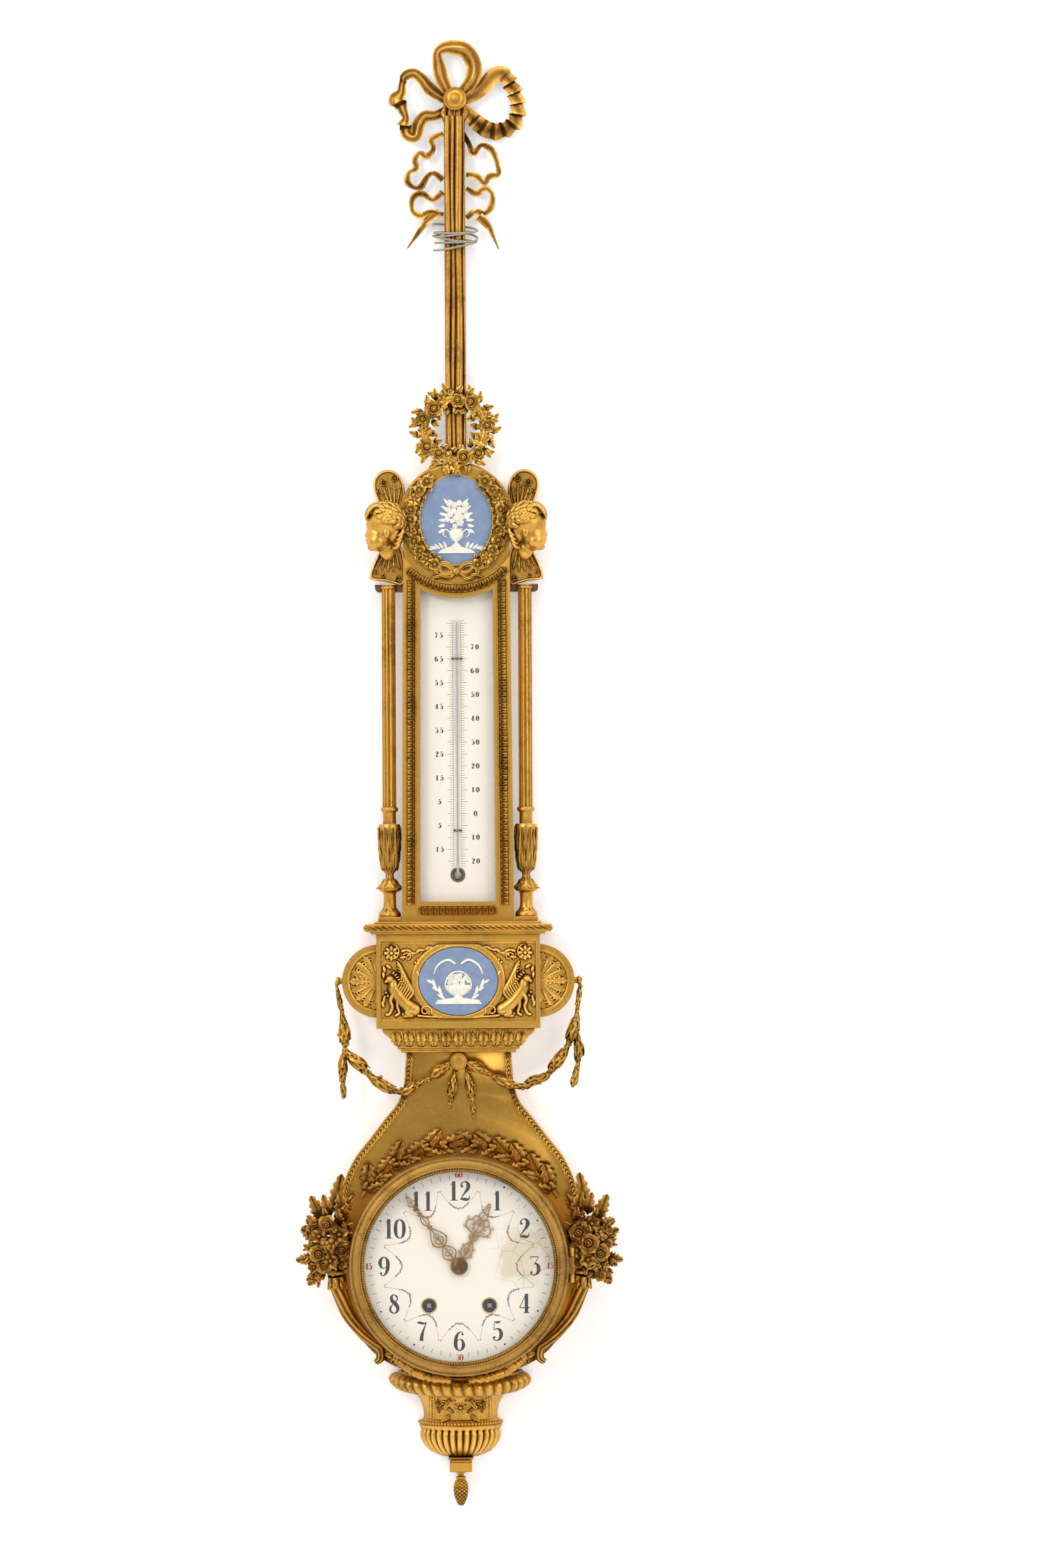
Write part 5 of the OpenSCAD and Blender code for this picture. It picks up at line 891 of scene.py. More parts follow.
# Gildings: share of the chosen gilt, share of it for the painted highlight on the ridges and the rubbed
# patches, brown, polish and grain.
# A share is the whole, then more or less of red and of blue. None is the common bright tone.
GILDINGS = {
    "plain_gilding": ((1.12, 1, 1), None, 0.28, 0.3, 0.12),
    "burnished_gilding": ((1.1, 1, 1), None, 0.16, 0.17, 0.05),
    "carved_gilding": ((1, 1, 1), None, 0.36, 0.26, 0.5),
    "brown_gilding": ((0.58, 1.1, 1.2), (1.3, 1, 1), 0.55, 0.27, 0.6),
    "cast_gilding": ((0.88, 1.02, 1), (1.5, 0.97, 1), 0.5, 0.28, 0.5),
    "dull_gilding": ((0.66, 0.98, 1.3), (1.1, 1, 1.3), 0.5, 0.4, 0.6),
    "pierced_gilding": ((0.8, 1.05, 1), (1.4, 1, 1), 0.3, 0.3, 0.2),
}
# Bare metals: tone, bright tone and dark tone as they look, brown, polish and grain
METALS = {
    "works_brass": ((205, 170, 95), (235, 205, 140), (110, 80, 35), 0.15, 0.3, 0.08),
    "bell_metal": ((190, 165, 120), (220, 200, 160), (90, 70, 40), 0.25, 0.3, 0.08),
    "works_steel": ((150, 150, 152), (200, 200, 205), (70, 66, 60), 0.2, 0.34, 0.1),
    "bore_silver": ((120, 122, 126), (170, 172, 176), (60, 60, 60), 0.1, 0.3, 0.05),
}
# Matt grounds and prints: tone and other tone as they look, stretch and scale of the patches, grain
# and roughness
EVEN = (1, 1, 1)
GROUNDS = {
    "cream_biscuit": ((232, 228, 214), (214, 208, 190), EVEN, 240.0, 0.08, 0.6),
    "print_black": ((28, 27, 28), (52, 50, 50), EVEN, 500.0, 0.02, 0.5),
    "print_red": ((176, 44, 34), (196, 66, 50), EVEN, 500.0, 0.02, 0.5),
    "print_gilt": ((150, 106, 40), (184, 140, 66), EVEN, 500.0, 0.02, 0.45),
    "print_pink": ((205, 96, 104), (222, 140, 140), EVEN, 500.0, 0.02, 0.5),
    "print_green": ((78, 116, 70), (110, 140, 90), EVEN, 500.0, 0.02, 0.5),
    "print_blue": ((88, 112, 170), (120, 140, 190), EVEN, 500.0, 0.02, 0.5),
    "board_wood": ((108, 74, 44), (140, 102, 64), (6, 1, 0.5), 70.0, 0.3, 0.6),
    "bracket_brown": ((84, 52, 22), (120, 80, 36), EVEN, 160.0, 0.2, 0.5),
    "tie_wire": ((60, 48, 34), (100, 80, 50), EVEN, 800.0, 0.1, 0.4),
}
# Glasses: tint, how much of it covers what is behind, and roughness
GLASSES = {
    "clear_glass": ((0.55, 0.56, 0.54), 0.035, 0.03),
    # Pale strips that paint the reflection on glass bevels.
    "bevel_reflection_glass": ((0.5, 0.52, 0.5), 0.3, 0.08),
    "tube_glass": ((0.74, 0.74, 0.7), 0.36, 0.05),
}


def gilding(name, share, highlight_and_rub_share, brown, polish, grain):
    """A gilding of the chosen gilt, with the dark tone for the patina and the painted shade in the hollows.
    """
    colours = bpy.context.scene.cartel_colours
    gilt, dark = tuple(colours.gilt), tuple(colours.patina)

    def toned(whole, red, blue):
        """The gilt made darker as a whole and in its red and blue."""
        return gilt[0] * whole * red, gilt[1] * whole, gilt[2] * whole * blue

    bright = toned(*highlight_and_rub_share) if highlight_and_rub_share else tuple(min(1, 1.6 * g + 0.07) for g in gilt)
    return gilded(name, toned(*share), bright, dark, brown, polish, grain)


def chosen(asked, name):
    """A finish in one of the other chosen colours."""
    colours = bpy.context.scene.cartel_colours
    if asked == "white_enamel":
        beside_two = (0.047, -DIAL_FACE / 1000, (DIAL_Z + 8) / 1000)
        return enamelled(name, tuple(colours.enamel), linear(196, 178, 138), beside_two, 0.036, 0.6)
    if asked == "scale_enamel":
        return enamelled(name, tuple(colours.enamel), linear(200, 190, 165), (0.0, 0.0, 0.2), 0.03, 0.0)
    if asked == "blue_biscuit":
        lighter = tuple(min(1, 1.15 * k + 0.015) for k in colours.biscuit)
        return patched(name, tuple(colours.biscuit), lighter, EVEN, 95.0, 0.08, 0.62)
    lighter = tuple(min(1, 1.6 * k) for k in colours.twine)
    return patched(name, tuple(colours.twine), lighter, (1, 1, 3), 700.0, 0.6, 0.85)


def finish(asked):
    """The named finish, made the first time it is asked for."""
    name = asked + "_finish"
    if name in bpy.data.materials:
        return bpy.data.materials[name]
    if asked in GILDINGS:
        return gilding(name, *GILDINGS[asked])
    if asked in METALS:
        tone, bright, dark, *rest = METALS[asked]
        return gilded(name, linear(*tone), linear(*bright), linear(*dark), *rest)
    if asked in GROUNDS:
        tone, other, *rest = GROUNDS[asked]
        return patched(name, linear(*tone), linear(*other), *rest)
    if asked in GLASSES:
        return clear(name, *GLASSES[asked])
    return chosen(asked, name)


# Shared shapes of the pieces


def ribbon(path, level, thick=1.3, crown=0.7, grooves=3, cut=0.35, lean=None, across=13, steps=6):
    """A pleated band along a path of x, z and width. lean gives how far one edge lifts along the band."""
    c = catmull(path, steps)
    c = evenly(c, len(c))
    d = np.gradient(c[:, :2], axis=0)
    d /= np.linalg.norm(d, axis=1)[:, None] + 1e-9
    side = np.stack([-d[:, 1], d[:, 0]], 1)
    v = np.linspace(-1, 1, across)[None, :]
    s = np.linspace(0, 1, len(c))[:, None]
    half = c[:, 2:3] / 2
    pleat = np.cos(math.pi * grooves * (v + 1))
    h = level + crown * (1 - v**2) + cut * pleat + (lean(s) if lean else 0) * v + 0 * s
    xz = c[:, None, :2] + v[..., None] * half[..., None] * side[:, None, :]
    top = np.concatenate([xz, h[..., None]], -1)
    under = top - [0, 0, thick]
    # Painted shade in the grooves of the pleats and all over the underside, painted highlight along the
    # edges.
    deep = np.clip(-pleat, -0.4, 1) * 0.7 + 0 * s - 0.4 * (np.abs(v) > 0.95)
    return loft(np.concatenate([top, under[:, ::-1]], 1), np.concatenate([deep, 0 * deep + 0.6], 1))


def blooms(spots, seed=0):
    """Roses, blossoms, berries and buds at x, z, h, radius and kind."""
    pick = np.random.default_rng(seed)
    roses, open_ones, heaps = [rose(k) for k in range(3)], [blossom(5 + k, k) for k in range(3)], [
        bunch(9, 0.62, 0.42, k) for k in range(2)]
    out = []
    for k, (x, z, h, r, kind) in enumerate(spots):
        form = {"r": roses[k % 3], "b": open_ones[k % 3], "o": heaps[k % 2]}[kind]
        out.append(form.put((x, z, h), pick.uniform(0, 360), pick.uniform(-12, 12), pick.uniform(-12, 12),
                            r))
    return out


def stood(form, x, z, h, r, spin, lean=0.0, down=False):
    """A leaf stood up round an upright axis. spin 90 faces the viewer, and lean tips it outwards."""
    a, b = math.radians(spin), math.radians(lean)
    length, across, off = form.p.T
    up = length * math.cos(b) - off * math.sin(b)
    out = r + off * math.cos(b) + length * math.sin(b)
    if down:
        up = -up
    points = np.stack([x + out * math.cos(a) - across * math.sin(a), z + up, h + out * math.sin(a) + across
                       * math.cos(a)], 1)
    return Form(points, form.q, form.t, form.d)


def turned_up(profile, x, z, h, sides=32, wave=None):
    """A solid turned about an upright axis."""
    return turned(profile, sides, "z", wave).put((x, z, h))


# How far in front of the wall the axis of the half urn lies
URN_AXIS = -6.0


def front_turned(profile, sides, wave):
    """The part in front of the wall of a solid turned about an upright axis just behind it."""
    rings, deeps = [], []
    for row, (r, z) in enumerate(profile):
        reach = math.acos(min(0.999, -URN_AXIS / r))
        t = np.linspace(-reach, reach, sides)
        radius, deep = wave(np.full(sides, float(r)), row, t)
        out = np.maximum(URN_AXIS + radius * np.cos(t), 0.05)
        rings.append(np.stack([radius * np.sin(t), np.full(sides, float(z)), out], 1))
        deeps.append(deep)
    return loft(np.array(rings), np.array(deeps))


def ring_path(r, z, h, start=0.0, end=360.0, count=181):
    """Points round a centre on the wall, clockwise when start is over end."""
    t = np.radians(np.linspace(start, end, count))
    return np.stack([r * np.cos(t), z + r * np.sin(t), np.full(count, float(h))], 1)


def acanthus(length, width, rise=0.16, tip=0.12, lobes=4, nu=17, nv=9):
    """A lobed and veined leaf."""
    return blade(length, width, rise=rise, tip=tip, cup=0.12, lobes=lobes, bite=0.34, shape=(0.75, 0.7),
                 thick=0.7, nu=nu, nv=nv, veins=1.0)


# Upper pieces: bow, tails, stem, twine, wreath


BOW_X, BOW_Z, STEM_FACE, TWINE_LOW = 0.5, 286.2, 12.0, 180.0
BOW_UPRIGHT = [(-4, 4, 7), (-9, 14, 10), (-11.5, 24, 9), (-12.6, 33, 6.4), (-8, 37.0, 9), (0, 37.4, 11.6),
               (8.5, 34.5, 11), (13.6, 25, 11.5), (13, 15, 11), (6, 5, 8)]
BOW_RIGHT = [(5, -1, 6), (13.8, 3.1, 9), (21.7, 9.9, 11), (28.6, 17.6, 11), (35, 18.6, 10.5),
             (40.3, 11, 10), (43.8, 3.6, 10.2), (45.6, -6.6, 10), (43.6, -15.6, 10.5), (38.2, -21, 10.5),
             (31.4, -23.2, 11.5), (24.6, -22.4, 12), (17.2, -18, 12), (11, -12, 10), (5, -5, 7)]
BOW_LEFT = [(-6, 0, 7), (-16.8, 6.5, 9), (-23.6, 14.4, 8), (-29.6, 19, 7), (-35.6, 17.2, 6.5),
            (-38.6, 11.4, 5), (-38.8, 5.5, 7), (-41.4, -0.4, 11), (-38.2, -7.4, 7), (-35.4, -13, 5),
            (-36.6, -19, 9.5), (-34.6, -25, 9.5), (-29, -26.4, 9), (-26.2, -17.9, 9.5), (-21.4, -12.2, 8.5),
            (-14, -11.6, 6.5), (-5, -7, 6)]
TAIL_UPPER = [(-8.2, 82), (-16.8, 77), (-15.1, 70.6), (-20.2, 65), (-24.8, 67.8), (-28.7, 62.6),
              (-27.6, 56.4), (-32.9, 53.4), (-34.2, 46.8), (-29.3, 42.6), (-24.2, 43.2), (-19.7, 50.6),
              (-14.6, 52.8), (-8.6, 48)]
TAIL_MIDDLE = [(-8.4, 39.2), (-16.3, 33.2), (-22.5, 38), (-29.7, 35.6), (-31, 26.2), (-24.6, 22), (-18, 25),
               (-8.4, 22.4)]
TAIL_END = [(-11, 24.6), (-18.4, 20.2), (-23.6, 13.6), (-28.7, 6.6), (-34.4, -1.4)]
RIGHT_UPPER = [(6, 81.5), (10.3, 74.7), (13.7, 66.8), (19.4, 73), (26.2, 70.2), (30.2, 62.3), (31.9, 52.1),
               (25.1, 50.4), (21.7, 45.3), (16, 50.4), (8.4, 52.1)]
RIGHT_MIDDLE = [(8.4, 41.9), (16, 37.9), (21.7, 41.9), (27.3, 37.3), (26.2, 28.3), (21.7, 23.8),
                (15.4, 24.9), (8.4, 20.4)]
RIGHT_END = [(17.3, 21.5), (23.9, 14.7), (27.3, 7.9), (31.6, -2.1)]


def creased(form, folds, start, end):
    """Presses sharp stepped folds across part of a ribbon's length, in the form itself."""
    rows = 26
    s = np.arange(len(form.p)) // rows / (len(form.p) // rows)
    share = np.clip((s - start) / 0.06, 0, 1) * np.clip((end - s) / 0.06, 0, 1)
    step = (s * folds * 1.6) % 1
    form.p[:, 2] += 3.2 * share * (step - 0.6)
    form.p[:, :2] *= (1 + 0.07 * share * (step - 0.5))[:, None]
    # Painted shade at the foot of each fold and a painted highlight at its crest.
    form.d += 1.1 * share * (step < 0.14) - 0.4 * share * (step > 0.8)


def swaying(turns, tall, start=0.0):
    """A lean for a ribbon that swings to and fro along it a number of turns."""

    def lean(s):
        """Height of the lean at a share of the ribbon's length."""
        return tall * np.sin(2 * math.pi * (turns * s + start))

    return lean


def make_bow():
    """Three loops, the neck below them and the round button."""
    loops = [ribbon(BOW_LEFT, 6.6, lean=swaying(2.4, 2.4), crown=0.6, grooves=2, cut=0.5, steps=10),
             ribbon(BOW_RIGHT, 6.4, lean=swaying(2.1, 2.0, 0.3), crown=0.5, grooves=1, cut=0.05, steps=10),
             ribbon(BOW_UPRIGHT, 8.0, lean=swaying(1.6, 2.6, 0.1), crown=0.8, grooves=2, cut=0.5, steps=10)]
    for form, folds, share in ((loops[0], 4, (0.3, 0.72)), (loops[1], 10, (0.3, 0.92))):
        creased(form, folds, *share)
    neck = [tube([(x, 284, 6.0), (1.7 * x, 276, 7.6), (1.15 * x, 270, 8.2), (x, 262, 9.6)],
                 [2.2, 2.5, 2.2, 0.8], 12) for x in (-4.8, -1.7, 1.7, 4.8)]
    heart = turned([(0.1, 2.2), (6.0, 2.2), (7.2, 8.5), (6.2, 12), (0.1, 12)], 32)
    piece("bow_loops", [f.put((BOW_X, BOW_Z, 0)) for f in loops + [heart]] + neck, "brown_gilding",
          instead=("ribbon_bow",))
    dome = [(0.1, 11.9), (8.2, 11.9), (8.5, 12.8), (8.0, 13.6), (7.0, 13.4), (6.7, 13.9), (5.4, 15.0),
            (3.6, 15.6), (1.6, 15.3), (1.2, 15.5), (0.1, 15.6)]
    piece("bow_button", turned(dome, 48).put((BOW_X, BOW_Z, 0)), "cast_gilding")


def make_tails():
    """The wavy ends of the ribbon on both sides of the stem."""
    out = []
    for k, (line, turns) in enumerate(((TAIL_UPPER, 4), (TAIL_MIDDLE, 2.6), (TAIL_END, 1.2),
                                       (RIGHT_UPPER, 3.6), (RIGHT_MIDDLE, 2.4), (RIGHT_END, 1))):
        last = len(line) - 1
        path = [(x, TWINE_LOW + z, 4.1 + 1.1 * math.sin(2.6 * i + k)) if k % 3 < 2
                else (x, TWINE_LOW + z, 5.6 * (1 - i / last) + 1.2) for i, (x, z) in enumerate(line)]
        sway = swaying(turns, 1.5)
        out.append(ribbon(path, 6.2, thick=1.0, crown=0.4, grooves=1, cut=0.3, across=7, lean=sway))
    piece("bow_tails", out, "brown_gilding", instead=("ribbon_tails",))


def make_stem():
    """A bundle of soft reeds of unequal width, cast by hand and not quite straight."""
    z = np.linspace(22.6, 274, 90)
    section, deep, reed = [], [], []
    for k, (mid, half) in enumerate(((-5.2, 2.1), (-1.5, 1.6), (2.9, 2.8), (6.6, 0.9))):
        for a in np.radians(np.linspace(152, 28, 8)):
            section.append((mid + half * math.cos(a) / 0.883, 8.5 + (2.3 + 0.3 * half) * math.sin(a)))
            # Painted shade on the sides of each reed, where the reeds meet, and a painted highlight on its
            # crest.
            deep.append(0.35 if math.sin(a) < 0.5 else -0.25 * (math.sin(a) > 0.9))
            reed.append(k)
    section += [(7.5, 7.6), (7.5, 3.05), (-7.5, 3.05), (-7.5, 7.6)]
    # Painted shade along the stem's flat sides.
    deep += [0.2, 0.3, 0.3, 0.2]
    reed += [3, 3, 0, 0]
    ring, reed = np.array(section), np.array(reed)
    rings = []
    for v in z:
        sway = 0.4 * np.sin(0.045 * v + 1.1 * reed)
        swell = 0.3 * np.sin(0.038 * v + 2.6 * reed) * (ring[:, 1] > 8)
        x = np.clip(ring[:, 0] + sway * (np.abs(ring[:, 0]) < 7), -7.5, 7.5)
        rings.append(np.stack([x, np.full(len(ring), v), ring[:, 1] + swell], 1))
    shades = np.broadcast_to(deep, (len(z), len(ring)))
    piece("reeded_stem", loft(np.array(rings), shades), "brown_gilding", instead=("stem",), angle=45)


def make_twine():
    """Twisted twine wound loosely round the stem."""
    size = bpy.context.scene.cartel_sizes
    pitch, turns, r = 2.7, 5, size.twine_radius * 1000
    mid, deep = (r + 0.5 + STEM_FACE + r + 0.5) / 2, STEM_FACE / 2
    k = np.arange(turns * 180 + 1) / 7.5
    t = 360 * k / 24 + 200
    reach = 15.2 + 1.2 * np.sin(np.radians(t / 2.3))
    a = np.radians(t)
    path = np.stack([reach * np.cos(a), TWINE_LOW + pitch * k / 24 + (2.2 + 1.2 * np.sin(0.43 * a))
                     * np.sin(a + 0.9 * np.sin(0.31 * a)), mid - deep * np.sin(a)], 1)
    grown("twisted_twine", [path], "bar", {"Radius": r / 1000, "Lobes": 3, "Depth": 0.3,
            "Twist": size.twine_twist, "Rim points": 12}, "twine", instead=("twine_binding",))


def make_wreath():
    """A ring of roses, blossoms and leaves."""
    x0, z0, level = -1.0, 46.8, 12.3
    spots, leaves = [], []
    for k in range(14):
        a = math.radians(360 / 14 * k + 6)
        r = 22.4 + (1.6 if k % 2 == 0 else -1.2)
        spots.append((x0 + r * math.cos(a), z0 + r * math.sin(a), level + 3.4, 5.6 + (k % 3) * 0.5,
                      "rbr"[k % 3]))
    for k in range(42):
        t = 360 / 42 * k + 3
        a, inner = math.radians(t), k % 3 == 0
        r = 18.2 if inner else 24.6 + 1.2 * (k % 2)
        turn = t + (155 if inner else (38 if k % 2 else -34)) + 9 * math.sin(5 * k)
        leaf = acanthus(7.4 if inner else 9.4, 5.8, rise=0.3, tip=0.1, lobes=3, nu=10, nv=7)
        leaves.append(leaf.put((x0 + r * math.cos(a), z0 + r * math.sin(a), level + 1.2 + 0.9 * (k % 3)),
                               turn, 10))
    t = np.linspace(0, 2 * math.pi, 49)
    core = tube(np.stack([x0 + 22.2 * np.cos(t), z0 + 22.2 * np.sin(t), np.full(49, 14.9)], 1), 3.4, 10)
    small = []
    for k in range(20):
        a, r = 0.314 * k + 0.1, 18.4 + 8.6 * (k % 2)
        small.append((x0 + r * math.cos(a), z0 + r * math.sin(a), level + 4.6, 2.7, "bo"[k // 2 % 2]))
    forms = blooms(spots + small, 5) + leaves + [core]
    piece("wreath_flowers", forms, "carved_gilding", instead=("flower_wreath",))


# Thermometer: frame, moulding, glass, scale, tube


def leaf_tile():
    """One leaf of the leaf moulding with the dart beside it."""
    leaf = blade(5.8, 3.8, rise=0.24, tip=-0.02, cup=-0.3, shape=(0.4, 0.95), thick=0.9, nu=8, nv=7,
                 veins=0.35)
    dart = ball(0.8, 7, 4).put((1.95, -1.9, 1.1))
    return tile_of("leaf_and_dart", join([leaf.put((0, 3.0, 0.9), -90), dart]))


def make_frame():
    """The frame's casting and the rim over its head."""
    eased("thermometer_frame", "plain_gilding", 0.6, name="frame_casting")
    rim = [(41.75, 13.0), (41.4, 14.0), (40.6, 14.7), (39.6, 14.5), (39.0, 14.1), (39.0, 13.2)]
    ring = lathe_ring(rim, 0.0, HEAD_Z, 35, 145)
    piece("head_rim", ring, "plain_gilding")


def lathe_ring(profile, x, z, start=0.0, end=360.0, count=121):
    """A closed moulding of radius and level, carried round a centre or along part of a circle."""
    whole = abs(end - start) >= 359.9
    t = np.radians(np.linspace(start, end, count, endpoint=not whole))
    rings = np.array([[(x + r * math.cos(a), z + r * math.sin(a), h) for r, h in profile] for a in t])
    return closed_grid(rings) if whole else loft(rings)


# The middle of the frame's foot, and how far the beads lie on both sides of its leaves
FOOT_Z, BEADS_OFF = -300.3, 3.3


def leaf_line(z):
    """How far the middle of the side leaves lies from the frame's middle at a height."""
    outer = 38.7 + (40.5 - 38.7) * (-34 - z) / 274.4 if z < -34 else 38.7
    inner = 26.3 + (27.4 - 26.3) * (-62 - z) / 232.0
    return (outer + inner) / 2


def make_moulding():
    """Leaves and beads along the sides, the arch and the foot of the opening."""
    size = bpy.context.scene.cartel_sizes
    step, level = size.leaf_step * 1000, FRAME_FACE + 0.05

    def leaves(name, paths, count, instead=()):
        """Rows of moulding leaves along paths."""
        values = {"Tile": leaf_tile(), "Count": count, "Out": OFF_THE_WALL, "Size": size.leaf_size}
        grown(name, paths, "moulding", values, "cast_gilding", instead=instead)

    z = np.array([-62.5, FRAME_FOOT + 14])
    sides = [[(s * leaf_line(v), v, level) for v in z[::s]] for s in (-1, 1)]
    leaves("frame_leaves", sides, int((z[0] - z[1]) / step), ("leaf_moulding",))
    leaves("arch_leaves", [ring_path(50.2, HEAD_Z, level, 270 - 43, 270 + 43, 61)], int(75 / step))
    leaves("foot_leaves", [[(26.4, FOOT_Z, level), (-26.4, FOOT_Z, level)]], int(52 / step))
    rails, level = [], FRAME_FACE + 0.2
    for s in (-1, 1):
        for off, r in ((-BEADS_OFF, 0.62), (BEADS_OFF, 0.5)):
            line = [(s * (leaf_line(v) + off), v, level) for v in np.linspace(-62, FRAME_FOOT + 12, 24)]
            rails.append(tube(line, r, 8))
    for r, w in ((46.8, 0.55), (53.6, 0.5)):
        rails.append(tube(ring_path(r, HEAD_Z, level, 270 - 42, 270 + 42, 49), w, 8))
    for dz in (-BEADS_OFF, BEADS_OFF):
        rails.append(tube([(v, FOOT_Z + dz, level) for v in np.linspace(-26, 26, 12)], 0.5, 8))
    piece("frame_beads", rails, "cast_gilding")


def flat_text_stroke(points, size, x, z, turn, level, high):
    """A stroke of changing width as a thin closed strip."""
    p = np.asarray(points, float)
    c = catmull(p, 5) if len(p) > 2 else p
    d = np.gradient(c[:, :2], axis=0)
    d /= np.linalg.norm(d, axis=1)[:, None] + 1e-9
    side = np.stack([-d[:, 1], d[:, 0]], 1) * c[:, 2:3] / 2
    a = math.radians(turn)
    m = np.array([[math.cos(a), math.sin(a)], [-math.sin(a), math.cos(a)]])
    left, right = ((c[:, :2] + side) * size) @ m + [x, z], ((c[:, :2] - side) * size) @ m + [x, z]
    rings = np.stack([np.column_stack([left, np.full(len(c), level)]),
                      np.column_stack([right, np.full(len(c), level)]),
                      np.column_stack([right, np.full(len(c), high)]),
                      np.column_stack([left, np.full(len(c), high)])], 1)
    return loft(rings)


DIGITS = {
    "1": [[(.16, .80, .02), (.30, .97, .03)], [(.32, 1, .13), (.32, 0, .13)],
        [(.14, .01, .025), (.52, .01, .025)]],
    "2": [[(.10, .74, .05), (.11, .88, .05), (.25, .985, .03), (.40, .93, .10), (.47, .76, .15),
        (.40, .56, .12), (.25, .36, .06), (.10, .14, .03), (.06, .05, .03)],
        [(.05, .05, .02), (.2, .07, .1), (.38, .05, .11), (.5, .1, .05), (.53, .25, .02)],
        (.13, .74, .07)],
    "3": [[(.08, .97, .03), (.50, .97, .03)], [(.08, .97, .03), (.08, .84, .02)],
        [(.50, .97, .02), (.30, .60, .025)],
        [(.24, .58, .03), (.38, .60, .07), (.49, .44, .14), (.48, .2, .13), (.34, .03, .05),
        (.18, .02, .03), (.08, .12, .05)], (.12, .15, .065)],
    "4": [[(.36, 1, .03), (.02, .27, .025)], [(.02, .27, .03), (.56, .27, .03)],
        [(.38, 1, .13), (.38, .02, .13)], [(.22, .01, .025), (.54, .01, .025)]],
    "5": [[(.14, .98, .03), (.30, .95, .09), (.46, 1, .03)], [(.13, .98, .02), (.11, .55, .02)],
        [(.11, .55, .02), (.25, .62, .04), (.42, .55, .11), (.49, .34, .14), (.42, .10, .1),
        (.26, .01, .03), (.1, .06, .04), (.08, .16, .05)], (.13, .17, .065)],
    "6": [[(.45, .85, .05), (.38, .98, .03), (.26, .96, .05), (.13, .78, .11), (.07, .48, .14),
        (.10, .18, .12), (.26, .01, .03), (.42, .12, .1), (.48, .32, .13), (.42, .53, .08), (.28, .6, .025),
        (.14, .5, .03)], (.43, .86, .06)],
    "7": [[(.05, .90, .02), (.06, 1, .03)], [(.06, .95, .05), (.2, .95, .1), (.38, .9, .06),
        (.52, .98, .02)], [(.52, .98, .02), (.38, .62, .06), (.28, .3, .12), (.25, 0, .14)]],
    "8": [[(.40, .86, .06), (.28, .98, .03), (.14, .88, .09), (.16, .68, .13), (.34, .50, .15),
        (.46, .3, .13), (.42, .1, .08), (.27, .01, .03)],
        [(.27, .01, .03), (.10, .1, .07), (.07, .28, .08), (.18, .45, .03), (.36, .62, .03),
        (.44, .78, .05), (.40, .90, .05), (.28, .985, .03)]],
    "0": [[(.27, .99, .03), (.10, .85, .1), (.05, .5, .14), (.10, .15, .1), (.27, .01, .03), (.44, .15, .1),
        (.49, .5, .14), (.44, .85, .1), (.27, .99, .03)]],
}
DIGITS["9"] = [[(.55 - p[0], 1 - p[1], p[2]) for p in s] if isinstance(s, list)
               else (.55 - s[0], 1 - s[1], s[2]) for s in DIGITS["6"]]


def number(text, tall, x, z, turn=0.0, level=0.0, high=0.0, spread=0.62, weight=1.0):
    """A number centred at a place, with its strokes as thin solids."""
    out = []
    width = spread * len(text) - (spread - 0.55)
    a = math.radians(turn)
    for k, digit in enumerate(text):
        left, low = (spread * k - width / 2) * tall, -tall / 2
        at = (x + left * math.cos(a) + low * math.sin(a), z - left * math.sin(a) + low * math.cos(a))
        for n, stroke in enumerate(DIGITS[digit]):
            lift = 0.0015 * (n + 1)
            if isinstance(stroke, tuple):
                u, v, r = (c * tall for c in stroke)
                out.append(turned([(r, level), (r, high + lift)], 14).put(
                    (at[0] + u * math.cos(a) + v * math.sin(a), at[1] - u * math.sin(a) + v
                     * math.cos(a), 0)))
            else:
                bold = [(u, v, w * weight + 0.02 * (weight - 1)) for u, v, w in stroke]
                out.append(flat_text_stroke(bold, tall, *at, -turn, level, high + lift))
    return out


def bar_mark(x0, z0, x1, z1, wide, level, high):
    """A thin straight mark between two places."""
    a, b = np.array([x0, z0], float), np.array([x1, z1], float)
    side = np.array([-(b - a)[1], (b - a)[0]]) / np.linalg.norm(b - a) * wide / 2
    return loft([[(*p, h) for p in (a + side, b + side, b - side, a - side)] for h in (level, high)])


def make_glass_front():
    """The glass before the scale, with painted reflection lines along its bevel."""
    lo, hi = span("thermometer_glass")
    eased("thermometer_glass", "clear_glass", 0.9, name="scale_glass", segments=1)
    half_low, half_top, z0, z1 = hi[0] - 0.2, hi[0] - 1.2, lo[1] + 0.4, hi[1] - 12
    bevel, level = 3.0, hi[2] + 0.02
    # Thin pale bars paint the reflection along the bevel's edges.
    edge = []
    for s in (-1, 1):
        line = []
        for z in np.linspace(z1, z0 + bevel, 20):
            half = half_top + (half_low - half_top) * (z1 - z) / (z1 - z0)
            line.append((s * half - s * bevel, z, level))
        edge.append(tube(line, 0.34, 5))
    edge.append(tube([(x, z0 + bevel, level) for x in np.linspace(-half_low + bevel, half_low - bevel, 8)],
                     0.16, 5))
    piece("glass_bevel", edge, "bevel_reflection_glass")


# Heights of zero on the scale and of ten degrees
SCALE_ZERO, TEN_DEGREES = -230.6, 17.2


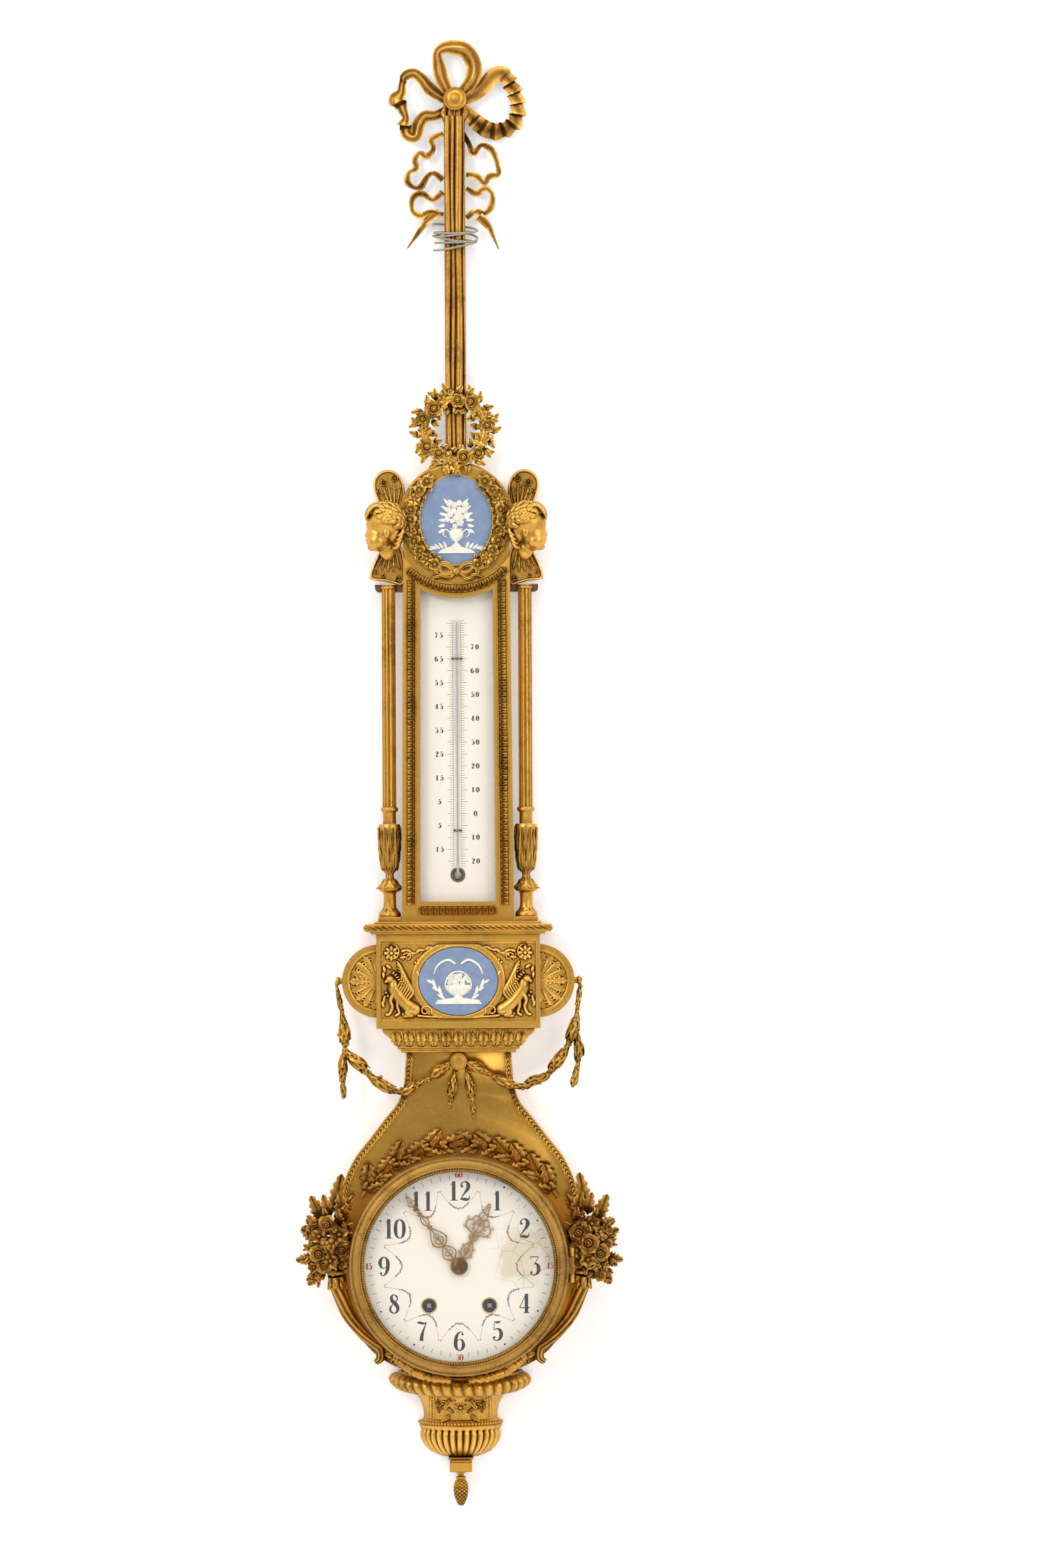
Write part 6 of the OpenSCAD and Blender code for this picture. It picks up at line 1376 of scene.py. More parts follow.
def scale_marks():
    """The graduation with its two lines and its figures."""
    low, high = SCALE_FACE, SCALE_FACE + 0.04
    tall, marks = bpy.context.scene.cartel_sizes.scale_figure_height * 1000, []
    for degree in range(-24, 82):
        z = SCALE_ZERO + degree * TEN_DEGREES / 10
        five = degree % 5 == 0
        wide = 7.2 if five else 5.4
        for s in (-1, 1):
            marks.append(bar_mark(s * 2.7, z, s * wide, z, 0.26 if five else 0.2, low, high))
    for s in (-1, 1):
        foot, top = SCALE_ZERO - 2.4 * TEN_DEGREES, SCALE_ZERO + 8.1 * TEN_DEGREES
        marks.append(bar_mark(s * 2.9, foot, s * 2.9, top, 0.18, low, high + 0.004))
    for k in range(10):
        left, right = str(abs(75 - 10 * k)), str(abs(70 - 10 * k))
        marks += number(left, tall, -13.1, SCALE_ZERO + (7.5 - k) * TEN_DEGREES, 0, low, high, 0.98, 2.1)
        marks += number(right, tall, 12.9, SCALE_ZERO + (7 - k) * TEN_DEGREES, 0, low, high, 0.98, 2.1)
    return marks


def wire_ties():
    """Doubled wires over the tube, with a twisted end at each side."""
    ties = []
    head = [(0.1, 0), (0.95, 0), (0.9, 0.5), (0.4, 0.75), (0.1, 0.75)]
    for z, r, mid in ((-118.6, 1.9, SCALE_FACE + 1.9), (-242.9, 1.0, SCALE_FACE + 1.4)):
        for dz in (-0.42, 0.42):
            arc, reach = np.radians(np.linspace(-8, 188, 15)), r + 0.62
            loop = np.stack([reach * np.cos(arc), np.full(15, z + dz), mid + reach * np.sin(arc)], 1)
            ties.append(tube(loop, 0.33, 6, up=(0, 1, 0)))
        for s in (-1, 1):
            ties.append(turned([(a, SCALE_FACE + h) for a, h in head], 12).put((s * (r + 1.3), z, 0)))
    return ties


def make_scale():
    """The enamel plate with its print, the tube with its bore, and the ties."""
    eased("scale_plate", "scale_enamel", 0.25, name="enamel_scale")
    piece("scale_figures", scale_marks(), "print_black")
    piece("thermometer_stem", thermometer_forms(), "tube_glass", instead=("thermometer_tube",))
    bore = [(0, z, SCALE_FACE + 1.9) for z in np.linspace(-92, -268, 30)]
    piece("tube_bore", tube(bore, 0.34, 8), "bore_silver")
    piece("wire_ties", wire_ties(), "tie_wire", instead=("tube_ties",))


def thermometer_forms():
    """The glass stem with its drawn-in top, its thin lower part and the turn back to the bulb."""
    top, back_z = span("thermometer_tube")[1][1], -275.1
    crown = top - 1.9 + 1.9 * np.sin(np.radians([88, 60, 30, 0]))
    z = np.concatenate([crown, np.linspace(top - 6, -176, 24), [-179, -181], np.linspace(-186, -268, 14)])
    r = np.concatenate([[0.12, 0.95, 1.65, 1.9], np.full(24, 1.9), [1.6, 1.1], np.full(14, 1.0)])
    level = SCALE_FACE + np.concatenate([np.full(28, 1.9), [1.75, 1.5], np.full(14, 1.4)])
    stem = tube(np.stack([0 * z, z, level], 1), r, 12)
    bend = np.radians(np.linspace(0, 90, 7))
    turn = np.stack([0 * bend, -272.1 - 3 * np.sin(bend), SCALE_FACE - 1.6 + 3 * np.cos(bend)], 1)
    back = np.concatenate([[[0, -268, SCALE_FACE + 1.4]], turn, [[0, back_z, SCALE_FACE - 3.2]]])
    return [stem, tube(back, 1.0, 12, up=(1, 0, 0)), ball(3.4, 20, 12).put((0, back_z, 5.8))]


def oval_ground(centre_z, a, b, low, high, crown):
    """A slightly domed oval plaque with a rounded edge."""
    t = 2 * math.pi * np.arange(96) / 96
    edge = [(1, low), (1, high - 0.5), (0.992, high - 0.12), (0.975, high)]
    dome = [(share, high + crown * rise) for share,
            rise in ((0.8, 0.36), (0.5, 0.75), (0.2, 0.96), (0.01, 1))]
    rings = []
    for s, h in edge + dome:
        rings.append(np.stack([s * a * np.cos(t), centre_z + s * b * np.sin(t), np.full(96, float(h))], 1))
    return loft(np.array(rings)[::-1])


def pressed(form, share):
    """A copy pressed towards the wall."""
    return Form(form.p * [1, 1, share], form.q, form.t, form.d)


def plaque_leaf(length, width, x, z, h, turn):
    """A low leaf on a plaque."""
    return pressed(blade(length, width, rise=0.16, nu=6, nv=5, veins=0.6), 0.7).put((x, z, h), turn)


def plaque_band(path, base):
    """A low narrow band on a plaque, along a path of x, z and width."""
    return ribbon(path, 0.6, thick=0.6, crown=0.3, grooves=1, cut=0.05, across=5).put((0, 0, base))


VASE = [(0.3, 0), (3.4, 0), (3.6, 0.8), (2.0, 1.6), (1.1, 2.6), (1.0, 3.6), (2.4, 4.4), (4.4, 6.6),
        (5.2, 9.4),
        (4.8, 11.2), (3.6, 12.0), (4.4, 12.8), (4.2, 13.2), (0.3, 13.2)]
VASE_GROUND = [(-14, -24.2), (14, -24.2), (11, -21.6), (4, -19.6), (-4, -19.4), (-10, -21.2)]
BOWL = [(0.3, 0), (3.6, 0), (4.0, 0.7), (2.6, 1.4), (3.2, 2.2), (6.6, 4.0), (9.2, 7.4), (9.8, 9.4),
        (9.2, 9.8),
        (0.3, 9.8)]
BOWL_GROUND = [(-17, -16.4), (17, -16.4), (15, -13.6), (6, -12.2), (-6, -12.2), (-15, -13.4)]


def make_upper_plaque():
    """A blue oval with a cream vase of flowers between sprays."""
    low, high = span("upper_plaque")[0][2], HEAD_FACE + 0.8
    ground = oval_ground(HEAD_Z, 26, 32.4, low, high, 0.2)
    piece("plaque_ground_above", ground, "blue_biscuit", instead=("upper_plaque",))
    base, z0 = high + 0.05, HEAD_Z
    forms = [pressed(turned(VASE, 28, "z"), 0.32).put((0, z0 - 19.5, base))]
    forms.append(loft([[(x, z, h) for x, z in VASE_GROUND] for h in (base, base + 0.7)]).put((0, z0, 0)))
    pick = np.random.default_rng(4)
    spots = []
    for k in range(17):
        q, a = math.sqrt((k + 0.5) / 17), 2.4 * k
        x, z = 8.6 * q * math.cos(a), z0 + 4.6 + 9.6 * q * math.sin(a)
        spots.append((x, z, base + 0.5, pick.uniform(1.8, 2.8), "rb"[k % 2]))
    for s in (-1, 1):
        handle = [(s * 4.6, z0 - 9, 0.8), (s * 8, z0 - 7, 1.0), (s * 9.4, z0 - 10.6, 0.9),
                  (s * 7, z0 - 13, 0.6)]
        forms.append(plaque_band(handle, base))
        for k in range(6):
            x, z, turn = s * (4.4 + 0.9 * k), z0 + 9.5 - 3.3 * k, 90 - s * (38 + 17 * k)
            forms.append(plaque_leaf(7.4 - 0.5 * k, 2.3, x, z, base + 0.2, turn))
        for k in range(5):
            x, z, turn = s * (7 + 2.4 * k), z0 - 20.6 - 0.2 * k, 90 - s * (24 + 14 * k)
            forms.append(plaque_leaf(5.4, 2.0, x, z, base + 0.2, turn))
    forms += [pressed(f.put((0, 0, -base)), 0.42).put((0, 0, base)) for f in blooms(spots, 9)]
    piece("plaque_vase", forms, "cream_biscuit")


def make_lower_plaque():
    """A blue oval with a cream bowl of flowers, its handle, sprays and a band above."""
    low, high, z0 = span("lower_plaque")[0][2], BOX_FACE + 0.35, BOX_Z
    ground = oval_ground(z0, 28.5, 24.6, low, high, 0.15)
    piece("plaque_ground_below", ground, "blue_biscuit", instead=("lower_plaque",))
    base = high + 0.05

    def ribs(r, row, t):
        """Shallow ribs all over the bowl."""
        return r * (1 + 0.04 * np.cos(18 * t + row)), 0.4 * np.cos(18 * t + row)

    forms = [pressed(turned(BOWL, 28, "z", wave=ribs), 0.3).put((0, z0 - 12.6, base))]
    arc = np.radians(np.linspace(0, 180, 25))
    handle = [(9.3 * math.cos(a), z0 - 3.4 + 10.5 * math.sin(a), 0.8) for a in arc]
    forms.append(tube(handle, 0.6, 6).put((0, 0, base)))
    forms.append(loft([[(x, z0 + z, h) for x, z in BOWL_GROUND] for h in (base, base + 0.7)]))
    pick = np.random.default_rng(8)
    spots = []
    for k in range(13):
        q, a = math.sqrt((k + 0.5) / 13), 2.4 * k + 1
        x, z = 8.4 * q * math.cos(a), z0 + 1.0 + 4.6 * q * math.sin(a)
        spots.append((x, z, 0.5, pick.uniform(1.8, 2.7), "rbo"[k % 3]))
    forms += [pressed(f, 0.42).put((0, 0, base)) for f in blooms(spots, 3)]
    for s in (-1, 1):
        for k in range(7):
            x, z, turn = s * (9.5 + 1.5 * k), z0 - 12.6 + 1.9 * k, 90 - s * (60 - 22 * (k % 3))
            forms.append(plaque_leaf(6.6 - 0.3 * k, 2.1, x, z, base + 0.2, turn))
        band = [(2, 12.5, 1.2), (7, 15.5, 1.6), (12.5, 13.4, 1.4), (16, 9.5, 1.2), (17.6, 5, 0.7)]
        forms.append(plaque_band([(s * x, z0 + z, wide) for x, z, wide in band], base))
    piece("plaque_basket", forms, "cream_biscuit")


def make_head_garlands():
    """Roses and leaves on both sides of the upper plaque, tied with a bow below it."""
    spots, leaves = [], []
    for s in (-1, 1):
        for k in range(10):
            t = math.radians(-62 + 12.5 * k)
            x, z = s * 33.4 * math.cos(t), HEAD_Z + 36 * math.sin(t) - 0.6
            spots.append((x, z, HEAD_FACE + 2.6 + 0.5 * (k % 3), 4.5 + 0.6 * (k % 2), "rbr"[k % 3]))
            out = math.degrees(math.atan2(36 * math.sin(t), s * 33.4 * math.cos(t)))
            for n, (turn, far) in enumerate(((out + 62 * s, 1.5), (out - 48 * s, 1.5), (out + 150, -3.4))):
                a = math.radians(out)
                leaves.append(acanthus(6.6 if n < 2 else 5.0, 3.8, rise=0.28, tip=0.1, lobes=3, nu=9,
                        nv=7).put((x + far * math.cos(a), z + far * math.sin(a), HEAD_FACE + 0.8 + 0.5 * n),
                        turn + 7 * math.sin(k * 2 + n), 8))
    core = [tube([(s * 33.4 * math.cos(t), HEAD_Z + 36 * math.sin(t) - 0.6, HEAD_FACE + 1.4)
                  for t in np.radians(np.linspace(-66, 62, 40))], 2.0, 8) for s in (-1, 1)]
    bz, bh = HEAD_Z - 37.2, HEAD_FACE + 2.6
    bow = []
    whole_turn = 2 * math.pi
    loop_sway, tail_sway = swaying(7 / whole_turn, 0.9), swaying(8 / whole_turn, 0.9, 1 / whole_turn)
    for s in (-1, 1):
        loop = [(s * 1, bz, 2.4), (s * 6, bz + 4.6, 3.8), (s * 11, bz + 5.2, 3.4), (s * 11.6, bz + 1.4, 3.0),
                (s * 7, bz - 1.4, 3.2), (s * 1, bz - 0.4, 2.2)]
        tail = [(s * 1.4, bz - 1, 2.2), (s * 7, bz - 4.6, 3.2), (s * 13, bz - 3.0, 3.0),
                (s * 18.5, bz - 4.6, 2.6)]
        bow.append(ribbon(loop, bh, thick=0.8, grooves=2, cut=0.2, lean=loop_sway))
        bow.append(ribbon(tail, bh - 0.6, thick=0.8, grooves=2, cut=0.2, lean=tail_sway))
    bow.append(turned([(0.1, HEAD_FACE), (2.6, HEAD_FACE), (3.0, bh), (2.2, bh + 1.8), (0.1, bh + 2.2)],
                      20).put((0, bz, 0)))
    rim = oval_bead(26.6, 33.0, HEAD_Z, HEAD_FACE, 0.9)
    piece("rose_garlands", blooms(spots, 11) + leaves + core + bow, "carved_gilding",
          instead=("head_garlands",))
    piece("plaque_rim_above", rim, "plain_gilding")


def oval_band(a, b, wide_a, wide_b, z, low, high):
    """A flat band with rounded edges between two ovals."""
    t = 2 * math.pi * np.arange(144) / 144
    rows = [(0, low), (0, high - 0.9), (0.06, high - 0.25), (0.16, high), (0.8, high), (0.95, high - 0.3),
            (1, high - 0.9), (1, low)]
    rings = []
    for q in t:
        across, up = math.cos(q), math.sin(q)
        rings.append([((a + (wide_a - a) * s) * across, z + (b + (wide_b - b) * s) * up, h) for s,
                      h in rows])
    return closed_grid(np.array(rings))


def oval_bead(a, b, z, level, r):
    """A round bead carried round an oval on the wall."""
    rings = []
    for q in 2 * math.pi * np.arange(120) / 120:
        n = np.array([math.cos(q) / a, math.sin(q) / b])
        n /= np.linalg.norm(n)
        c = np.array([a * math.cos(q), z + b * math.sin(q)])
        ring = []
        for w in 2 * math.pi * np.arange(8) / 8:
            ring.append((c[0] + n[0] * r * math.cos(w), c[1] + n[1] * r * math.cos(w), level + r
                         * math.sin(w)))
        rings.append(ring)
    return closed_grid(np.array(rings))


# Cherub heads, wings, brackets, columns


def egg(x, z, h, rx, rz, rh):
    """A ball drawn out to three radii."""
    form = ball(1.0, 24, 14)
    return Form(form.p * [rx, rz, rh] + [x, z, h], form.q, form.t)


def cherub_head():
    """A round faced child's head seen from the side, looking along x, for one remeshed skin."""
    parts = [egg(-2, 1.5, 0, 13.5, 13.2, 12), egg(2.2, -7.5, 0, 9.8, 11, 9.6),
             egg(5.4, 0.6, 0, 6.2, 6.4, 7.6), egg(8.9, -5.2, 0, 1.9, 3.0, 1.5),
             egg(10.7, -7.5, 0, 1.9, 1.6, 1.9),
             egg(10.4, -11.0, 0, 1.7, 1.05, 2.5), egg(9.9, -13.0, 0, 1.6, 1.15, 2.1),
             egg(8.0, -11.6, 0, 3.3, 3.8, 4.4), egg(7.4, -16.2, 0, 3.3, 2.7, 3.5),
             egg(1.5, -14.6, 0, 7.4, 4.8, 7), egg(-4, -18, -2, 6, 8, 6)]
    for s in (-1, 1):
        parts += [egg(3.6, -11.6, 4.9 * s, 6.5, 6.2, 5.0), egg(-3.4, -6, 10 * s, 2.6, 3.8, 1.8),
                  egg(7.5, -4.6, 4.1 * s, 1.9, 1.3, 1.8), egg(7.4, -1.4, 4.3 * s, 2.4, 0.85, 2.7)]
    return join(parts)


def lock(points, radii, flat=0.62):
    """A tapered curl of hair with two grooves."""
    c = catmull(points, 5)
    t = np.linspace(0, 1, len(c))
    r = np.interp(t, np.linspace(0, 1, len(radii)), radii)
    a = 2 * math.pi * np.arange(12) / 12
    groove = 1 - 0.16 * np.maximum(0, np.cos(3 * a + math.pi / 2))
    section = np.stack([groove * np.cos(a), flat * groove * np.sin(a)], 1)
    out = np.asarray(c) - [-2, 2, 0]
    p = np.asarray(c, float)
    d = np.gradient(p, axis=0)
    d /= np.linalg.norm(d, axis=1)[:, None] + 1e-9
    side = np.cross(d, out)
    side /= np.linalg.norm(side, axis=1)[:, None] + 1e-9
    away = np.cross(side, d)
    rings = p[:, None] + (section[None, :, :1] * side[:, None] + section[None, :, 1:] * away[:, None]) * r[
        :, None, None]
    # Painted shade in the grooves of each lock, a faint painted highlight between them.
    deep = np.broadcast_to(0.6 * np.maximum(0, np.cos(3 * a + math.pi / 2)) - 0.15, (len(c), 12))
    return loft(rings, deep)


def hair_locks():
    """A close cap of hair, with wavy locks combed back from the brow and short curls at the nape."""
    out = [egg(-3.0, 2.4, 0, 13.3, 13.2, 12.5), egg(-8.6, -5.5, 0, 6.2, 8.4, 8.6)]
    for side in (-1, 1):
        for row in range(6):
            b = math.radians(6 + 15 * row)
            for k in range(6):
                a = math.radians(14 + 31 * k + 11 * (row % 2))
                if math.cos(a) * math.cos(b) > 0.62 and row > 1:
                    continue
                points = []
                for q in np.linspace(0, 1, 6):
                    t = a + 0.78 * q
                    c = b + 0.11 * math.sin(5.2 * q + 1.3 * k + row)
                    r = 13.5 + 0.55 * math.sin(math.pi * q)
                    points.append((-3 + r * math.cos(t) * math.cos(c), 2.4 + r * math.sin(t) * math.cos(c),
                                   side * 0.94 * r * math.sin(c)))
                out.append(lock(points, [0.8, 1.7, 2.0, 1.9, 1.5, 0.4], 0.75))
    for h, start in ((0.2, 12.6), (3.4, 12.3), (-3.2, 12.3), (6.4, 11.2), (-6.2, 11.2)):
        line = [(1.0, start + 3.0, h), (5.0, start + 2.2, h * 1.05), (8.6, start - 0.6, h * 1.1),
                (10.9, start - 4.4, h), (11.3, start - 8.0, h * 0.8)]
        out.append(lock(line, [1.2, 2.3, 2.5, 2.0, 0.4], 0.8))
    for k in range(8):
        t, up = (-1) ** k, k // 2
        line = [(-13.8 + up, -1.5 - 3.2 * up, 4.5 * t), (-15.0 + up, -5 - 3.0 * up, 6.2 * t),
                (-13.0 + up, -8 - 3.0 * up, 7.4 * t), (-10.6 + up, -7.4 - 3.0 * up, 6.6 * t)]
        out.append(lock(line, [1.2, 2.4, 2.0, 0.5], 0.8))
    return join(out)


def on_bracket(form, side):
    """Moves a head to its bracket, on the right side as it is and on the left side mirrored."""
    moved = form.put((53.5, -22, 20))
    return moved if side > 0 else moved.mirrored()


def make_cherubs():
    """Both heads as one smooth skin each, with their hair."""
    voxel = bpy.context.scene.cartel_sizes.cherub_fineness
    head, hair = cherub_head(), hair_locks()
    for side, name in ((1, "right"), (-1, "left")):
        face = mesh_of("cherub_face_" + name, on_bracket(head, side))
        obj = finished("cherub_face_" + name, face, "carved_gilding", 70)
        skin = obj.modifiers.new("Skin", "REMESH")
        skin.mode = "VOXEL"
        skin.voxel_size = voxel
        skin.use_smooth_shade = True
        soft = obj.modifiers.new("Soft", "SMOOTH")
        soft.factor = 0.6
        soft.iterations = 5
        bake(obj)
        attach(obj, "root")
        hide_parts("cherub_" + name)
        piece("cherub_curls_" + name, on_bracket(hair, side), "carved_gilding", angle=60)


def vane(field, root, tips, rim, curls, tall):
    """A gauze wing: double ribs from the root, a raised rim, cross ribs and small scrolls near the edge."""
    r = np.asarray(root, float)
    for tx, tz in tips:
        t = np.array([tx, tz], float)
        side = np.array([-(t - r)[1], (t - r)[0]]) / np.linalg.norm(t - r)
        for off in (-0.42, 0.42):
            rows = [(*(r + s * (t - r) + side * off * s * 1.3), w, h * tall) for s, w,
                    h in ((0.12, 0.4, 1.0), (0.5, 0.42, 0.8), (0.86, 0.4, 0.75))]
            field.stroke(rows, 4)
    for a, b in zip(tips[:-1], tips[1:]):
        for s in (0.52, 0.74):
            p, q = r + s * (np.array(a) - r), r + s * (np.array(b) - r)
            field.stroke([(*p, 0.3, 0.55 * tall),
                    (*((p + q) / 2 + (p + q - 2 * r) * 0.02), 0.3, 0.55 * tall), (*q, 0.3, 0.55 * tall)], 3)
    for k in range(len(rim)):
        a, b = rim[k], rim[(k + 1) % len(rim)]
        field.stroke([(*a, 0.85, 1.05 * tall), (*b, 0.85, 1.05 * tall)])
    for x, z, size, start, turns in curls:
        field.curl(x, z, size, start, turns, 0.52, 1.0 * tall)


def make_wings():
    """The upper and the lower wing of each head."""
    x0 = 38.7
    upper = [(2.3, -16), (-1.2, -2), (-0.7, 8), (2.8, 15), (8.3, 18.2), (14.8, 17.6), (19.9, 13), (21.1, 6),
             (18.3, -4), (13.3, -16)]
    lower = [(3.3, -34), (-0.7, -44), (-0.7, -64.3), (6.3, -64.3), (13.3, -62.4), (23.7, -60.6),
             (21.3, -50), (17.3, -42), (13.3, -34)]
    forms = []
    for line, root, tips, curls, level, base, tall in (
        (upper, (6.0, -17), [(1.4, 9), (6, 12.6), (11.4, 12.4), (15.4, 9.4), (17.8, 3.2)],
         [(6.2, 12.2, 2.9, 100, 1.4), (13.0, 9.0, 2.9, 60, -1.4), (17.2, 2.6, 1.7, 90, -1.0)], 4.0, 6.6,
         1.5),
        (lower, (7.6, -30), [(1.6, -58), (6.2, -60), (11.4, -59.6), (16.4, -58.4), (20.6, -56)],
         [(4.0, -60.6, 1.9, 90, 1.2), (13.6, -58.4, 1.7, 90, -1.2), (19.4, -56.2, 1.6, 90, 1.2)], 9.0,
         14.2, 1.6)):
        field = Relief(x0 - 4, x0 + 27, min(p[1] for p in line) - 2, max(p[1] for p in line) + 2, 0.25)
        outline = evenly(catmull([(x0 + x, z) for x, z in line + line[:1]], 8), 161)[:-1]
        centre = outline.mean(0)
        inner = centre + (outline - centre) * 0.93
        vane(field, (x0 + root[0], root[1]), [(x0 + x, z) for x, z in tips], inner[::2],
             [(x0 + x, z, r, a, n) for x, z, r, a, n in curls], tall)
        forms.append(field.plate(centre, outline, 50, level, base, 0.6))
    piece("carved_wings", both(forms), "carved_gilding", instead=("cherub_wings",), angle=60)


def make_brackets():
    """The brackets that the heads stand on."""
    eased("capital_brackets", "bracket_brown", 0.35, name="shaped_brackets")


def make_columns():
    """Shafts with their collars, and feet with leaves."""
    size = bpy.context.scene.cartel_sizes
    x0, level = 49.3, 11.0
    lines = [[(s * x0, z, level) for z in np.linspace(-237.5, -65.2, 60)] for s in (-1, 1)]
    grown("fluted_shafts", [[(x, z, h) for x, z, h in line if z > -229] for line in lines], "bar",
          {"Radius": 0.005, "Lobes": 12, "Depth": size.flute_depth, "Twist": 0.0, "Rim points": 144},
          "cast_gilding", instead=("column_shafts",), angle=35)
    collar = [(0.2, 0), (4.7, 0), (4.7, 8.2), (5.4, 8.8), (6.2, 9.6), (6.35, 10.5), (6.2, 11.4),
              (5.3, 12.1), (5.3, 12.4), (0.2, 12.4)]
    top = [(0.2, 0), (5.2, 0), (5.9, 0.7), (5.9, 1.6), (5.2, 2.3), (0.2, 2.3)]
    rings = [turned_up(collar, s * x0, -238, level, 40) for s in (-1, 1)] + [
        turned_up(top, s * x0, -68.2, level, 40) for s in (-1, 1)]
    piece("column_collars", rings, "cast_gilding")
    foot_z = -308.4

    def reeds(r, row, t):
        """Reeds on the swelling of the foot, with painted shade in their hollows."""
        hollow = np.where((row >= 13) & (row <= 18), 1.0, 0.0) * (0.5 + 0.5 * np.cos(10 * t))
        return r * (1 - 0.05 * hollow), 0.7 * hollow

    profile = [(0.2, 3.5), (7.8, 3.5), (8.0, 4.6), (7.6, 6.6), (6.2, 7.6), (5.0, 9.2), (4.5, 12),
               (4.5, 19.6), (5.2, 21.2), (7.4, 22.0), (8.3, 23), (8.4, 24.2), (7.8, 25.4),
               (6.6, 28), (5.4, 30), (3.2, 31.2), (3.0, 34.6), (4.8, 36.4), (6.2, 39.4), (6.8, 46),
               (7.0, 54), (7.4, 62), (8.1, 66.2), (8.2, 68), (7.4, 70.2), (0.2, 70.2)]
    forms = [turned_up(profile, x0, foot_z, level, 60, reeds)]
    plinth = []
    for w, z in ((8.3, 0), (8.3, 3.0), (7.9, 3.5)):
        plinth.append([(x0 + a * w, foot_z + z, level + b * w) for a,
                       b in ((-1, -1), (1, -1), (1, 1), (-1, 1))])
    forms.append(loft(plinth))
    for k in range(8):
        spin = 45 * k + 22.5
        forms.append(stood(blade(31, 5.4, rise=0.03, tip=0.05, cup=-0.1, shape=(0.4, 0.6), nu=13, nv=7,
                                 veins=0.9), x0, foot_z + 36.8, level, 5.7, spin, 3))
        forms.append(stood(blade(29, 3.4, rise=0.02, tip=0.03, cup=-0.1, shape=(0.5, 0.7), nu=11, nv=5,
                                 veins=0.9), x0, foot_z + 37, level, 5.9, spin + 22.5, 3.4))
        forms.append(stood(blade(8.4, 4.4, rise=0.05, tip=0.05, nu=7, nv=5, veins=0.8), x0, foot_z + 29.6,
                           level, 4.6, spin, 42, True))
        forms.append(stood(blade(5.4, 3.4, rise=0.06, tip=0.04, nu=6, nv=5, veins=0.8), x0, foot_z + 9.6,
                           level, 5.2, spin, 30, True))
    piece("column_bases", both(forms), "cast_gilding", instead=("column_feet",), angle=60)


# Box, its cornices, relief and lobes


def make_box():
    """The box, its cornices, their leaves and the twisted roll."""
    eased("box_case", "plain_gilding", 0.5, name="box_casting")
    eased("box_cornices", "plain_gilding", 0.6, name="cornice_castings", segments=3)
    forms = []
    for k in range(11):
        x = (k - 5) * 9.2
        lean = -x * 0.2
        leaf = acanthus(11.4, 9.6, rise=0.22, tip=0.3, lobes=4, nu=13, nv=9)
        forms.append(leaf.put((x, -386.6, 26.9), -90 + lean, -4))
        forms.append(ball(0.9, 8, 5).put((x + 0.2 * lean, -395.6, 28.8)))
        if k < 10:
            x1 = x + 4.6
            forms.append(tube([(x1, -386.6, 27.4), (x1 - 0.02 * x1, -391.0, 28.0),
                               (x1 - x1 * 0.05, -397.2, 27.2)], [0.9, 0.75, 0.3], 8))
    for z, half, r in ((-386.0, 54.6, 0.9), (-398.9, 43.6, 1.0), (-401.9, 41.4, 0.8)):
        forms.append(tube([(x, z, 26.9) for x in np.linspace(-half, half, 24)], r, 10))
    piece("cornice_leaves", forms, "cast_gilding", angle=60)
    out, h = BOX_HALF + 6.0, BOX_FACE + 4.6
    corner = [(-out - 0.6, -312.9, 2.5), (-out - 0.6, -312.9, h), (out + 0.6, -312.9, h),
              (out + 0.6, -312.9, 2.5)]
    path = []
    for a, b in zip(corner[:-1], corner[1:]):
        path += [np.array(a) + (np.array(b) - a) * t
                 for t in np.linspace(0, 1, 60 if abs(b[0] - a[0]) > 9 else 20, endpoint=False)]
    path.append(np.array(corner[-1]))
    size = bpy.context.scene.cartel_sizes
    grown("cornice_roll", [path], "bar", {"Radius": 0.0026, "Lobes": 6, "Depth": 0.34,
            "Twist": size.roll_twist, "Rim points": 36}, "cast_gilding", angle=40)


def draw_rosette(field):
    """The rosette in the upper corner, in its scroll."""
    for k in range(8):
        a = 2 * math.pi * k / 8
        field.mound(48 + 3.5 * math.cos(a), 20.4 + 3.5 * math.sin(a), 2.5, 1.5, 2.4, math.degrees(a))
    field.mound(48, 20.4, 1.8, 1.8, 3.0)
    field.curl(48, 20.4, 6.8, 80, 0.98, 0.75, 1.9)


def draw_swag(field):
    """Leaves and berries along the top, from the middle to the rosette."""
    for k in range(6):
        x, z = 4 + 6.6 * k, 25.2 - 0.3 * k * k
        for turn in (158, 18):
            field.frond(x, z, 5.4, 1.3, 1.6, turn - 5 * k)
        field.mound(x + 2.6, z - 1.9, 0.7, 0.7, 1.4)
    field.stroke([(1, 25.4, 0.6, 1.1), (18, 24.6, 0.6, 1.1), (30, 20.6, 0.6, 1.1), (40, 13.5, 0.5, 1.0)])


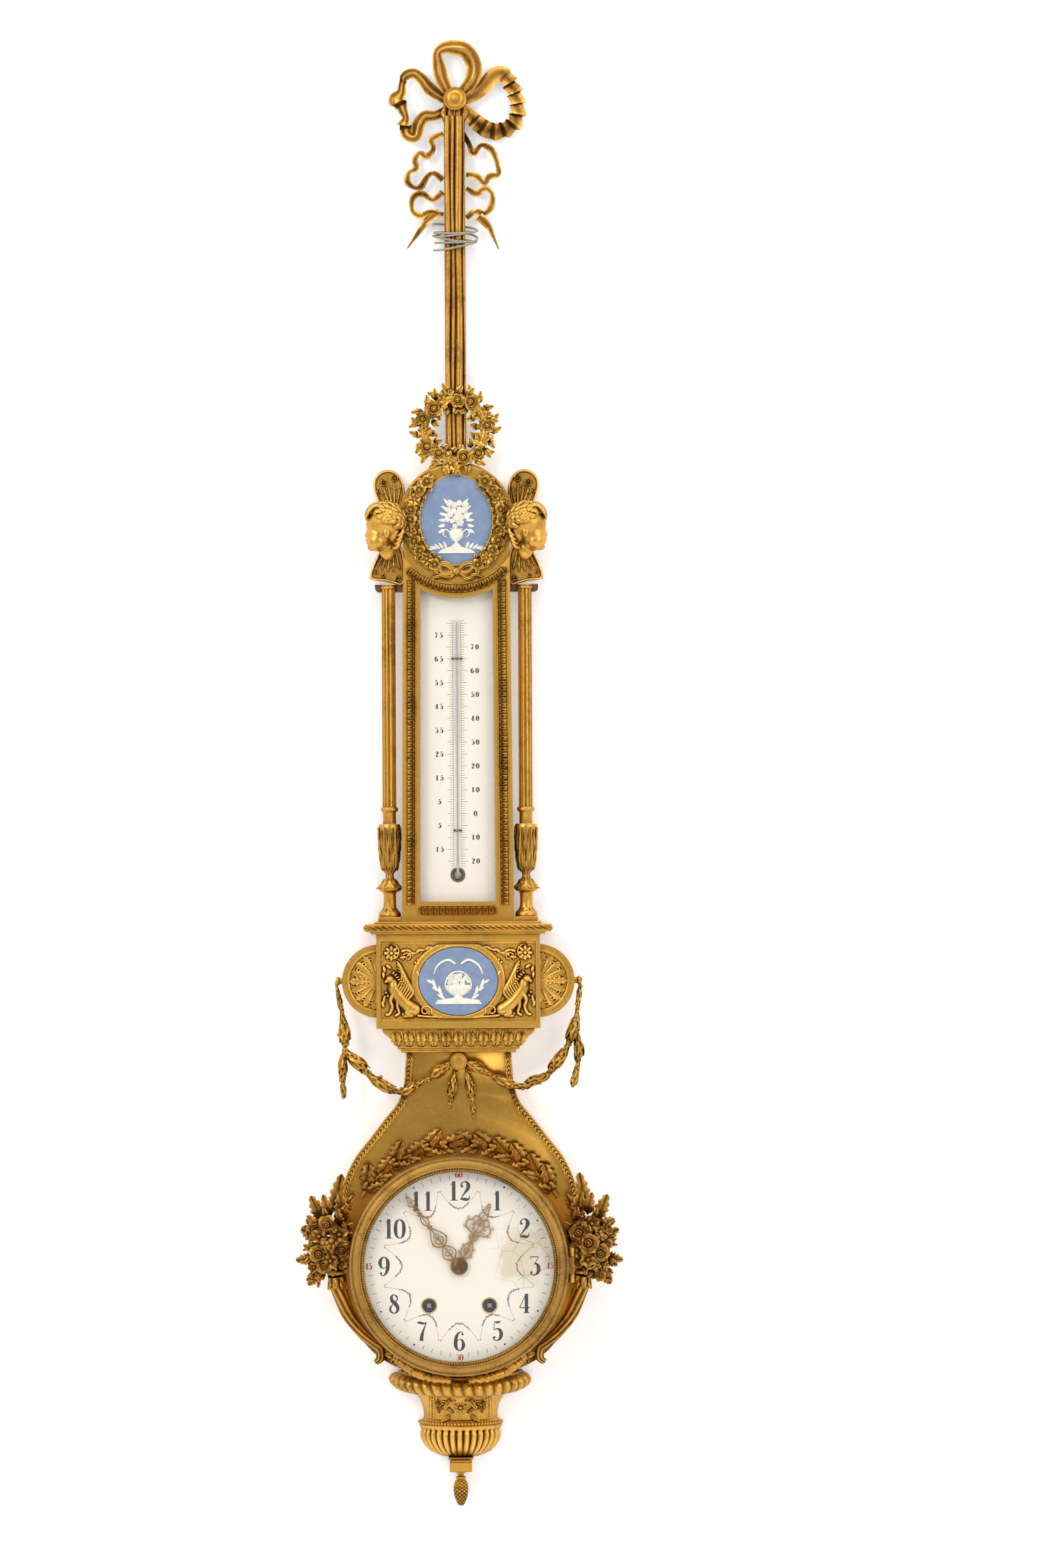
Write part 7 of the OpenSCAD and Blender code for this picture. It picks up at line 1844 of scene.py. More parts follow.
def draw_beast(field):
    """A seated winged beast: body, head, mane, breast, legs and tail."""
    field.stroke([(46.6, -1.0, 3.6, 4.0), (46.2, -5.0, 4.4, 4.6), (43.5, -9.5, 4.6, 4.6),
                  (40, -14, 4.6, 4.6),
                  (35, -18.5, 4.8, 4.4), (31.5, -20.5, 4.6, 4.2)])
    field.mound(49.0, 1.6, 3.4, 3.0, 4.6, -12)
    field.mound(51.6, 0.2, 2.0, 1.5, 4.2, -25)
    for k in range(6):
        field.frond(47.6 - 1.1 * k, 4.8 - 1.2 * k, 3.6, 1.1, 4.4, 128 + 14 * k)
    for k in range(4):
        left, low = 0.8 * k, 1.8 * k
        field.stroke([(49.8 - left, -2.6 - 1.6 * k, 0.5, 4.6), (46.8 - left, -3.8 - low, 0.6, 4.6),
                      (44.4 - left, -2.8 - low, 0.5, 4.4)])
    field.stroke([(46.2, -8.6, 2.3, 4.2), (48.6, -13.6, 1.7, 3.6), (47.4, -18.4, 1.4, 3.2),
                  (49.4, -23.2, 1.3, 2.8),
                  (51.6, -24.0, 1.3, 2.4)])
    field.stroke([(43.4, -12.6, 2.1, 4.0), (43.8, -17.8, 1.6, 3.4), (42.6, -22.6, 1.3, 2.8),
                  (45.0, -24.4, 1.3, 2.4)])
    field.stroke([(33.4, -19.4, 4.4, 4.4), (36.6, -22.6, 2.6, 3.8), (33.6, -24.6, 1.6, 3.0),
                  (38.8, -25.0, 1.3, 2.4)])
    field.curl(23.5, -21.4, 4.6, 200, -1.05, 1.15, 2.8)
    field.stroke([(28.8, -24.6, 1.2, 2.6), (24, -25.2, 1.1, 2.4), (16, -25.6, 0.9, 1.8),
                  (6, -25.8, 0.5, 1.0)])


def draw_feathers(field):
    """Seven long feathers of the beast's wing."""
    for k in range(7):
        t = k / 6
        field.stroke([(43.4 - 1.2 * k, -4.0 - 1.5 * k, 1.3, 3.6), (40.5 - 1.3 * k, 3.5 - 1.9 * k, 1.5, 3.5),
                      (41.5 - 1.0 * k, 10.5 - 2.2 * k, 1.4, 3.0),
                      (44.0 - 0.7 * k * t, 14.5 - 2.4 * k, 0.6, 2.0)])


def draw_sprays(field):
    """Small leaves, berries and a scroll in the ground between."""
    for k in range(3):
        field.frond(8 + 6 * k, -25.2 + 0.4 * k, 5.0, 1.15, 1.5, 22 + 8 * k)
        field.frond(8 + 6 * k, -25.4, 5.0, 1.05, 1.3, -8)
    for k in range(11):
        field.mound(6 + 3.3 * k, 23.6 - 0.028 * (3.3 * k) ** 2 + 1.6 * (-1) ** k, 0.95, 0.95, 1.8)
    for x, z, turn in ((54, 11, 250), (52, 12, 215), (54, -16, 100), (53.4, -19, 70), (30.4, 8, 240),
                       (54, 7, 265),
                       (38, 23, 200), (41.5, 21.5, 165)):
        field.frond(x, z, 5.2, 1.35, 2.0, turn)
    for x, z in ((52, -8), (50.6, -10.4), (53, -11.2), (38, -25.4), (39.9, -23.4), (29, 15.5), (30.8, 13.6),
                 (28.7, 12.9)):
        field.mound(x, z, 1.25, 1.25, 2.2)
    field.curl(36.5, 17.5, 3.4, 30, 0.9, 0.8, 1.9)


def make_box_relief():
    """The carved front of the box, drawn on its right half and mirrored, and the rim of its plaque."""
    half, tall, grid_step, highest = BOX_HALF - 3.3, 26.6, 0.32, 4.6
    field = Relief(0, half, -tall, tall, grid_step)
    draw_rosette(field)
    draw_swag(field)
    draw_beast(field)
    draw_feathers(field)
    draw_sprays(field)
    field.h = np.clip(field.h, 0, highest)
    rough = np.random.default_rng(2).normal(0, 1, field.h.shape)
    for _ in range(3):
        rough = (rough + np.roll(rough, 1, 0) + np.roll(rough, 1, 1) + np.roll(rough, (1, 1), (0, 1))) / 4
    field.h += 0.18 * rough * (field.h < 0.05) + 0.06 * rough * (field.h > 0.4)
    field.h -= min(0, field.h.min())
    whole = Relief(-half, half, -tall, tall, grid_step)
    column = np.clip(np.abs(whole.x) / field.step, 0, len(field.x) - 1).astype(int)
    whole.h = field.h[: len(whole.z)][:, column]
    ground = span("box_relief")[0][2]
    sheet = whole.slab(ground - 0.15, ground + 0.05).put((0, BOX_Z, 0))
    piece("carved_field", sheet, "carved_gilding", instead=("box_relief",), angle=70)
    rim = oval_band(28.6, 24.7, 34.0, 29.6, BOX_Z, BOX_FACE - 1.9, BOX_FACE + 0.1)
    low, top = BOX_Z - 26.75, BOX_Z + 26.75
    points = np.stack([rim.p[:, 0], np.clip(rim.p[:, 1], low, top), rim.p[:, 2]], 1)
    piece("plaque_rim_below", Form(points, rim.q, rim.t, rim.d), "plain_gilding")


def make_lobes():
    """The shells at the sides of the box."""
    eased("side_lobes", "plain_gilding", 0.5, name="lobe_castings")
    x0, face, arch = 57.6, 23.0, 86
    field = Relief(58.0, 84, -25, 25, 0.28)
    for k in range(4):
        for s in (-1, 1):
            a = math.radians(s * (24 + 20 * k))
            c, n = math.cos(a), math.sin(a)
            far = 15.4 - 0.4 * k
            middle = (x0 + 8 * c, 8 * n + 0.4 * s, 0.85, 1.6)
            tip = (x0 + far * c, far * n + 0.8 * s, 1.05, 1.9)
            field.stroke([(x0 + 3.5 * c, 3.5 * n, 0.6, 1.3), middle, tip])
            x, z = x0 + (far + 0.4) * c - 1.9 * n * s, (far + 0.4) * n + 1.9 * c * s
            field.curl(x, z, 2.1, math.degrees(a) - 90 * s, s * 0.9, 0.85, 1.9)
    field.stroke([(x0 + 2, 0, 0.8, 1.5), (x0 + 12, 0, 0.7, 1.6), (x0 + 19.4, 0, 0.4, 1.2)])
    for k in range(4):
        for s in (-1, 1):
            field.mound(x0 + 8.6 + 3.0 * k, s * (1.9 - 0.25 * k), 1.35 - 0.14 * k, 1.35 - 0.14 * k, 2.0)
            field.mound(x0 + 10.2 + 2.6 * k, s * (3.9 - 0.7 * k), 1.1, 1.1, 1.7)
    field.mound(x0 + 19.6, 0, 1.1, 1.0, 1.8)
    for k in range(5):
        a = math.radians(-80 + 40 * k)
        field.mound(x0 + 3.2 * math.cos(a), 3.2 * math.sin(a), 2.3, 1.3, 2.0, math.degrees(a))
    rough = np.random.default_rng(3).normal(0, 1, field.h.shape)
    field.h += 0.05 * (rough + np.roll(rough, 1, 0) + np.roll(rough, 1, 1)) * (field.h < 0.05)
    field.h -= field.h.min()
    r = 20.4
    t = np.linspace(-1, 1, 81) * math.acos(1.5 / r)
    round_side = np.stack([x0 + r * np.cos(t), r * np.sin(t)], 1)
    flat_side = np.stack([np.full(23, x0 + 1.5), np.linspace(r, -r, 25)[1:-1]], 1)
    outline = np.concatenate([round_side, flat_side])
    shell = field.plate((x0 + 8, 0), outline, 54, face - 0.8, face + 0.06)
    band = [(26.25, 22.0), (26.3, 24.0), (25.9, 24.5), (24.4, 24.7), (21.6, 24.7), (20.9, 24.4),
            (20.4, 23.7), (20.3, 22.0)]
    thread = [(25.2, 24.4), (25.2, 24.95), (24.8, 25.05), (24.5, 24.9), (24.5, 24.4)]
    border, line = (lathe_ring(profile, x0, 0, -arch, arch, 72) for profile in (band, thread))
    piece("lobe_shells", both([f.put((0, BOX_Z, 0)) for f in (shell, border, line)]), "carved_gilding",
          angle=45)


def make_knobs():
    """Knobs at the sides and the button below, which hold the garlands."""
    reach = span("boss_knobs")[1][0]
    knob = turned([(0.1, 0), (2.2, 0), (2.2, 1.8), (3.0, 2.2), (3.2, 3.0), (3.1, 3.8), (2.4, 4.4),
                   (1.0, 4.6), (0.1, 4.6)], 24)
    forms = []
    for s in (-1, 1):
        points = np.stack([s * (reach - 4.6 + knob.p[:, 2]), BOX_Z + knob.p[:, 1], 16 + knob.p[:, 0]], 1)
        forms.append(Form(points, knob.q, knob.t))
    base = 18.0
    button = [(0.1, base), (3.8, base), (3.8, base + 9), (6.2, base + 9.2), (6.4, base + 10.4),
              (5.9, base + 11.4),
              (5.0, base + 11.6), (4.7, base + 12.4), (2.6, base + 12.9), (1.2, base + 12.8),
              (0.1, base + 12.9)]
    forms.append(turned(button, 40).put((0, CASE_TOP - 6.6, 0)))
    piece("garland_knobs", forms, "cast_gilding", instead=("boss_knobs",))


SWAG_LEFT = [(-88.5, 0, 16, 2.2), (-85.6, -16, 18, 2.6), (-84, -24, 19, 4.6), (-82.8, -36, 20, 5.2),
             (-82.1, -47, 21, 3.6), (-78, -54, 23, 5), (-70, -61, 25, 5.4), (-62.9, -69, 26, 5.2),
             (-50.9, -76.6, 26, 5.2), (-40, -80, 26, 4.6), (-33, -76, 26, 3.4), (-21.1, -70, 26, 4.8),
             (-9, -61.4, 25.5, 4)]
SWAG_RIGHT = [(88.5, 2, 16, 2.2), (86.4, -16, 18, 2.6), (85.4, -24, 19, 4.4), (83.5, -34, 20, 5),
              (78.6, -47, 21, 4.6), (70.6, -59, 24, 5.4), (63.8, -68, 26, 5.2), (55, -71.6, 26, 4),
              (47, -76, 26, 5.2), (36.5, -74.6, 26, 5), (26.9, -70, 26, 3.6), (16, -64, 26, 4.6),
              (8, -60.6, 25.5, 4)]
SWAG_TAILS = [[(-82.1, -47, 21, 3.6), (-83.4, -60, 22, 4.4), (-83.6, -74, 22, 4.2), (-83, -84, 22, 1)],
              [(85, -36, 20, 3.6), (86.6, -50, 21, 4.4), (84.8, -66, 22, 4.2), (82, -77, 22, 1)],
              [(-2, -62, 24.5, 2.6), (-4, -73, 24.5, 4), (-5.6, -84, 24.5, 4), (-6.4, -92, 24, 1)],
              [(5, -62, 24.5, 2.6), (7.6, -74, 24.5, 4), (9.8, -88, 24.5, 4), (10.8, -99, 24, 1)]]


# The golden angle, which spreads leaves evenly round a path
GOLDEN_TURN = 2.39996


def garland_lines(paths):
    """Smooth lines of x, z, h and girth, thicker and thinner by turns."""
    out = []
    for path in paths:
        c = catmull([(x, z + BOX_Z, h, r / 4.3) for x, z, h, r in path], 10)
        far = np.concatenate([[0], np.cumsum(np.linalg.norm(np.diff(c[:, :2], axis=0), axis=1))])
        c[:, 3] *= 0.92 + 0.34 * np.sin(far / 24 * 2 * math.pi - 1.6)
        out.append(c)
    return out


def laurel_leaves(name, lines, count, seed, instead=()):
    """Leaves set in a spiral along garland lines."""
    leaf = blade(7.6, 4.0, rise=0.16, tip=0.02, cup=0.12, shape=(0.8, 0.9), thick=0.45, nu=6, nv=5,
                 veins=0.6)
    tile = tile_of("laurel_leaf", leaf.put((-2.5, 0, 1.7), 0, 7))
    values = {"Leaf": tile, "Count": count, "Turn": GOLDEN_TURN, "Seed": seed}
    grown(name, lines, "rope", values, "cast_gilding", instead=instead, angle=60)


def make_laurel():
    """Laurel garlands and their hanging ends."""
    count = bpy.context.scene.cartel_sizes.swag_leaves
    swags, tails = garland_lines([SWAG_LEFT, SWAG_RIGHT]), garland_lines(SWAG_TAILS)
    laurel_leaves("laurel_swags", swags, count, 3, ("laurel_garlands",))
    laurel_leaves("laurel_tails", tails, count // 4, 5)
    pick = np.random.default_rng(6)
    forms = [tube(c[:, :3], c[:, 3] * 2.0, 8) for c in swags + tails]
    for c in swags + tails:
        for k in range(4, len(c) - 4, 7):
            a = pick.uniform(0.2, 2.9)
            r = c[k, 3] * 3.1
            d = c[k + 1, :2] - c[k - 1, :2]
            d /= np.linalg.norm(d) + 1e-9
            aside = r * math.cos(a)
            place = (c[k, 0] - d[1] * aside, c[k, 1] + d[0] * aside, c[k, 2] + r * math.sin(a))
            forms.append(ball(1.25, 8, 5).put(place))
    piece("laurel_cores_and_berries", forms, "cast_gilding")


# Clock case, oak sprays, horns, bouquets


CASE_ROUND = [(43.9, 115.3), (53.5, 103.3), (64.5, 89), (75.2, 75.2), (82.9, 59), (87.6, 39.5),
        (89.6, 17.5), (89.4, -2.5), (86.6, -21.5), (81.2, -38.5), (72.5, -53.5), (61.5, -66), (48, -74.8)]


def case_line():
    """The right side of the clock case's outline, from the top down."""
    line = [(37.8, CASE_TOP), (39, CASE_TOP - 17), (39.8, CASE_TOP - 24)] + [(x, z + DIAL_Z) for x,
            z in CASE_ROUND] + [(36, URN_TOP)]
    return catmull(line, 8)


def inset_line(line, off):
    """A line of x and z moved sideways."""
    d = np.gradient(line[:, :2], axis=0)
    d /= np.linalg.norm(d, axis=1)[:, None] + 1e-9
    return line[:, :2] + np.stack([d[:, 1], -d[:, 0]], 1) * off


def make_case():
    """The clock case with leaves and beads along its border."""
    eased("clock_case", "burnished_gilding", 0.5, name="case_casting")
    size = bpy.context.scene.cartel_sizes
    line = case_line()
    mid = inset_line(line, 2.5)
    mid = mid[(mid[:, 1] < CASE_TOP - 1.5)]
    paths = [[(s * x, z, CASE_FACE + 0.05) for x, z in mid] for s in (-1, 1)]
    one = blade(4.4, 2.2, rise=0.12, cup=-0.06, shape=(0.8, 0.9), thick=0.4, nu=6, nv=3, veins=0.5)
    tile = tile_of("paired_leaves", join([one.put((-1.4, 0.35, 0.35), 24, 6),
            one.put((-1.4, -0.35, 0.35), -24, 6), ball(0.55, 6, 4).put((-1.6, 0, 0.8))]))
    count = int(240 / (size.border_step * 1000))
    grown("case_border_leaves", paths, "moulding",
          {"Tile": tile, "Count": count, "Out": OFF_THE_WALL, "Size": 1.0}, "cast_gilding", angle=60)
    rails = []
    for s in (-1, 1):
        for off, r in ((0.75, 0.62), (4.4, 0.5)):
            rail = inset_line(line, off)
            rail = evenly(rail[rail[:, 1] < CASE_TOP - 1], 90)
            rails.append(tube([(s * x, z, CASE_FACE + 0.15) for x, z in rail], r, 8))
    piece("case_border_beads", rails, "plain_gilding")


def oak_leaf(length, width):
    """A leaf with round lobes."""
    return blade(length, width, rise=0.14, tip=0.05, cup=0.14, lobes=4, bite=0.42, shape=(0.9, 0.55),
                 thick=0.7, nu=21, nv=9, veins=1.0)


def acorn():
    """An acorn in its cup, with its length along x."""
    nut = turned([(0.2, 3.2), (1.7, 3.0), (2.0, 4.4), (1.8, 6.2), (1.1, 7.4), (0.3, 7.9), (0.1, 7.9)], 12)
    cup = turned([(0.2, 0), (1.4, 0.5), (2.4, 2.0), (2.6, 3.4), (2.2, 3.9), (0.2, 3.9)], 12)
    f = join([nut, cup])
    return Form(np.stack([f.p[:, 2], f.p[:, 0], f.p[:, 1]], 1), f.q, f.t, f.d)


def pushed_out(form, reach, below=None):
    """A copy whose points keep a distance from the clock's axis, all or only those below a level."""
    p = form.p.copy()
    far = np.hypot(p[:, 0], p[:, 1])
    share = np.maximum(reach, far) / far
    p[:, :2] *= (share if below is None else np.where(p[:, 2] < below, share, 1))[:, None]
    return Form(p, form.q, form.t, form.d)


def make_oak():
    """Oak leaves and acorns over the bezel."""
    r0, level = 84.8, CASE_FACE + 0.5
    forms = []
    nut = acorn()
    for s in (-1, 1):
        side = []
        for k in range(6):
            t = 37 + 8.6 * k
            a = math.radians(t)
            x, z = r0 * math.cos(a), r0 * math.sin(a)
            wob, roll = 6 * math.sin(3.1 * k + s), (-1) ** k
            turn = t + 66 + 10 * (k % 2) + wob
            side.append(oak_leaf(21 - 1.0 * (k % 2), 12.4).put((x, z, level + 0.9), turn, 10, 8 * roll))
            side.append(oak_leaf(16.5, 9.6).put((x + 0.4, z, level + 1.4), t + 128 + wob, 12, -10 * roll))
            if k % 2 == 0 or k == 5:
                place = (x + 2 * math.cos(a), z + 2 * math.sin(a), level + 3.6)
                side.append(nut.put(place, t + 84 + wob, 8, 0, 0.9))
                side.append(nut.put((x - 1.0, z + 1.5, level + 3.4), t + 118 + wob, 14, 0, 0.8))
        arc = np.radians(np.linspace(33, 90, 26))
        stalk = np.stack([r0 * np.cos(arc), r0 * np.sin(arc), np.full(26, level + 1.3)], 1)
        side.append(tube(stalk, 1.3 + 0.25 * np.sin(np.arange(26) * 1.1), 8))
        forms += side if s > 0 else [f.mirrored() for f in side]
    placed = [pushed_out(f, 79.2, 75).put((0, DIAL_Z, 0)) for f in forms]
    piece("oak_sprays", placed, "brown_gilding", instead=("oak_leaves",), angle=60)


HORN = [(88.6, -8.4, 7.0), (88.2, -12, 6.7), (87.6, -16, 6.3), (85.2, -24, 5.7), (79.8, -38, 4.9),
        (71.4, -50, 4.1), (63, -58, 3.6), (57.8, -62.6, 3.9), (57.6, -69, 3.2), (61, -72, 2.1)]


HORN_MOUTH = [(0.2, 0.0), (5.4, 0), (6.6, 0.5), (7.2, 1.6), (7.4, 2.6), (7.0, 3.3), (6.2, 3.2), (5.7, 2.2),
              (0.2, 2.0)]


def make_horns():
    """Two fluted horns with ringed mouths."""
    c = catmull(HORN, 9)
    r, ground = c[:, 2], CASE_FACE + 0.1
    path = np.stack([c[:, 0], c[:, 1], ground + r + 1.9 * np.maximum(r - 4, 0)], 1)
    run = np.concatenate([[0], np.cumsum(np.linalg.norm(np.diff(path, axis=0), axis=1))])
    a = 2 * math.pi * np.arange(40) / 40
    wave = np.cos(7 * a[None, :] + 0.16 * run[:, None])
    ringed = 0.05 * np.cos(run[:, None] * 1.5) * (run[:, None] > 70)
    radius = 0.93 * (1 + 0.075 * wave + ringed)
    section = np.stack([radius * np.cos(a), radius * np.sin(a)], -1)
    # Painted shade in the horn's flutes, a faint painted highlight on its ribs.
    horn = sweep(path, section, r, deep=0.5 - 0.6 * wave)
    mouth = turned_up(HORN_MOUTH, 88.6, -8.6, ground + 11.6, 40)
    leaf = acanthus(8.4, 5.6, rise=0.03, tip=0.05, lobes=3, nu=9, nv=7)
    leaves = [stood(leaf, 88.2, -10.4, CASE_FACE + 11.8, 6.4, spin, 5, True)
              for spin in (-20, 30, 80, 130, 180)]
    forms = [f.put((0, DIAL_Z, 0)) for f in both([horn, mouth] + leaves)]
    piece("fluted_horns", forms, "cast_gilding", instead=("cornucopias",), angle=60)


BOUQUET_LEAVES = [(90, 34, 100, 30, 13), (83, 26, 80, 26, 12), (97, 26, 60, 24, 12),
        (101, 14, 35, 16.5, 11), (104, 2, -10, 14.5, 10), (80, 16, 140, 16, 10), (102, -8, -50, 12.5, 10),
        (84, 34, 120, 16, 9)]
BOUQUET_FLOWERS = [(86, 20, 7.6, 16), (95, 27, 7, 14), (93, 12, 8.4, 20), (101, 18, 6.6, 14),
                   (84, 8, 7, 17), (101, 6, 7.4, 17), (92, 1, 6.8, 18), (106, 12, 4.6, 11), (97, -3, 6.2, 15),
                   (84.6, -1, 5, 14), (106, 24, 4.4, 10), (104.6, -4, 4.8, 12), (101, -11, 4.6, 12)]


def make_bouquets():
    """Leaves, flowers and berries that come out of the horns."""
    level, limit = CASE_FACE + 0.1, -CAD_BOX[0][0] * 1000 - 0.3
    pick = np.random.default_rng(12)
    forms = []
    for s in (1, -1):
        side, spots = [], []
        for k, (x, z, turn, length, width) in enumerate(BOUQUET_LEAVES):
            lift = level + 5 + 0.8 * (k % 3)
            side.append(acanthus(length * 0.98, width, rise=0.2, tip=0.02, lobes=5, nu=21, nv=9).put(
                (x, z, lift), turn + pick.uniform(-6, 6), 12, pick.uniform(-12, 12)))
            side.append(acanthus(length * 0.62, width * 0.7, rise=0.26, tip=0.04, lobes=4, nu=13, nv=7).put(
                (x + 2, z - 2, lift + 8), turn + pick.uniform(-35, 35), 22, pick.uniform(-14, 14)))
        kinds = "rbrobrbrorbor" if s > 0 else "brobrrborbrbo"
        for k, (x, z, r, tall) in enumerate(BOUQUET_FLOWERS):
            top = level + tall + 10 - 0.45 * r
            spots.append((x, z, top, r * (0.97 if kinds[k] != "o" else 0.85), kinds[k]))
            side.append(tube([(x, z, level + 0.4), (x + 0.3, z + 0.2, level + 0.5 * (top - level)),
                              (x, z, top)], [0.55 * r, 0.5 * r, 0.42 * r], 9, up=(0, 1, 0)))
            for n in range(5):
                a = pick.uniform(0, 360)
                side.append(acanthus(r * 1.25, r * 0.75, rise=0.26, tip=0.02, lobes=3, nu=9, nv=7).put(
                    (x + 0.5 * r * math.cos(math.radians(a)), z + 0.5 * r * math.sin(math.radians(a)),
                     top - r * (0.5 + 0.5 * (n % 2))), a + pick.uniform(-20, 20), 10))
        side += blooms(spots, 20 + s)
        small = []
        for k in range(22):
            x, z = pick.uniform(82, 108), pick.uniform(-8, 34)
            small.append((x, z, level + 14 + 16 * pick.random() * (1 - abs(x - 94) / 22),
                          pick.uniform(2.0, 3.2), "bo"[k % 2]))
        side += blooms(small, 30 + s)
        forms += side if s > 0 else [f.mirrored() for f in side]
    placed = []
    for form in forms:
        clear_of_drum = pushed_out(form, 79.4)
        clear_of_drum.p[:, 0] = np.clip(clear_of_drum.p[:, 0], -limit, limit)
        placed.append(clear_of_drum.put((0, DIAL_Z + 2, 0)))
    piece("flower_bouquets", placed, "brown_gilding", instead=("bouquets",), angle=60)


# Urn, finial, branches


# Radius and height below the rim's ledge, from the top down
URN_RIM = [(40, 0.0), (46.4, 0.5), (48.6, 1.4), (50.2, 2.8), (51.6, 4.6), (52.3, 6.6), (52.1, 8.6),
           (51.0, 10.4),
           (49.2, 11.6), (46.4, 12.2), (45.4, 12.6), (45.0, 13.9), (40, 14.0)]
URN_BODY = [(39, 0.0), (36.5, -1.0), (35.2, -1.2), (33.6, -3), (31.2, -5.2), (29.4, -8), (28.0, -11.5),
            (27.2, -15),
            (26.9, -18.4), (27.0, -21), (28.6, -22.2), (29.4, -23.4), (29.2, -24.8), (30.2, -26.2),
            (29.4, -28.2),
            (29.0, -29.4), (29.8, -31.2), (29.9, -33), (29.4, -36), (28, -39), (25.6, -42.2), (22, -45.4),
            (18, -47.4), (14, -49)]


def make_urn_rim():
    """The gadrooned rim."""

    def gadroon(r, row, t):
        """Lobes round the swelling of the rim, with painted shade between them and a faint painted highlight
        on them.
        """
        share = 1.0 if 2 <= row <= 8 else 0.0
        c = np.abs(np.cos(20 * t + 0.16 * row))
        return r * (1 - 0.045 * share * (1 - c)), share * (0.9 * (1 - c) ** 1.5 - 0.15)

    lip = front_turned([(r, RIM_Z + z) for r, z in URN_RIM], 321, wave=gadroon)
    lip.p[:, 1] -= 0.09 * lip.p[:, 2]
    piece("gadrooned_rim", lip, "cast_gilding", instead=("urn_rim",))


def make_urn_body():
    """The waist and the fluted bowl, with the stepped block below."""

    def flutes(r, row, t):
        """Flutes on the bowl, from its ledge down, with painted shade in them and a painted highlight on the
        ribs between.
        """
        share = 1.0 if row >= 15 else 0.0
        c = np.abs(np.cos(17 * t + 0.02 * row))
        return r * (1.015 - 0.075 * share * (1 - c)), share * (1.3 * (1 - c) ** 1.5 - 0.3)

    forms = [front_turned([(r, RIM_Z + z) for r, z in URN_BODY], 257, wave=flutes)]
    for half, low, top, deep in ((8.1, 0, 7.2, 16.2), (7.2, 6.8, 8.6, 15.2), (9.0, 8.4, 10.1, 11.0)):
        rings = []
        for q, z in ((0.96, low), (1, low + 0.5), (1, top - 0.5), (0.96, top)):
            x, level, h = half * q, BLOCK_Z + z, deep * q
            rings.append([(-x, level, 0.05), (x, level, 0.05), (x, level, h), (-x, level, h)])
        forms.append(loft(rings))
    piece("urn_body", forms, "plain_gilding", instead=("urn_bowl",), angle=45)


def make_urn_beads():
    """The row of beads between waist and bowl."""
    bead, r, count = tile_of("urn_bead", ball(1.45, 8, 5)), 30.3, 90
    t = np.radians(np.linspace(-77, 77, count))
    row = np.stack([r * np.sin(t), np.full(count, RIM_Z - 23.9), URN_AXIS + r * np.cos(t)], 1)
    beads = bpy.context.scene.cartel_sizes.urn_beads
    values = {"Tile": bead, "Count": beads, "Out": OFF_THE_WALL, "Size": 1.0}
    grown("urn_beads", [row], "moulding", values, "cast_gilding")


def on_waist(x, z):
    """How far off the wall the urn's waist lies at a place."""
    r = np.interp(RIM_Z - z, [0, 3, 8, 15, 21], [39, 33.6, 29.4, 27.2, 27.0])
    return URN_AXIS + math.sqrt(max(0.1, r * r - x * x))


def waist_border(s):
    """On one side of the waist: a scroll, a row of beads between two threads, and a leaf."""
    out, scroll = [], []
    for q in np.linspace(0, 1, 30):
        a, r = 0.4 + 4.6 * q, 4.8 * (1 - 0.72 * q)
        x, z = s * (12.6 - r * math.cos(a)), RIM_Z - 11.5 + r * math.sin(a)
        scroll.append((x, z, on_waist(x, z) + 0.5))
    out.append(tube(scroll, np.linspace(1.0, 0.55, 30), 8))
    for n in range(9):
        x, z = s * 20.6, RIM_Z - 3.4 - 2.0 * n
        out.append(ball(0.85, 7, 4).put((x, z, on_waist(x, z) + 0.3)))
    for x in (18.6, 22.4):
        levels = np.linspace(RIM_Z - 2.2, RIM_Z - 21, 16)
        out.append(tube([(s * x, z, on_waist(x, z) + 0.1) for z in levels], 0.45, 6))
    leaf, x, z = acanthus(9.5, 4.6, rise=0.08, lobes=3, nu=9, nv=7), 6.0, RIM_Z - 5.5
    out.append(leaf.put((s * x, z, on_waist(x, z) + 0.5), -90 + s * 38, -6))
    return out


def waist_spray(s):
    """On one side of the waist: six leaves round a double flower."""
    out = []
    leaves = ((4, -16, 9, 20), (7, -18, 8, -30), (15, -16.5, 7, 60), (16.4, -7, 6.5, -70),
              (9, -6.2, 6, 150),
              (3.4, -8, 7, 64))
    for k, (x, z, length, turn) in enumerate(leaves):
        leaf = acanthus(length, 4.4, rise=0.14, lobes=3, nu=10, nv=7)
        place = (s * x, RIM_Z + z, on_waist(x, RIM_Z + z) + 0.4 + 0.2 * k)
        out.append(leaf.put(place, turn if s > 0 else 180 - turn, 4))
    x, z = 12.6, RIM_Z - 11.5
    for k in range(2):
        out.append(blossom(6, k).put((s * x, z, on_waist(x, z) + 1.0), 20 * k, 0, 0, 3.2 - 1.2 * k))
    return out


def make_urn_ornament():
    """The carved band of the waist: a rosette between scrolls, leaves and flowers."""
    deco, middle = [], RIM_Z - 12
    front = on_waist(0, middle)
    for k in range(8):
        petal = blade(5.2, 3.0, rise=0.2, nu=7, nv=5, veins=0.8)
        deco.append(petal.put((0, middle, front + 0.6), 45 * k + 22, 6))
    deco.append(ball(1.5, 10, 6).put((0, middle, front + 1.6)))
    for s in (-1, 1):
        deco += waist_border(s)
    for s in (-1, 1):
        deco += waist_spray(s)
    piece("urn_ornament", deco, "carved_gilding", angle=60)


def make_urn():
    """The urn under the clock: rim, body, beads and ornament."""
    make_urn_rim()
    make_urn_body()
    make_urn_beads()
    make_urn_ornament()


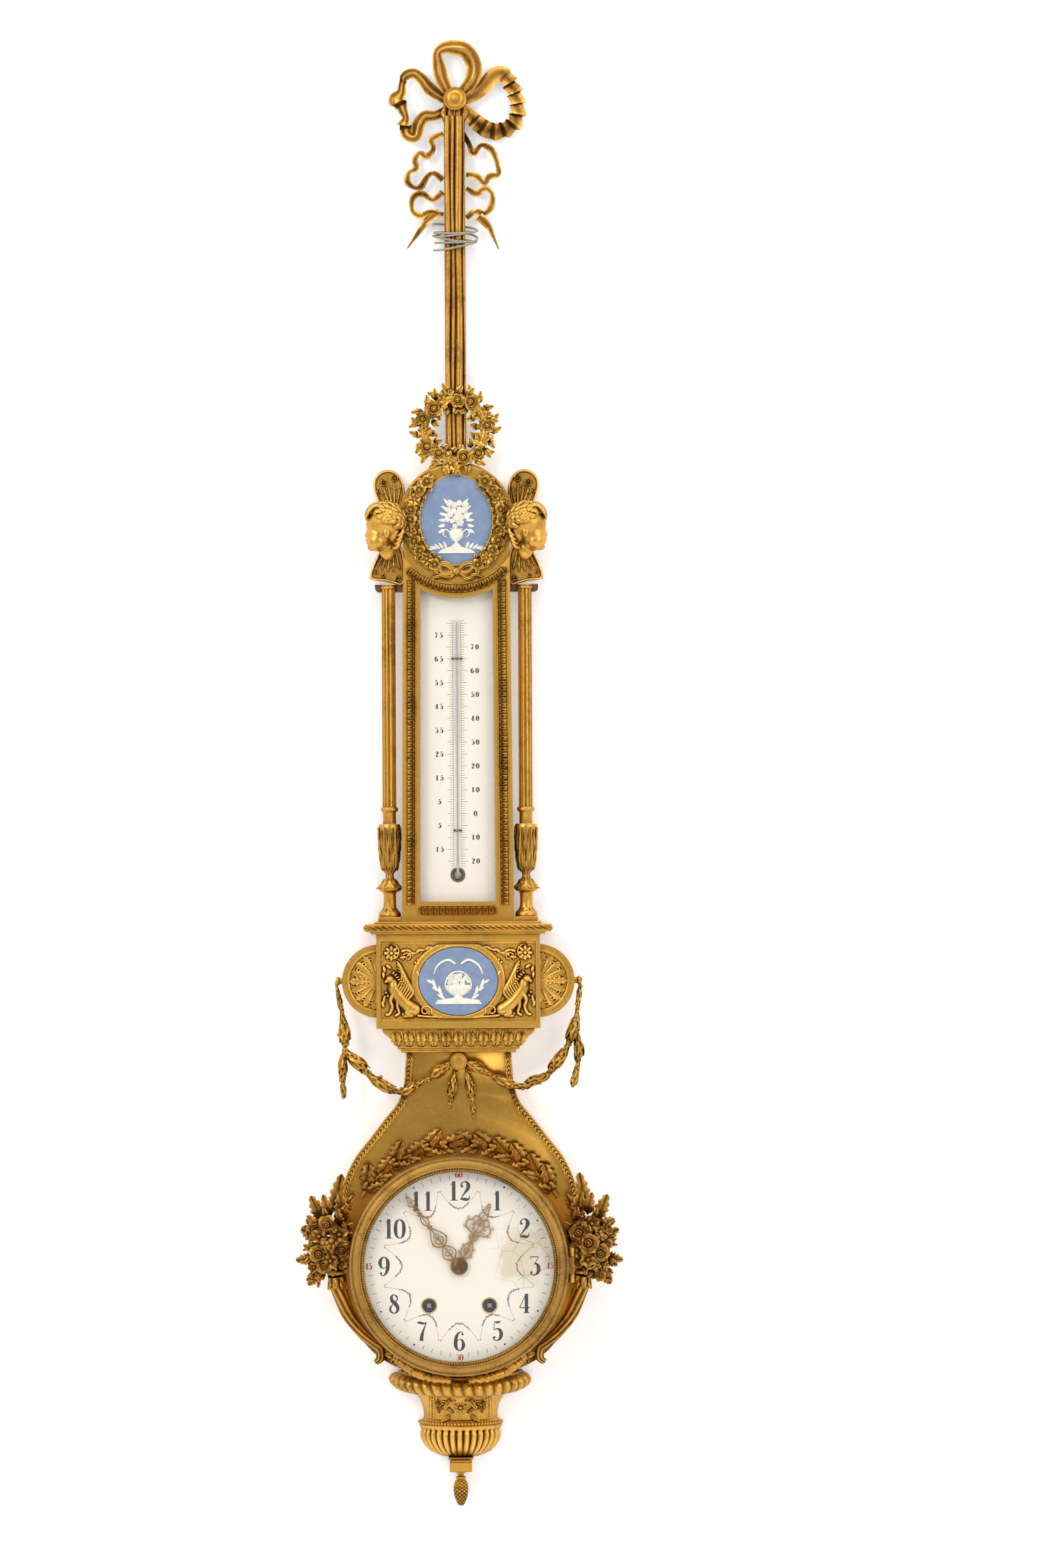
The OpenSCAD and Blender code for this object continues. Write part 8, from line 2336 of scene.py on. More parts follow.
def make_finial():
    """The hanging pine cone."""
    lo, hi = span("finial")
    level, tall, top = (lo[2] + hi[2]) / 2, hi[1] - lo[1], hi[1]
    neck = [(0.2, 0), (3.6, 0), (3.4, 0.8), (2.2, 1.9), (2.0, 2.8), (2.6, 3.4), (3.7, 4.0), (3.6, 4.9),
            (3.0, 5.6)]
    cone = [(4.2, 7.0), (5.2, 10), (5.4, 13), (4.9, 17), (3.9, 20.5), (2.0, tall - 1.2), (0.2, tall - 0.6)]
    fine = catmull(cone, 7)

    def scales(r, row, t):
        """Scales of the cone, above the rows of its neck, with painted shade between the scales and a painted
        highlight on them.
        """
        share = (row >= len(neck)) * 1.0
        u, v = 4.5 * t / math.pi + row / 5, 4.5 * t / math.pi - row / 5
        bump = np.abs(np.sin(math.pi * u) * np.sin(math.pi * v)) ** 0.7
        return r * (1 - share * (0.14 - 0.2 * bump)), share * (0.9 - 1.5 * bump)

    body = turned(neck + [tuple(p) for p in fine], 90, "z", scales)
    body = Form(body.p * [1, -1, 1], body.q[:, ::-1], body.t[:, ::-1], body.d).put((0, top, level))
    p = np.stack([body.p[:, 0], np.maximum(body.p[:, 1], lo[1] + 0.05), body.p[:, 2]], 1)
    piece("pine_cone", Form(p, body.q, body.t, body.d), "cast_gilding", instead=("finial",), angle=60)


BRANCH_LEAVES = ((43, 8, 31.6, 72, 11), (40, 5, 34.6, 118, 9), (31, 1.8, 41.6, 38, 10),
                 (26, 0.4, 45.4, 140, 9),
                 (17, -1, 49, 60, 9), (46.5, 11, 29.4, 20, 8), (12, -1.6, 51, 150, 8))


def branch(s, pick):
    """One knotted branch with its leaves."""
    path = [(49.6, 14.2, 25, 1.7), (44, 8.2, 30, 2.6), (34, 1.6, 39, 3.1), (22, -2.2, 47, 2.9),
            (6, -4.0, 52, 2.2)]
    c = catmull([(s * x, URN_TOP + z, h, r) for x, z, h, r in path], 14)
    r = c[:, 3] * (1 + 0.16 * np.sin(np.arange(len(c)) * 1.7 + s) + 0.1 * pick.normal(0, 1, len(c)))
    out = [tube(c[:, :3], np.clip(r, 1.1, 3.3), 10)]
    for k in (9, 24, 38):
        out.append(ball(2.5, 9, 6).put((c[k, 0], c[k, 1] + 0.6, c[k, 2] + 0.5)))
    for x, z, h, turn, length in BRANCH_LEAVES:
        leaf = acanthus(length, 5.2, rise=0.2, tip=0.06, lobes=3, nu=11, nv=7)
        out.append(leaf.put((s * x, URN_TOP + z, h), turn if s > 0 else 180 - turn, 10))
    return out


def branch_strap():
    """The ribbed strap over the crossing of the branches, with three leaves."""
    half, back = 7.6, 20.4
    ribbed = [(x, 39.2 + 0.7 * math.cos(x * 2.4)) for x in np.linspace(-half, half, 33)]
    ring = ribbed + [(half, back), (-half, back)]
    levels = ((0.15, 0.98), (0.5, 1), (1.8, 1), (2.15, 0.98))
    out = [loft([[(x * q, URN_TOP + z, h) for x, h in ring] for z, q in levels])]
    leaf = acanthus(9, 4.4, rise=0.1, tip=0.08, lobes=3, nu=9, nv=7)
    for k in (-1, 0, 1):
        out.append(leaf.put((4.2 * k, URN_TOP + 1.6, 37.6), 90 - 20 * k, 24))
    return out


def make_branches():
    """Crossed branches and the strap that ties them, under the bezel."""
    pick, forms = np.random.default_rng(15), []
    for s in (-1, 1):
        forms += branch(s, pick)
    forms += branch_strap()
    low, reach, drum_top = (-math.inf, URN_TOP - 7.5, CASE_FACE + 0.12), 78.8, 62
    kept = []
    for form in forms:
        p = np.maximum(form.p, low)
        far = np.hypot(p[:, 0], p[:, 1] - DIAL_Z)
        share = np.where((far < reach) & (p[:, 2] < drum_top), reach / far, 1)
        p[:, 0] *= share
        p[:, 1] = DIAL_Z + (p[:, 1] - DIAL_Z) * share
        kept.append(Form(p, form.q, form.t, form.d))
    piece("rustic_branches", kept, "cast_gilding", instead=("urn_branches",), angle=60)


# Clock: drum, bezel, dial, hands


def make_bezel_beads():
    """Three rows of beads round the bezel."""
    size, top = bpy.context.scene.cartel_sizes, BEZEL_FACE
    rows = (("fine_beads", 76.95, top - 1.35, 0.8, size.fine_beads),
            ("inner_beads", 69.35, top + 0.1, 0.95, size.inner_beads),
            ("band_beads", 72.0, top + 0.35, 0.34, size.fine_beads + 60))
    for name, r, h, bead, count in rows:
        tile = tile_of(name + "_tile", ball(bead, 6, 4))
        ring = ring_path(r, DIAL_Z, h, 0, 360, 241)[:-1]
        values = {"Tile": tile, "Count": count, "Out": OFF_THE_WALL, "Size": 1.0}
        grown("bezel_" + name, [ring], "moulding", values, "dull_gilding", "bezel", closed=True)


def make_clock_glass():
    """The domed glass and a painted reflection ring at its edge."""
    lo, hi = span("bezel_glass")
    g, under = hi[2], lo[2] + 0.1
    lens = [(0.1, under + 1.4), (30, under + 1.15), (50, under + 0.7), (64, under + 0.2), (70.6, under),
            (70.6, g - 0.4), (69.0, g - 0.1), (64.5, g + 0.2), (50, g + 0.8), (30, g + 1.4), (0.1, g + 1.7)]
    # A pale ring paints the reflection at the glass's edge.
    edge = [(68.1, g + 0.02), (68.1, g + 0.5), (67.6, g + 0.6), (66.9, g + 0.4), (66.9, g + 0.3)]
    dome = turned(lens, 128).put((0, DIAL_Z, 0))
    piece("clock_glass", dome, "clear_glass", "bezel", ("bezel_glass",), angle=30)
    piece("glass_edge", lathe_ring(edge, 0, DIAL_Z, count=160), "bevel_reflection_glass", "bezel")


def make_bezel():
    """The drum, the bezel with its mouldings and beads, and its glass."""
    eased("drum", "plain_gilding", 0.4, name="clock_drum")
    eased("bezel_ring", "dull_gilding", 0.3, "bezel", "bezel_casting")
    top = BEZEL_FACE
    section = [(78.3, top - 4.6), (78.5, top - 3.6), (78.1, top - 2.6), (77.3, top - 1.9),
               (76.7, top - 1.9),
               (76.2, top - 1.4), (75.6, top - 0.6), (74.8, top - 0.1), (73.0, top + 0.15),
               (71.6, top + 0.25),
               (71.2, top + 0.5), (70.6, top + 0.5), (70.2, top + 0.1), (69.6, top - 0.3),
               (68.6, top - 0.6),
               (68.2, top - 1.4), (68.2, top - 3.4), (68.8, top - 4.6)]
    moulding = lathe_ring(section, 0, DIAL_Z, count=220)
    piece("bezel_moulding", moulding, "dull_gilding", "bezel", angle=35)
    make_bezel_beads()
    make_clock_glass()


HOUR_RING, QUARTER_RING = 53.8, 65.0
FESTOON_HALF, FESTOON_LOW, FESTOON_RISE = 14.2, 41.2, 13.6
WINDING_X, WINDING_DROP = 21.6, 28.3


def dial_figures(low, high):
    """The black hours and minute marks, and the red quarters."""
    tall = bpy.context.scene.cartel_sizes.hour_figure_height * 1000
    black, red, z0 = [], [], DIAL_Z
    for hour in range(1, 13):
        a = math.radians(30 * hour)
        x, z = HOUR_RING * math.sin(a), z0 + HOUR_RING * math.cos(a)
        black += number(str(hour), tall, x, z, 0, low, high, weight=1.34)
    for minute in range(60):
        a = math.radians(6 * minute)
        s, c = math.sin(a), math.cos(a)
        if minute % 15 == 0:
            x, z = QUARTER_RING * s, z0 + (QUARTER_RING + 0.4) * c
            red += number(str(minute or 60), 4.3, x, z, 0, low, high, weight=1.9)
        elif minute % 5 == 0:
            black.append(turned([(0.7, low), (0.7, high)], 14).put((64.8 * s, z0 + 64.8 * c, 0)))
        else:
            black.append(bar_mark(62.0 * s, z0 + 62.0 * c, 65.2 * s, z0 + 65.2 * c, 0.34, low, high))
    return black, red


def festoon_place(hour, s):
    """Angle and radius on the festoon under an hour, with s from -1 to 1 along it."""
    return math.radians(30 * hour + FESTOON_HALF * s), FESTOON_LOW + FESTOON_RISE * abs(s) ** 2.3


def dial_festoons(low, high):
    """Gilt lines of the twelve festoons, and their roses, leaves and buds."""
    pick, z0 = np.random.default_rng(21), DIAL_Z
    lines, pink, green, blue = [], [], [], []
    for hour in range(12):
        path = []
        for s in np.linspace(-1, 1, 25):
            a, r = festoon_place(hour, s)
            path.append((r * math.sin(a), z0 + r * math.cos(a), 0.24))
        lines.append(flat_text_stroke(path, 1.0, 0, 0, 0, low, high))
        for s in (-1, 1):
            a, r = festoon_place(hour, s)[0], FESTOON_LOW + FESTOON_RISE + 0.1
            dot = turned([(0.5, low), (0.5, high + 0.004)], 12)
            lines.append(dot.put((r * math.sin(a), z0 + r * math.cos(a), 0)))
        for k in range(27):
            s = -0.62 + 1.24 * k / 26
            a, r = festoon_place(hour, s)
            r += pick.uniform(-0.75, 0.75) * (1 - abs(s))
            leafy = k % 2 or abs(s) <= 0.26
            kind = pink if abs(s) < 0.24 and k % 3 else (green if leafy else blue)
            flower = turned([(pick.uniform(0.42, 0.72), low), (0.3, high + 0.006 + 0.001 * (k % 4))], 7)
            kind.append(flower.put((r * math.sin(a), z0 + r * math.cos(a), 0)))
    return lines, pink, green, blue


def make_winding_holes():
    """Brass rims of the two winding holes, and black floors in them that paint the shade inside."""
    low = DIAL_FACE
    rim = [(5.5, low - 0.4), (5.75, low), (5.75, low + 0.22), (5.2, low + 0.3), (4.9, low + 0.1),
           (4.9, low - 0.4)]
    # A black floor below the dial paints the shade inside each hole.
    cup = [(5.3, low - 2.6), (5.3, low - 2.3), (2.5, low - 2.3), (2.5, low - 2.6)]
    for name, section, material in (("winding_rims", rim, "works_brass"),
                                    ("winding_cups", cup, "print_black")):
        rings = [lathe_ring(section, s * WINDING_X, DIAL_Z - WINDING_DROP, count=48) for s in (-1, 1)]
        piece(name, rings, material)


def make_dial():
    """The enamel dial with its printing and its winding holes."""
    eased("dial", "white_enamel", 0.2, name="enamel_dial")
    low, high = DIAL_FACE, DIAL_FACE + 0.035
    black, red = dial_figures(low, high)
    lines, pink, green, blue = dial_festoons(low, high)
    for name, forms, material in (("dial_figures", black, "print_black"),
                                  ("dial_quarters", red, "print_red"),
                                  ("dial_festoons", lines, "print_gilt"),
                                  ("festoon_roses", pink, "print_pink"),
                                  ("festoon_leaves", green, "print_green"),
                                  ("festoon_buds", blue, "print_blue")):
        piece(name, forms, material)
    make_winding_holes()


def hand_forms(strokes, turn, level, high):
    """A pierced hand from strokes drawn upright on its right side."""
    out = []
    for k, stroke in enumerate(strokes):
        rows = stroke
        if len(stroke) == 2:
            rows = [stroke[0], tuple((a + b) / 2 for a, b in zip(*stroke)), stroke[1]]
        top = high + 0.003 * (k % 9)
        for s in (1, -1) if any(abs(p[0]) > 0.05 for p in rows) else (1,):
            side = [(s * x, y, w) for x, y, w in rows]
            out.append(flat_text_stroke(side, 1.0, 0, DIAL_Z, turn, level, top))
    return out


MINUTE = [[(0, 6, 1.1), (0, 64.6, 0.3)], [(0.3, 5.8, 1.3), (4.4, 9.4, 0.9), (4.9, 12.4, 0.8),
        (2.6, 16, 0.9), (0.6, 18.2, 1.2)], [(0.6, 10, 0.7), (2.6, 11.6, 0.7), (2.2, 13.6, 0.6),
        (0.8, 13.2, 0.5)],
        [(0.6, 18.2, 1.2), (4.2, 20.4, 1.0), (5.4, 23, 0.9), (5.0, 26, 0.8), (2.6, 30.4, 0.8),
        (0.5, 33.6, 1.0)], [(0.4, 20.2, 0.8), (2.4, 21.6, 0.8), (3.2, 23.8, 0.7), (2.0, 25, 0.6),
        (1.2, 24, 0.5)],
        [(0.4, 24.5, 0.8), (1.8, 26.8, 0.7), (1.0, 28.8, 0.6)],
        [(4.9, 21.5, 0.6), (6.2, 22.6, 0.5), (5.6, 24.2, 0.4)],
        [(0.4, 34.2, 1.6), (1.5, 34.8, 0.9), (0.4, 36, 1.2)],
        [(0.4, 36, 1.0), (2.3, 39.4, 0.8), (2.0, 42.6, 0.7), (0.4, 45.4, 1.0)],
        [(0.3, 45.8, 1.6), (1.4, 46.8, 0.8), (0.3, 47.8, 1.0)],
        [(0.3, 47.8, 0.9), (1.5, 50.4, 0.6), (0.4, 53.6, 0.8)],
        [(0.3, 54, 1.1), (2.0, 54.8, 0.7), (2.8, 56.6, 0.8), (2.0, 57.4, 0.5)],
        [(0.3, 56.6, 1.0), (1.6, 58.2, 0.6), (1.0, 60.4, 0.5), (0.2, 62.6, 0.6)]]
HOUR = [[(0, 6, 1.2), (0, 49.6, 0.3)], [(0.3, 5.6, 1.3), (3.6, 9.4, 0.9), (3.9, 12.4, 0.8),
        (2.6, 16.2, 0.9), (0.6, 19.6, 1.2)], [(0.5, 9.6, 0.7), (2.0, 11.6, 0.7), (1.6, 14.0, 0.6),
        (0.5, 13.2, 0.5)],
        [(3.6, 8.8, 0.6), (5.0, 9.0, 0.5), (5.0, 10.6, 0.4)],
        [(3.4, 14.2, 0.6), (4.9, 14.9, 0.5), (4.2, 16.2, 0.4)],
        [(0.5, 20.2, 1.4), (2.6, 21.6, 0.8), (3.4, 23.8, 0.6), (2.2, 24.6, 0.5)],
        [(0.5, 22, 1.2), (2.2, 25.4, 0.9), (5.4, 26.4, 0.9), (8.6, 28.4, 0.8), (9.2, 32.0, 0.8),
        (6.8, 34.4, 0.7), (4.4, 33.4, 0.7), (4.4, 31.2, 0.6), (6.2, 30.6, 0.5)],
        [(0.5, 26, 0.9), (2.6, 28.4, 0.8), (3.2, 32.6, 0.8), (2.4, 35.6, 0.7), (0.6, 36.6, 0.7)],
        [(8.2, 27.6, 0.6), (9.9, 27.4, 0.5), (10.2, 29.0, 0.4)],
        [(9.0, 33, 0.6), (10.2, 34.4, 0.5), (9.0, 35.6, 0.4)],
        [(6.4, 34.6, 0.7), (5.6, 37.2, 0.7), (3.4, 38.2, 0.7), (2.6, 36.8, 0.5)],
        [(1.4, 28.6, 0.5), (4.4, 28.2, 0.5), (6.6, 29.0, 0.4)],
        [(0.5, 36.8, 0.9), (2.9, 38.6, 0.8), (2.4, 42.0, 0.7), (0.4, 49.8, 0.6)],
        [(0.4, 32, 0.6), (1.6, 33.2, 0.5), (0.5, 34.8, 0.5)]]


# Where the hands point in the photograph, in degrees anticlockwise from twelve
HOUR_TURN, MINUTE_TURN = -26.6, 36.9


def hub(r, low, high):
    """The round eye of a hand."""
    return lathe_ring([(r, low), (r, high - 0.1), (r - 0.3, high), (2.9, high), (2.9, low)], 0, DIAL_Z,
                      count=48)


def make_hands():
    """The pierced hands and the washer on them."""
    for slot, strokes, turn, r in (("hour", HOUR, HOUR_TURN, 6.2), ("minute", MINUTE, MINUTE_TURN, 6.3)):
        name = slot + "_hand"
        lo, hi = span(name)
        forms = hand_forms(strokes, turn, lo[2], hi[2] - 0.05) + [hub(r, lo[2], hi[2])]
        piece(name + "_pierced", forms, "pierced_gilding", slot, (name,))
    low, high = (corner[2] for corner in span("hand_nut"))
    dome = [(0.1, low), (5.4, low), (5.6, low + 0.3), (5.2, low + 0.62), (4.3, low + 0.5), (4.0, low + 0.8),
            (2.6, high - 0.1), (1.2, high), (0.1, high)]
    washer = turned(dome, 48).put((0, DIAL_Z, 0))
    piece("hand_washer", washer, "cast_gilding", "minute", ("hand_nut",))


PLAIN_PARTS = {
    "works_steel": ("hanger_strap", "case_screws", "hinge_pin", "going_arbor", "strike_arbor", "anchor",
                    "hammer"),
    "works_brass": ("movement_frame", "going_barrel", "strike_barrel", "intermediate_wheel", "centre_wheel",
                    "third_wheel", "escape_wheel", "pendulum", "minute_wheel", "hour_wheel"),
    "bell_metal": ("bell",),
    "board_wood": ("backing_board",),
}


def paint_works():
    """Finishes for the parts that are shown as the frame has them."""
    for material, names in PLAIN_PARTS.items():
        for name in names:
            mesh = frame["nodes"][name].data
            mesh.materials.clear()
            mesh.materials.append(finish(material))


# Stage


# Name, place, point lit, width, power and tint of each lamp
LAMPS = (
    ("key", (-1.5, -2.2, 0.9), (0, 0, -0.25), 0.7, 20, (1, 0.985, 0.96)),
    ("fill", (1.7, -2.1, 0.3), (0, 0, -0.3), 1.3, 12, (1, 0.99, 0.98)),
    ("top", (0.1, -1.1, 1.7), (0, 0, -0.2), 1.2, 11, (1, 1, 1)),
    ("low", (0.2, -2.4, -1.5), (0, 0, -0.4), 1.0, 2.5, (1, 1, 1)),
    ("rear", (0.4, 2.3, 0.9), (0, 0, -0.3), 1.2, 14, (1, 1, 1)),
)


def add_backdrop():
    """The wall behind the clock and a floor far below it."""
    wall, floor = 0.0006, -1.9
    flats = (
        ("wall", [(-4, wall, floor), (4, wall, floor), (4, wall, 3), (-4, wall, 3)], True),
        ("floor", [(-5, -6, floor), (5, -6, floor), (5, 6, floor), (-5, 6, floor)], False),
    )
    for name, corners, shows in flats:
        mesh = bpy.data.meshes.new(name)
        mesh.from_pydata(corners, [], [(0, 1, 2, 3)])
        mesh.materials.append(backdrop_finish(name, shows))
        obj = bpy.data.objects.new("stage_" + name, mesh)
        bpy.context.scene.collection.objects.link(obj)


def add_studio_light():
    """A room for the metal to mirror, dark below and bright at the sides, seen as plain near-white."""
    world = bpy.data.worlds.new("studio")
    world.use_nodes = True
    tree = world.node_tree
    back = next(n for n in tree.nodes if n.type == "BACKGROUND")
    ray = node(tree, "ShaderNodeLightPath")
    seen = calc(tree, "MAXIMUM", ray.outputs["Is Camera Ray"], ray.outputs["Is Transmission Ray"])
    toward = node(tree, "ShaderNodeTexCoord").outputs["Generated"]
    parts = node(tree, "ShaderNodeSeparateXYZ", {0: toward}).outputs
    above = ramped(tree, parts["Z"], -0.7, 0.8, 0.16, 0.92)
    aside = ramped(tree, calc(tree, "ABSOLUTE", parts["X"], 0.0), 0.22, 0.6, 0.8, 1.8)
    glow = calc(tree, "MULTIPLY", above, aside)
    room = node(tree, "ShaderNodeCombineXYZ", {0: glow, 1: glow, 2: glow}).outputs[0]
    white = mixed(tree, seen, room, (0.93, 0.93, 0.93, 1))
    tree.links.new(white, back.inputs["Color"])
    bpy.context.scene.world = world


def add_lamps():
    """Round soft lamps, each turned towards the clock."""
    for name, at, aim, size, power, tint in LAMPS:
        lamp = bpy.data.lights.new(name, "AREA")
        lamp.shape = "DISK"
        lamp.size = size
        lamp.energy = power
        lamp.color = tint
        obj = bpy.data.objects.new(name, lamp)
        obj.location = at
        obj.rotation_euler = (Vector(aim) - Vector(at)).to_track_quat("-Z", "Y").to_euler()
        bpy.context.scene.collection.objects.link(obj)


def add_camera():
    """A long lens from 5 m in front, at the photograph's height."""
    view = bpy.data.cameras.new("camera")
    view.sensor_width = 36
    view.lens = 158.4
    view.clip_end = 30
    obj = bpy.data.objects.new("camera", view)
    obj.location = (0.047, -5.0, -0.2095)
    obj.rotation_euler = (math.radians(90), math.radians(0.28), 0)
    bpy.context.scene.collection.objects.link(obj)
    bpy.context.scene.camera = obj


def make_stage():
    """Wall, floor, lamps and camera."""
    add_backdrop()
    add_studio_light()
    add_lamps()
    add_camera()
    view_settings = bpy.context.scene.view_settings
    view_settings.view_transform = "Standard"
    view_settings.look = "None"


def backdrop_finish(name, shows):
    """A pale matt ground that takes shadows, near white where it is seen and clear from behind."""
    material, tree, shader = surface("backdrop_" + name, (0.78, 0.78, 0.785), 0.0, 0.9,
                                     specular_ior_level=0.0)
    ray = node(tree, "ShaderNodeLightPath")
    lifted = calc(tree, "MAXIMUM", ray.outputs["Is Camera Ray"], ray.outputs["Is Glossy Ray"])
    shader.inputs["Emission Color"].default_value = (1, 1, 1, 1)
    tree.links.new(calc(tree, "MULTIPLY", lifted, 0.3 if shows else 0.2),
                   shader.inputs["Emission Strength"])
    behind = node(tree, "ShaderNodeNewGeometry").outputs["Backfacing"]
    through = calc(tree, "MAXIMUM", behind, ray.outputs["Is Shadow Ray"]) if shows else behind
    gap = node(tree, "ShaderNodeBsdfTransparent")
    mix = node(tree, "ShaderNodeMixShader", {0: through, 1: shader.outputs[0], 2: gap.outputs[0]})
    out = next(n for n in tree.nodes if n.type == "OUTPUT_MATERIAL")
    tree.links.new(mix.outputs[0], out.inputs["Surface"])
    return material


# Settings, operators and panel


class CartelSizes(bpy.types.PropertyGroup):
    """Sizes of what the frame doesn't give."""

    twine_radius: FloatProperty(name="Twine radius", description="Half the thickness of the twine",
                                default=0.0008, subtype="DISTANCE", unit="LENGTH")
    twine_twist: FloatProperty(name="Twine twist", description="Turn of the strands per metre",
                               default=1150.0, subtype="ANGLE", unit="ROTATION", soft_max=2000)
    leaf_step: FloatProperty(name="Leaf step",
            description="Distance from one leaf of the frame's moulding to the next", default=0.0039,
            subtype="DISTANCE", unit="LENGTH")
    leaf_size: FloatProperty(name="Leaf size", description="Scale of one leaf of the frame's moulding",
                             default=1.0)
    border_step: FloatProperty(name="Border step",
            description="Distance from one leaf pair of the case border to the next", default=0.0029,
            subtype="DISTANCE", unit="LENGTH")
    flute_depth: FloatProperty(name="Flute depth",
            description="Depth of the column flutes as a share of the radius", default=0.15,
            subtype="FACTOR")
    roll_twist: FloatProperty(name="Roll twist", description="Turn of the cornice roll per metre",
                              default=230.0, subtype="ANGLE", unit="ROTATION", soft_max=2000)
    scale_figure_height: FloatProperty(name="Scale figure height",
            description="Height of the figures on the thermometer scale", default=0.0036,
            subtype="DISTANCE", unit="LENGTH")
    hour_figure_height: FloatProperty(name="Hour figure height",
            description="Height of the hour figures on the dial", default=0.0137, subtype="DISTANCE",
            unit="LENGTH")
    cherub_fineness: FloatProperty(name="Cherub fineness",
            description="Grid size of the skin of the cherub heads", default=0.00045, subtype="DISTANCE",
            unit="LENGTH", precision=5)
    swag_leaves: IntProperty(name="Swag leaves", description="Leaves on each of the two laurel garlands",
                             default=190)
    urn_beads: IntProperty(name="Urn beads", description="Beads round the urn", default=34)
    fine_beads: IntProperty(name="Fine beads", description="Beads in the outer row of the bezel",
                            default=300)
    inner_beads: IntProperty(name="Inner beads", description="Beads in the row next to the clock glass",
                             default=240)


class CartelColours(bpy.types.PropertyGroup):
    """Base colours of the finishes."""

    gilt: FloatVectorProperty(name="Gilt", description="Colour of the gilding",
                              default=(0.64, 0.345, 0.062), subtype="COLOR", min=0, max=1)
    # Dark tone of the gilding: the patina and the painted shade in the hollows.
    patina: FloatVectorProperty(name="Patina", description="Colour of the hollows",
                                default=(0.085, 0.040, 0.008), subtype="COLOR", min=0, max=1)
    biscuit: FloatVectorProperty(name="Biscuit", description="Ground colour of the two plaques",
                                 default=(0.165, 0.225, 0.345), subtype="COLOR", min=0, max=1)
    enamel: FloatVectorProperty(name="Enamel", description="Colour of the dial and the scale",
                                default=(0.86, 0.79, 0.69), subtype="COLOR", min=0, max=1)
    twine: FloatVectorProperty(name="Twine", description="Colour of the twine", default=(0.33, 0.29, 0.21),
                               subtype="COLOR", min=0, max=1)


class CARTEL_OT_bow(bpy.types.Operator):
    """Ribbon bow with its button"""

    bl_idname = "cartel.bow"
    bl_label = "Bow"

    def execute(self, context):
        make_bow()
        make_tails()
        return {"FINISHED"}


class CARTEL_OT_stem(bpy.types.Operator):
    """Reeded stem and the twine wound round it"""

    bl_idname = "cartel.stem"
    bl_label = "Stem and twine"

    def execute(self, context):
        make_stem()
        make_twine()
        return {"FINISHED"}


class CARTEL_OT_wreath(bpy.types.Operator):
    """Flower wreath in front of the stem's foot"""

    bl_idname = "cartel.wreath"
    bl_label = "Wreath"

    def execute(self, context):
        make_wreath()
        return {"FINISHED"}


class CARTEL_OT_frame(bpy.types.Operator):
    """Frame casting with its leaf moulding"""

    bl_idname = "cartel.frame"
    bl_label = "Thermometer frame"

    def execute(self, context):
        make_frame()
        make_moulding()
        return {"FINISHED"}


class CARTEL_OT_scale(bpy.types.Operator):
    """Enamel scale, glass tube, ties and front glass"""

    bl_idname = "cartel.scale"
    bl_label = "Scale"

    def execute(self, context):
        make_scale()
        make_glass_front()
        return {"FINISHED"}


class CARTEL_OT_plaques(bpy.types.Operator):
    """Two blue ovals with raised work"""

    bl_idname = "cartel.plaques"
    bl_label = "Plaques"

    def execute(self, context):
        make_upper_plaque()
        make_lower_plaque()
        return {"FINISHED"}


class CARTEL_OT_garlands(bpy.types.Operator):
    """Rose garlands round the upper plaque"""

    bl_idname = "cartel.garlands"
    bl_label = "Head garlands"

    def execute(self, context):
        make_head_garlands()
        return {"FINISHED"}


class CARTEL_OT_cherubs(bpy.types.Operator):
    """Cherub heads and their wings"""

    bl_idname = "cartel.cherubs"
    bl_label = "Cherubs"

    def execute(self, context):
        make_cherubs()
        make_wings()
        return {"FINISHED"}


class CARTEL_OT_columns(bpy.types.Operator):
    """Fluted shafts, feet and brackets"""

    bl_idname = "cartel.columns"
    bl_label = "Columns"

    def execute(self, context):
        make_brackets()
        make_columns()
        return {"FINISHED"}


class CARTEL_OT_box(bpy.types.Operator):
    """Box with cornices, carved field, lobes and knobs"""

    bl_idname = "cartel.box"
    bl_label = "Box"

    def execute(self, context):
        make_box()
        make_box_relief()
        make_lobes()
        make_knobs()
        return {"FINISHED"}


class CARTEL_OT_laurel(bpy.types.Operator):
    """Laurel garlands and tails"""

    bl_idname = "cartel.laurel"
    bl_label = "Laurel"

    def execute(self, context):
        make_laurel()
        return {"FINISHED"}


class CARTEL_OT_case(bpy.types.Operator):
    """Case with border and oak sprays"""

    bl_idname = "cartel.case"
    bl_label = "Clock case"

    def execute(self, context):
        make_case()
        make_oak()
        return {"FINISHED"}


class CARTEL_OT_horns(bpy.types.Operator):
    """Fluted horns with their bouquets"""

    bl_idname = "cartel.horns"
    bl_label = "Horns of plenty"

    def execute(self, context):
        make_horns()
        make_bouquets()
        return {"FINISHED"}


class CARTEL_OT_urn(bpy.types.Operator):
    """Urn with pine cone and branches"""

    bl_idname = "cartel.urn"
    bl_label = "Urn"

    def execute(self, context):
        make_urn()
        make_finial()
        make_branches()
        return {"FINISHED"}


class CARTEL_OT_clock(bpy.types.Operator):
    """Drum, bezel, dial and hands"""

    bl_idname = "cartel.clock"
    bl_label = "Clock"

    def execute(self, context):
        make_bezel()
        make_dial()
        make_hands()
        return {"FINISHED"}


class CARTEL_OT_works(bpy.types.Operator):
    """Finishes of the movement, strap and screws"""

    bl_idname = "cartel.works"
    bl_label = "Works"

    def execute(self, context):
        paint_works()
        return {"FINISHED"}


class CARTEL_OT_stage(bpy.types.Operator):
    """Wall, floor, lamps and camera"""

    bl_idname = "cartel.stage"
    bl_label = "Stage"

    def execute(self, context):
        make_stage()
        return {"FINISHED"}


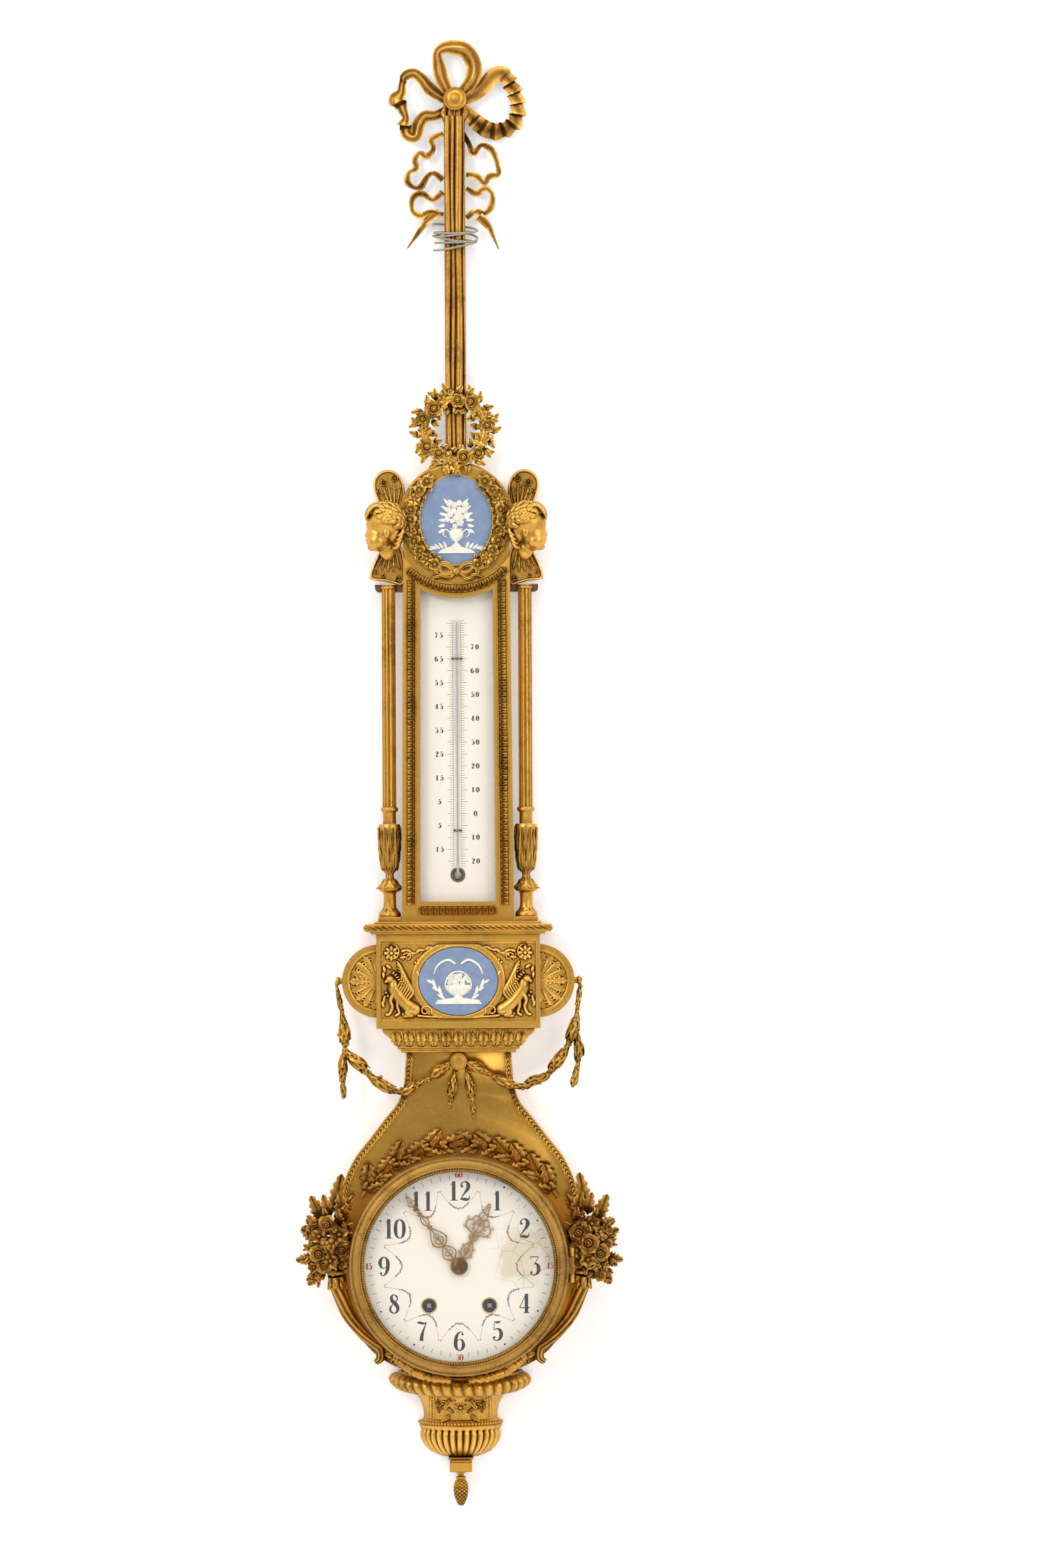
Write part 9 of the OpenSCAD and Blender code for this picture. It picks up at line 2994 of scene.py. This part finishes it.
OPERATORS = (CARTEL_OT_bow, CARTEL_OT_stem, CARTEL_OT_wreath, CARTEL_OT_frame, CARTEL_OT_scale,
        CARTEL_OT_plaques, CARTEL_OT_garlands, CARTEL_OT_cherubs, CARTEL_OT_columns, CARTEL_OT_box,
        CARTEL_OT_laurel, CARTEL_OT_case, CARTEL_OT_horns, CARTEL_OT_urn, CARTEL_OT_clock, CARTEL_OT_works,
        CARTEL_OT_stage)


class CARTEL_PT_panel(bpy.types.Panel):
    """Lists what can be built, in order, with the sizes and colours it uses"""

    bl_label = "Cartel"
    bl_space_type = "VIEW_3D"
    bl_region_type = "UI"
    bl_category = "Cartel"

    def draw(self, context):
        column = self.layout.column()
        for kind in OPERATORS:
            column.operator(kind.bl_idname)
        for group in (context.scene.cartel_sizes, context.scene.cartel_colours):
            for name in group.__annotations__:
                column.prop(group, name)


CLASSES = (CartelSizes, CartelColours, *OPERATORS, CARTEL_PT_panel)


def register():
    """Registers the classes and puts the settings on the scene."""
    for kind in CLASSES:
        bpy.utils.register_class(kind)
    bpy.types.Scene.cartel_sizes = PointerProperty(type=CartelSizes)
    bpy.types.Scene.cartel_colours = PointerProperty(type=CartelColours)


def unregister():
    """Takes the settings and the classes away."""
    del bpy.types.Scene.cartel_colours
    del bpy.types.Scene.cartel_sizes
    for kind in reversed(CLASSES):
        bpy.utils.unregister_class(kind)


def main():
    """Builds every piece in order."""
    register()
    bpy.ops.cartel.bow()
    bpy.ops.cartel.stem()
    bpy.ops.cartel.wreath()
    bpy.ops.cartel.frame()
    bpy.ops.cartel.scale()
    bpy.ops.cartel.plaques()
    bpy.ops.cartel.garlands()
    bpy.ops.cartel.cherubs()
    bpy.ops.cartel.columns()
    bpy.ops.cartel.box()
    bpy.ops.cartel.laurel()
    bpy.ops.cartel.case()
    bpy.ops.cartel.horns()
    bpy.ops.cartel.urn()
    bpy.ops.cartel.clock()
    bpy.ops.cartel.works()
    bpy.ops.cartel.stage()


if __name__ == "__main__":
    main()
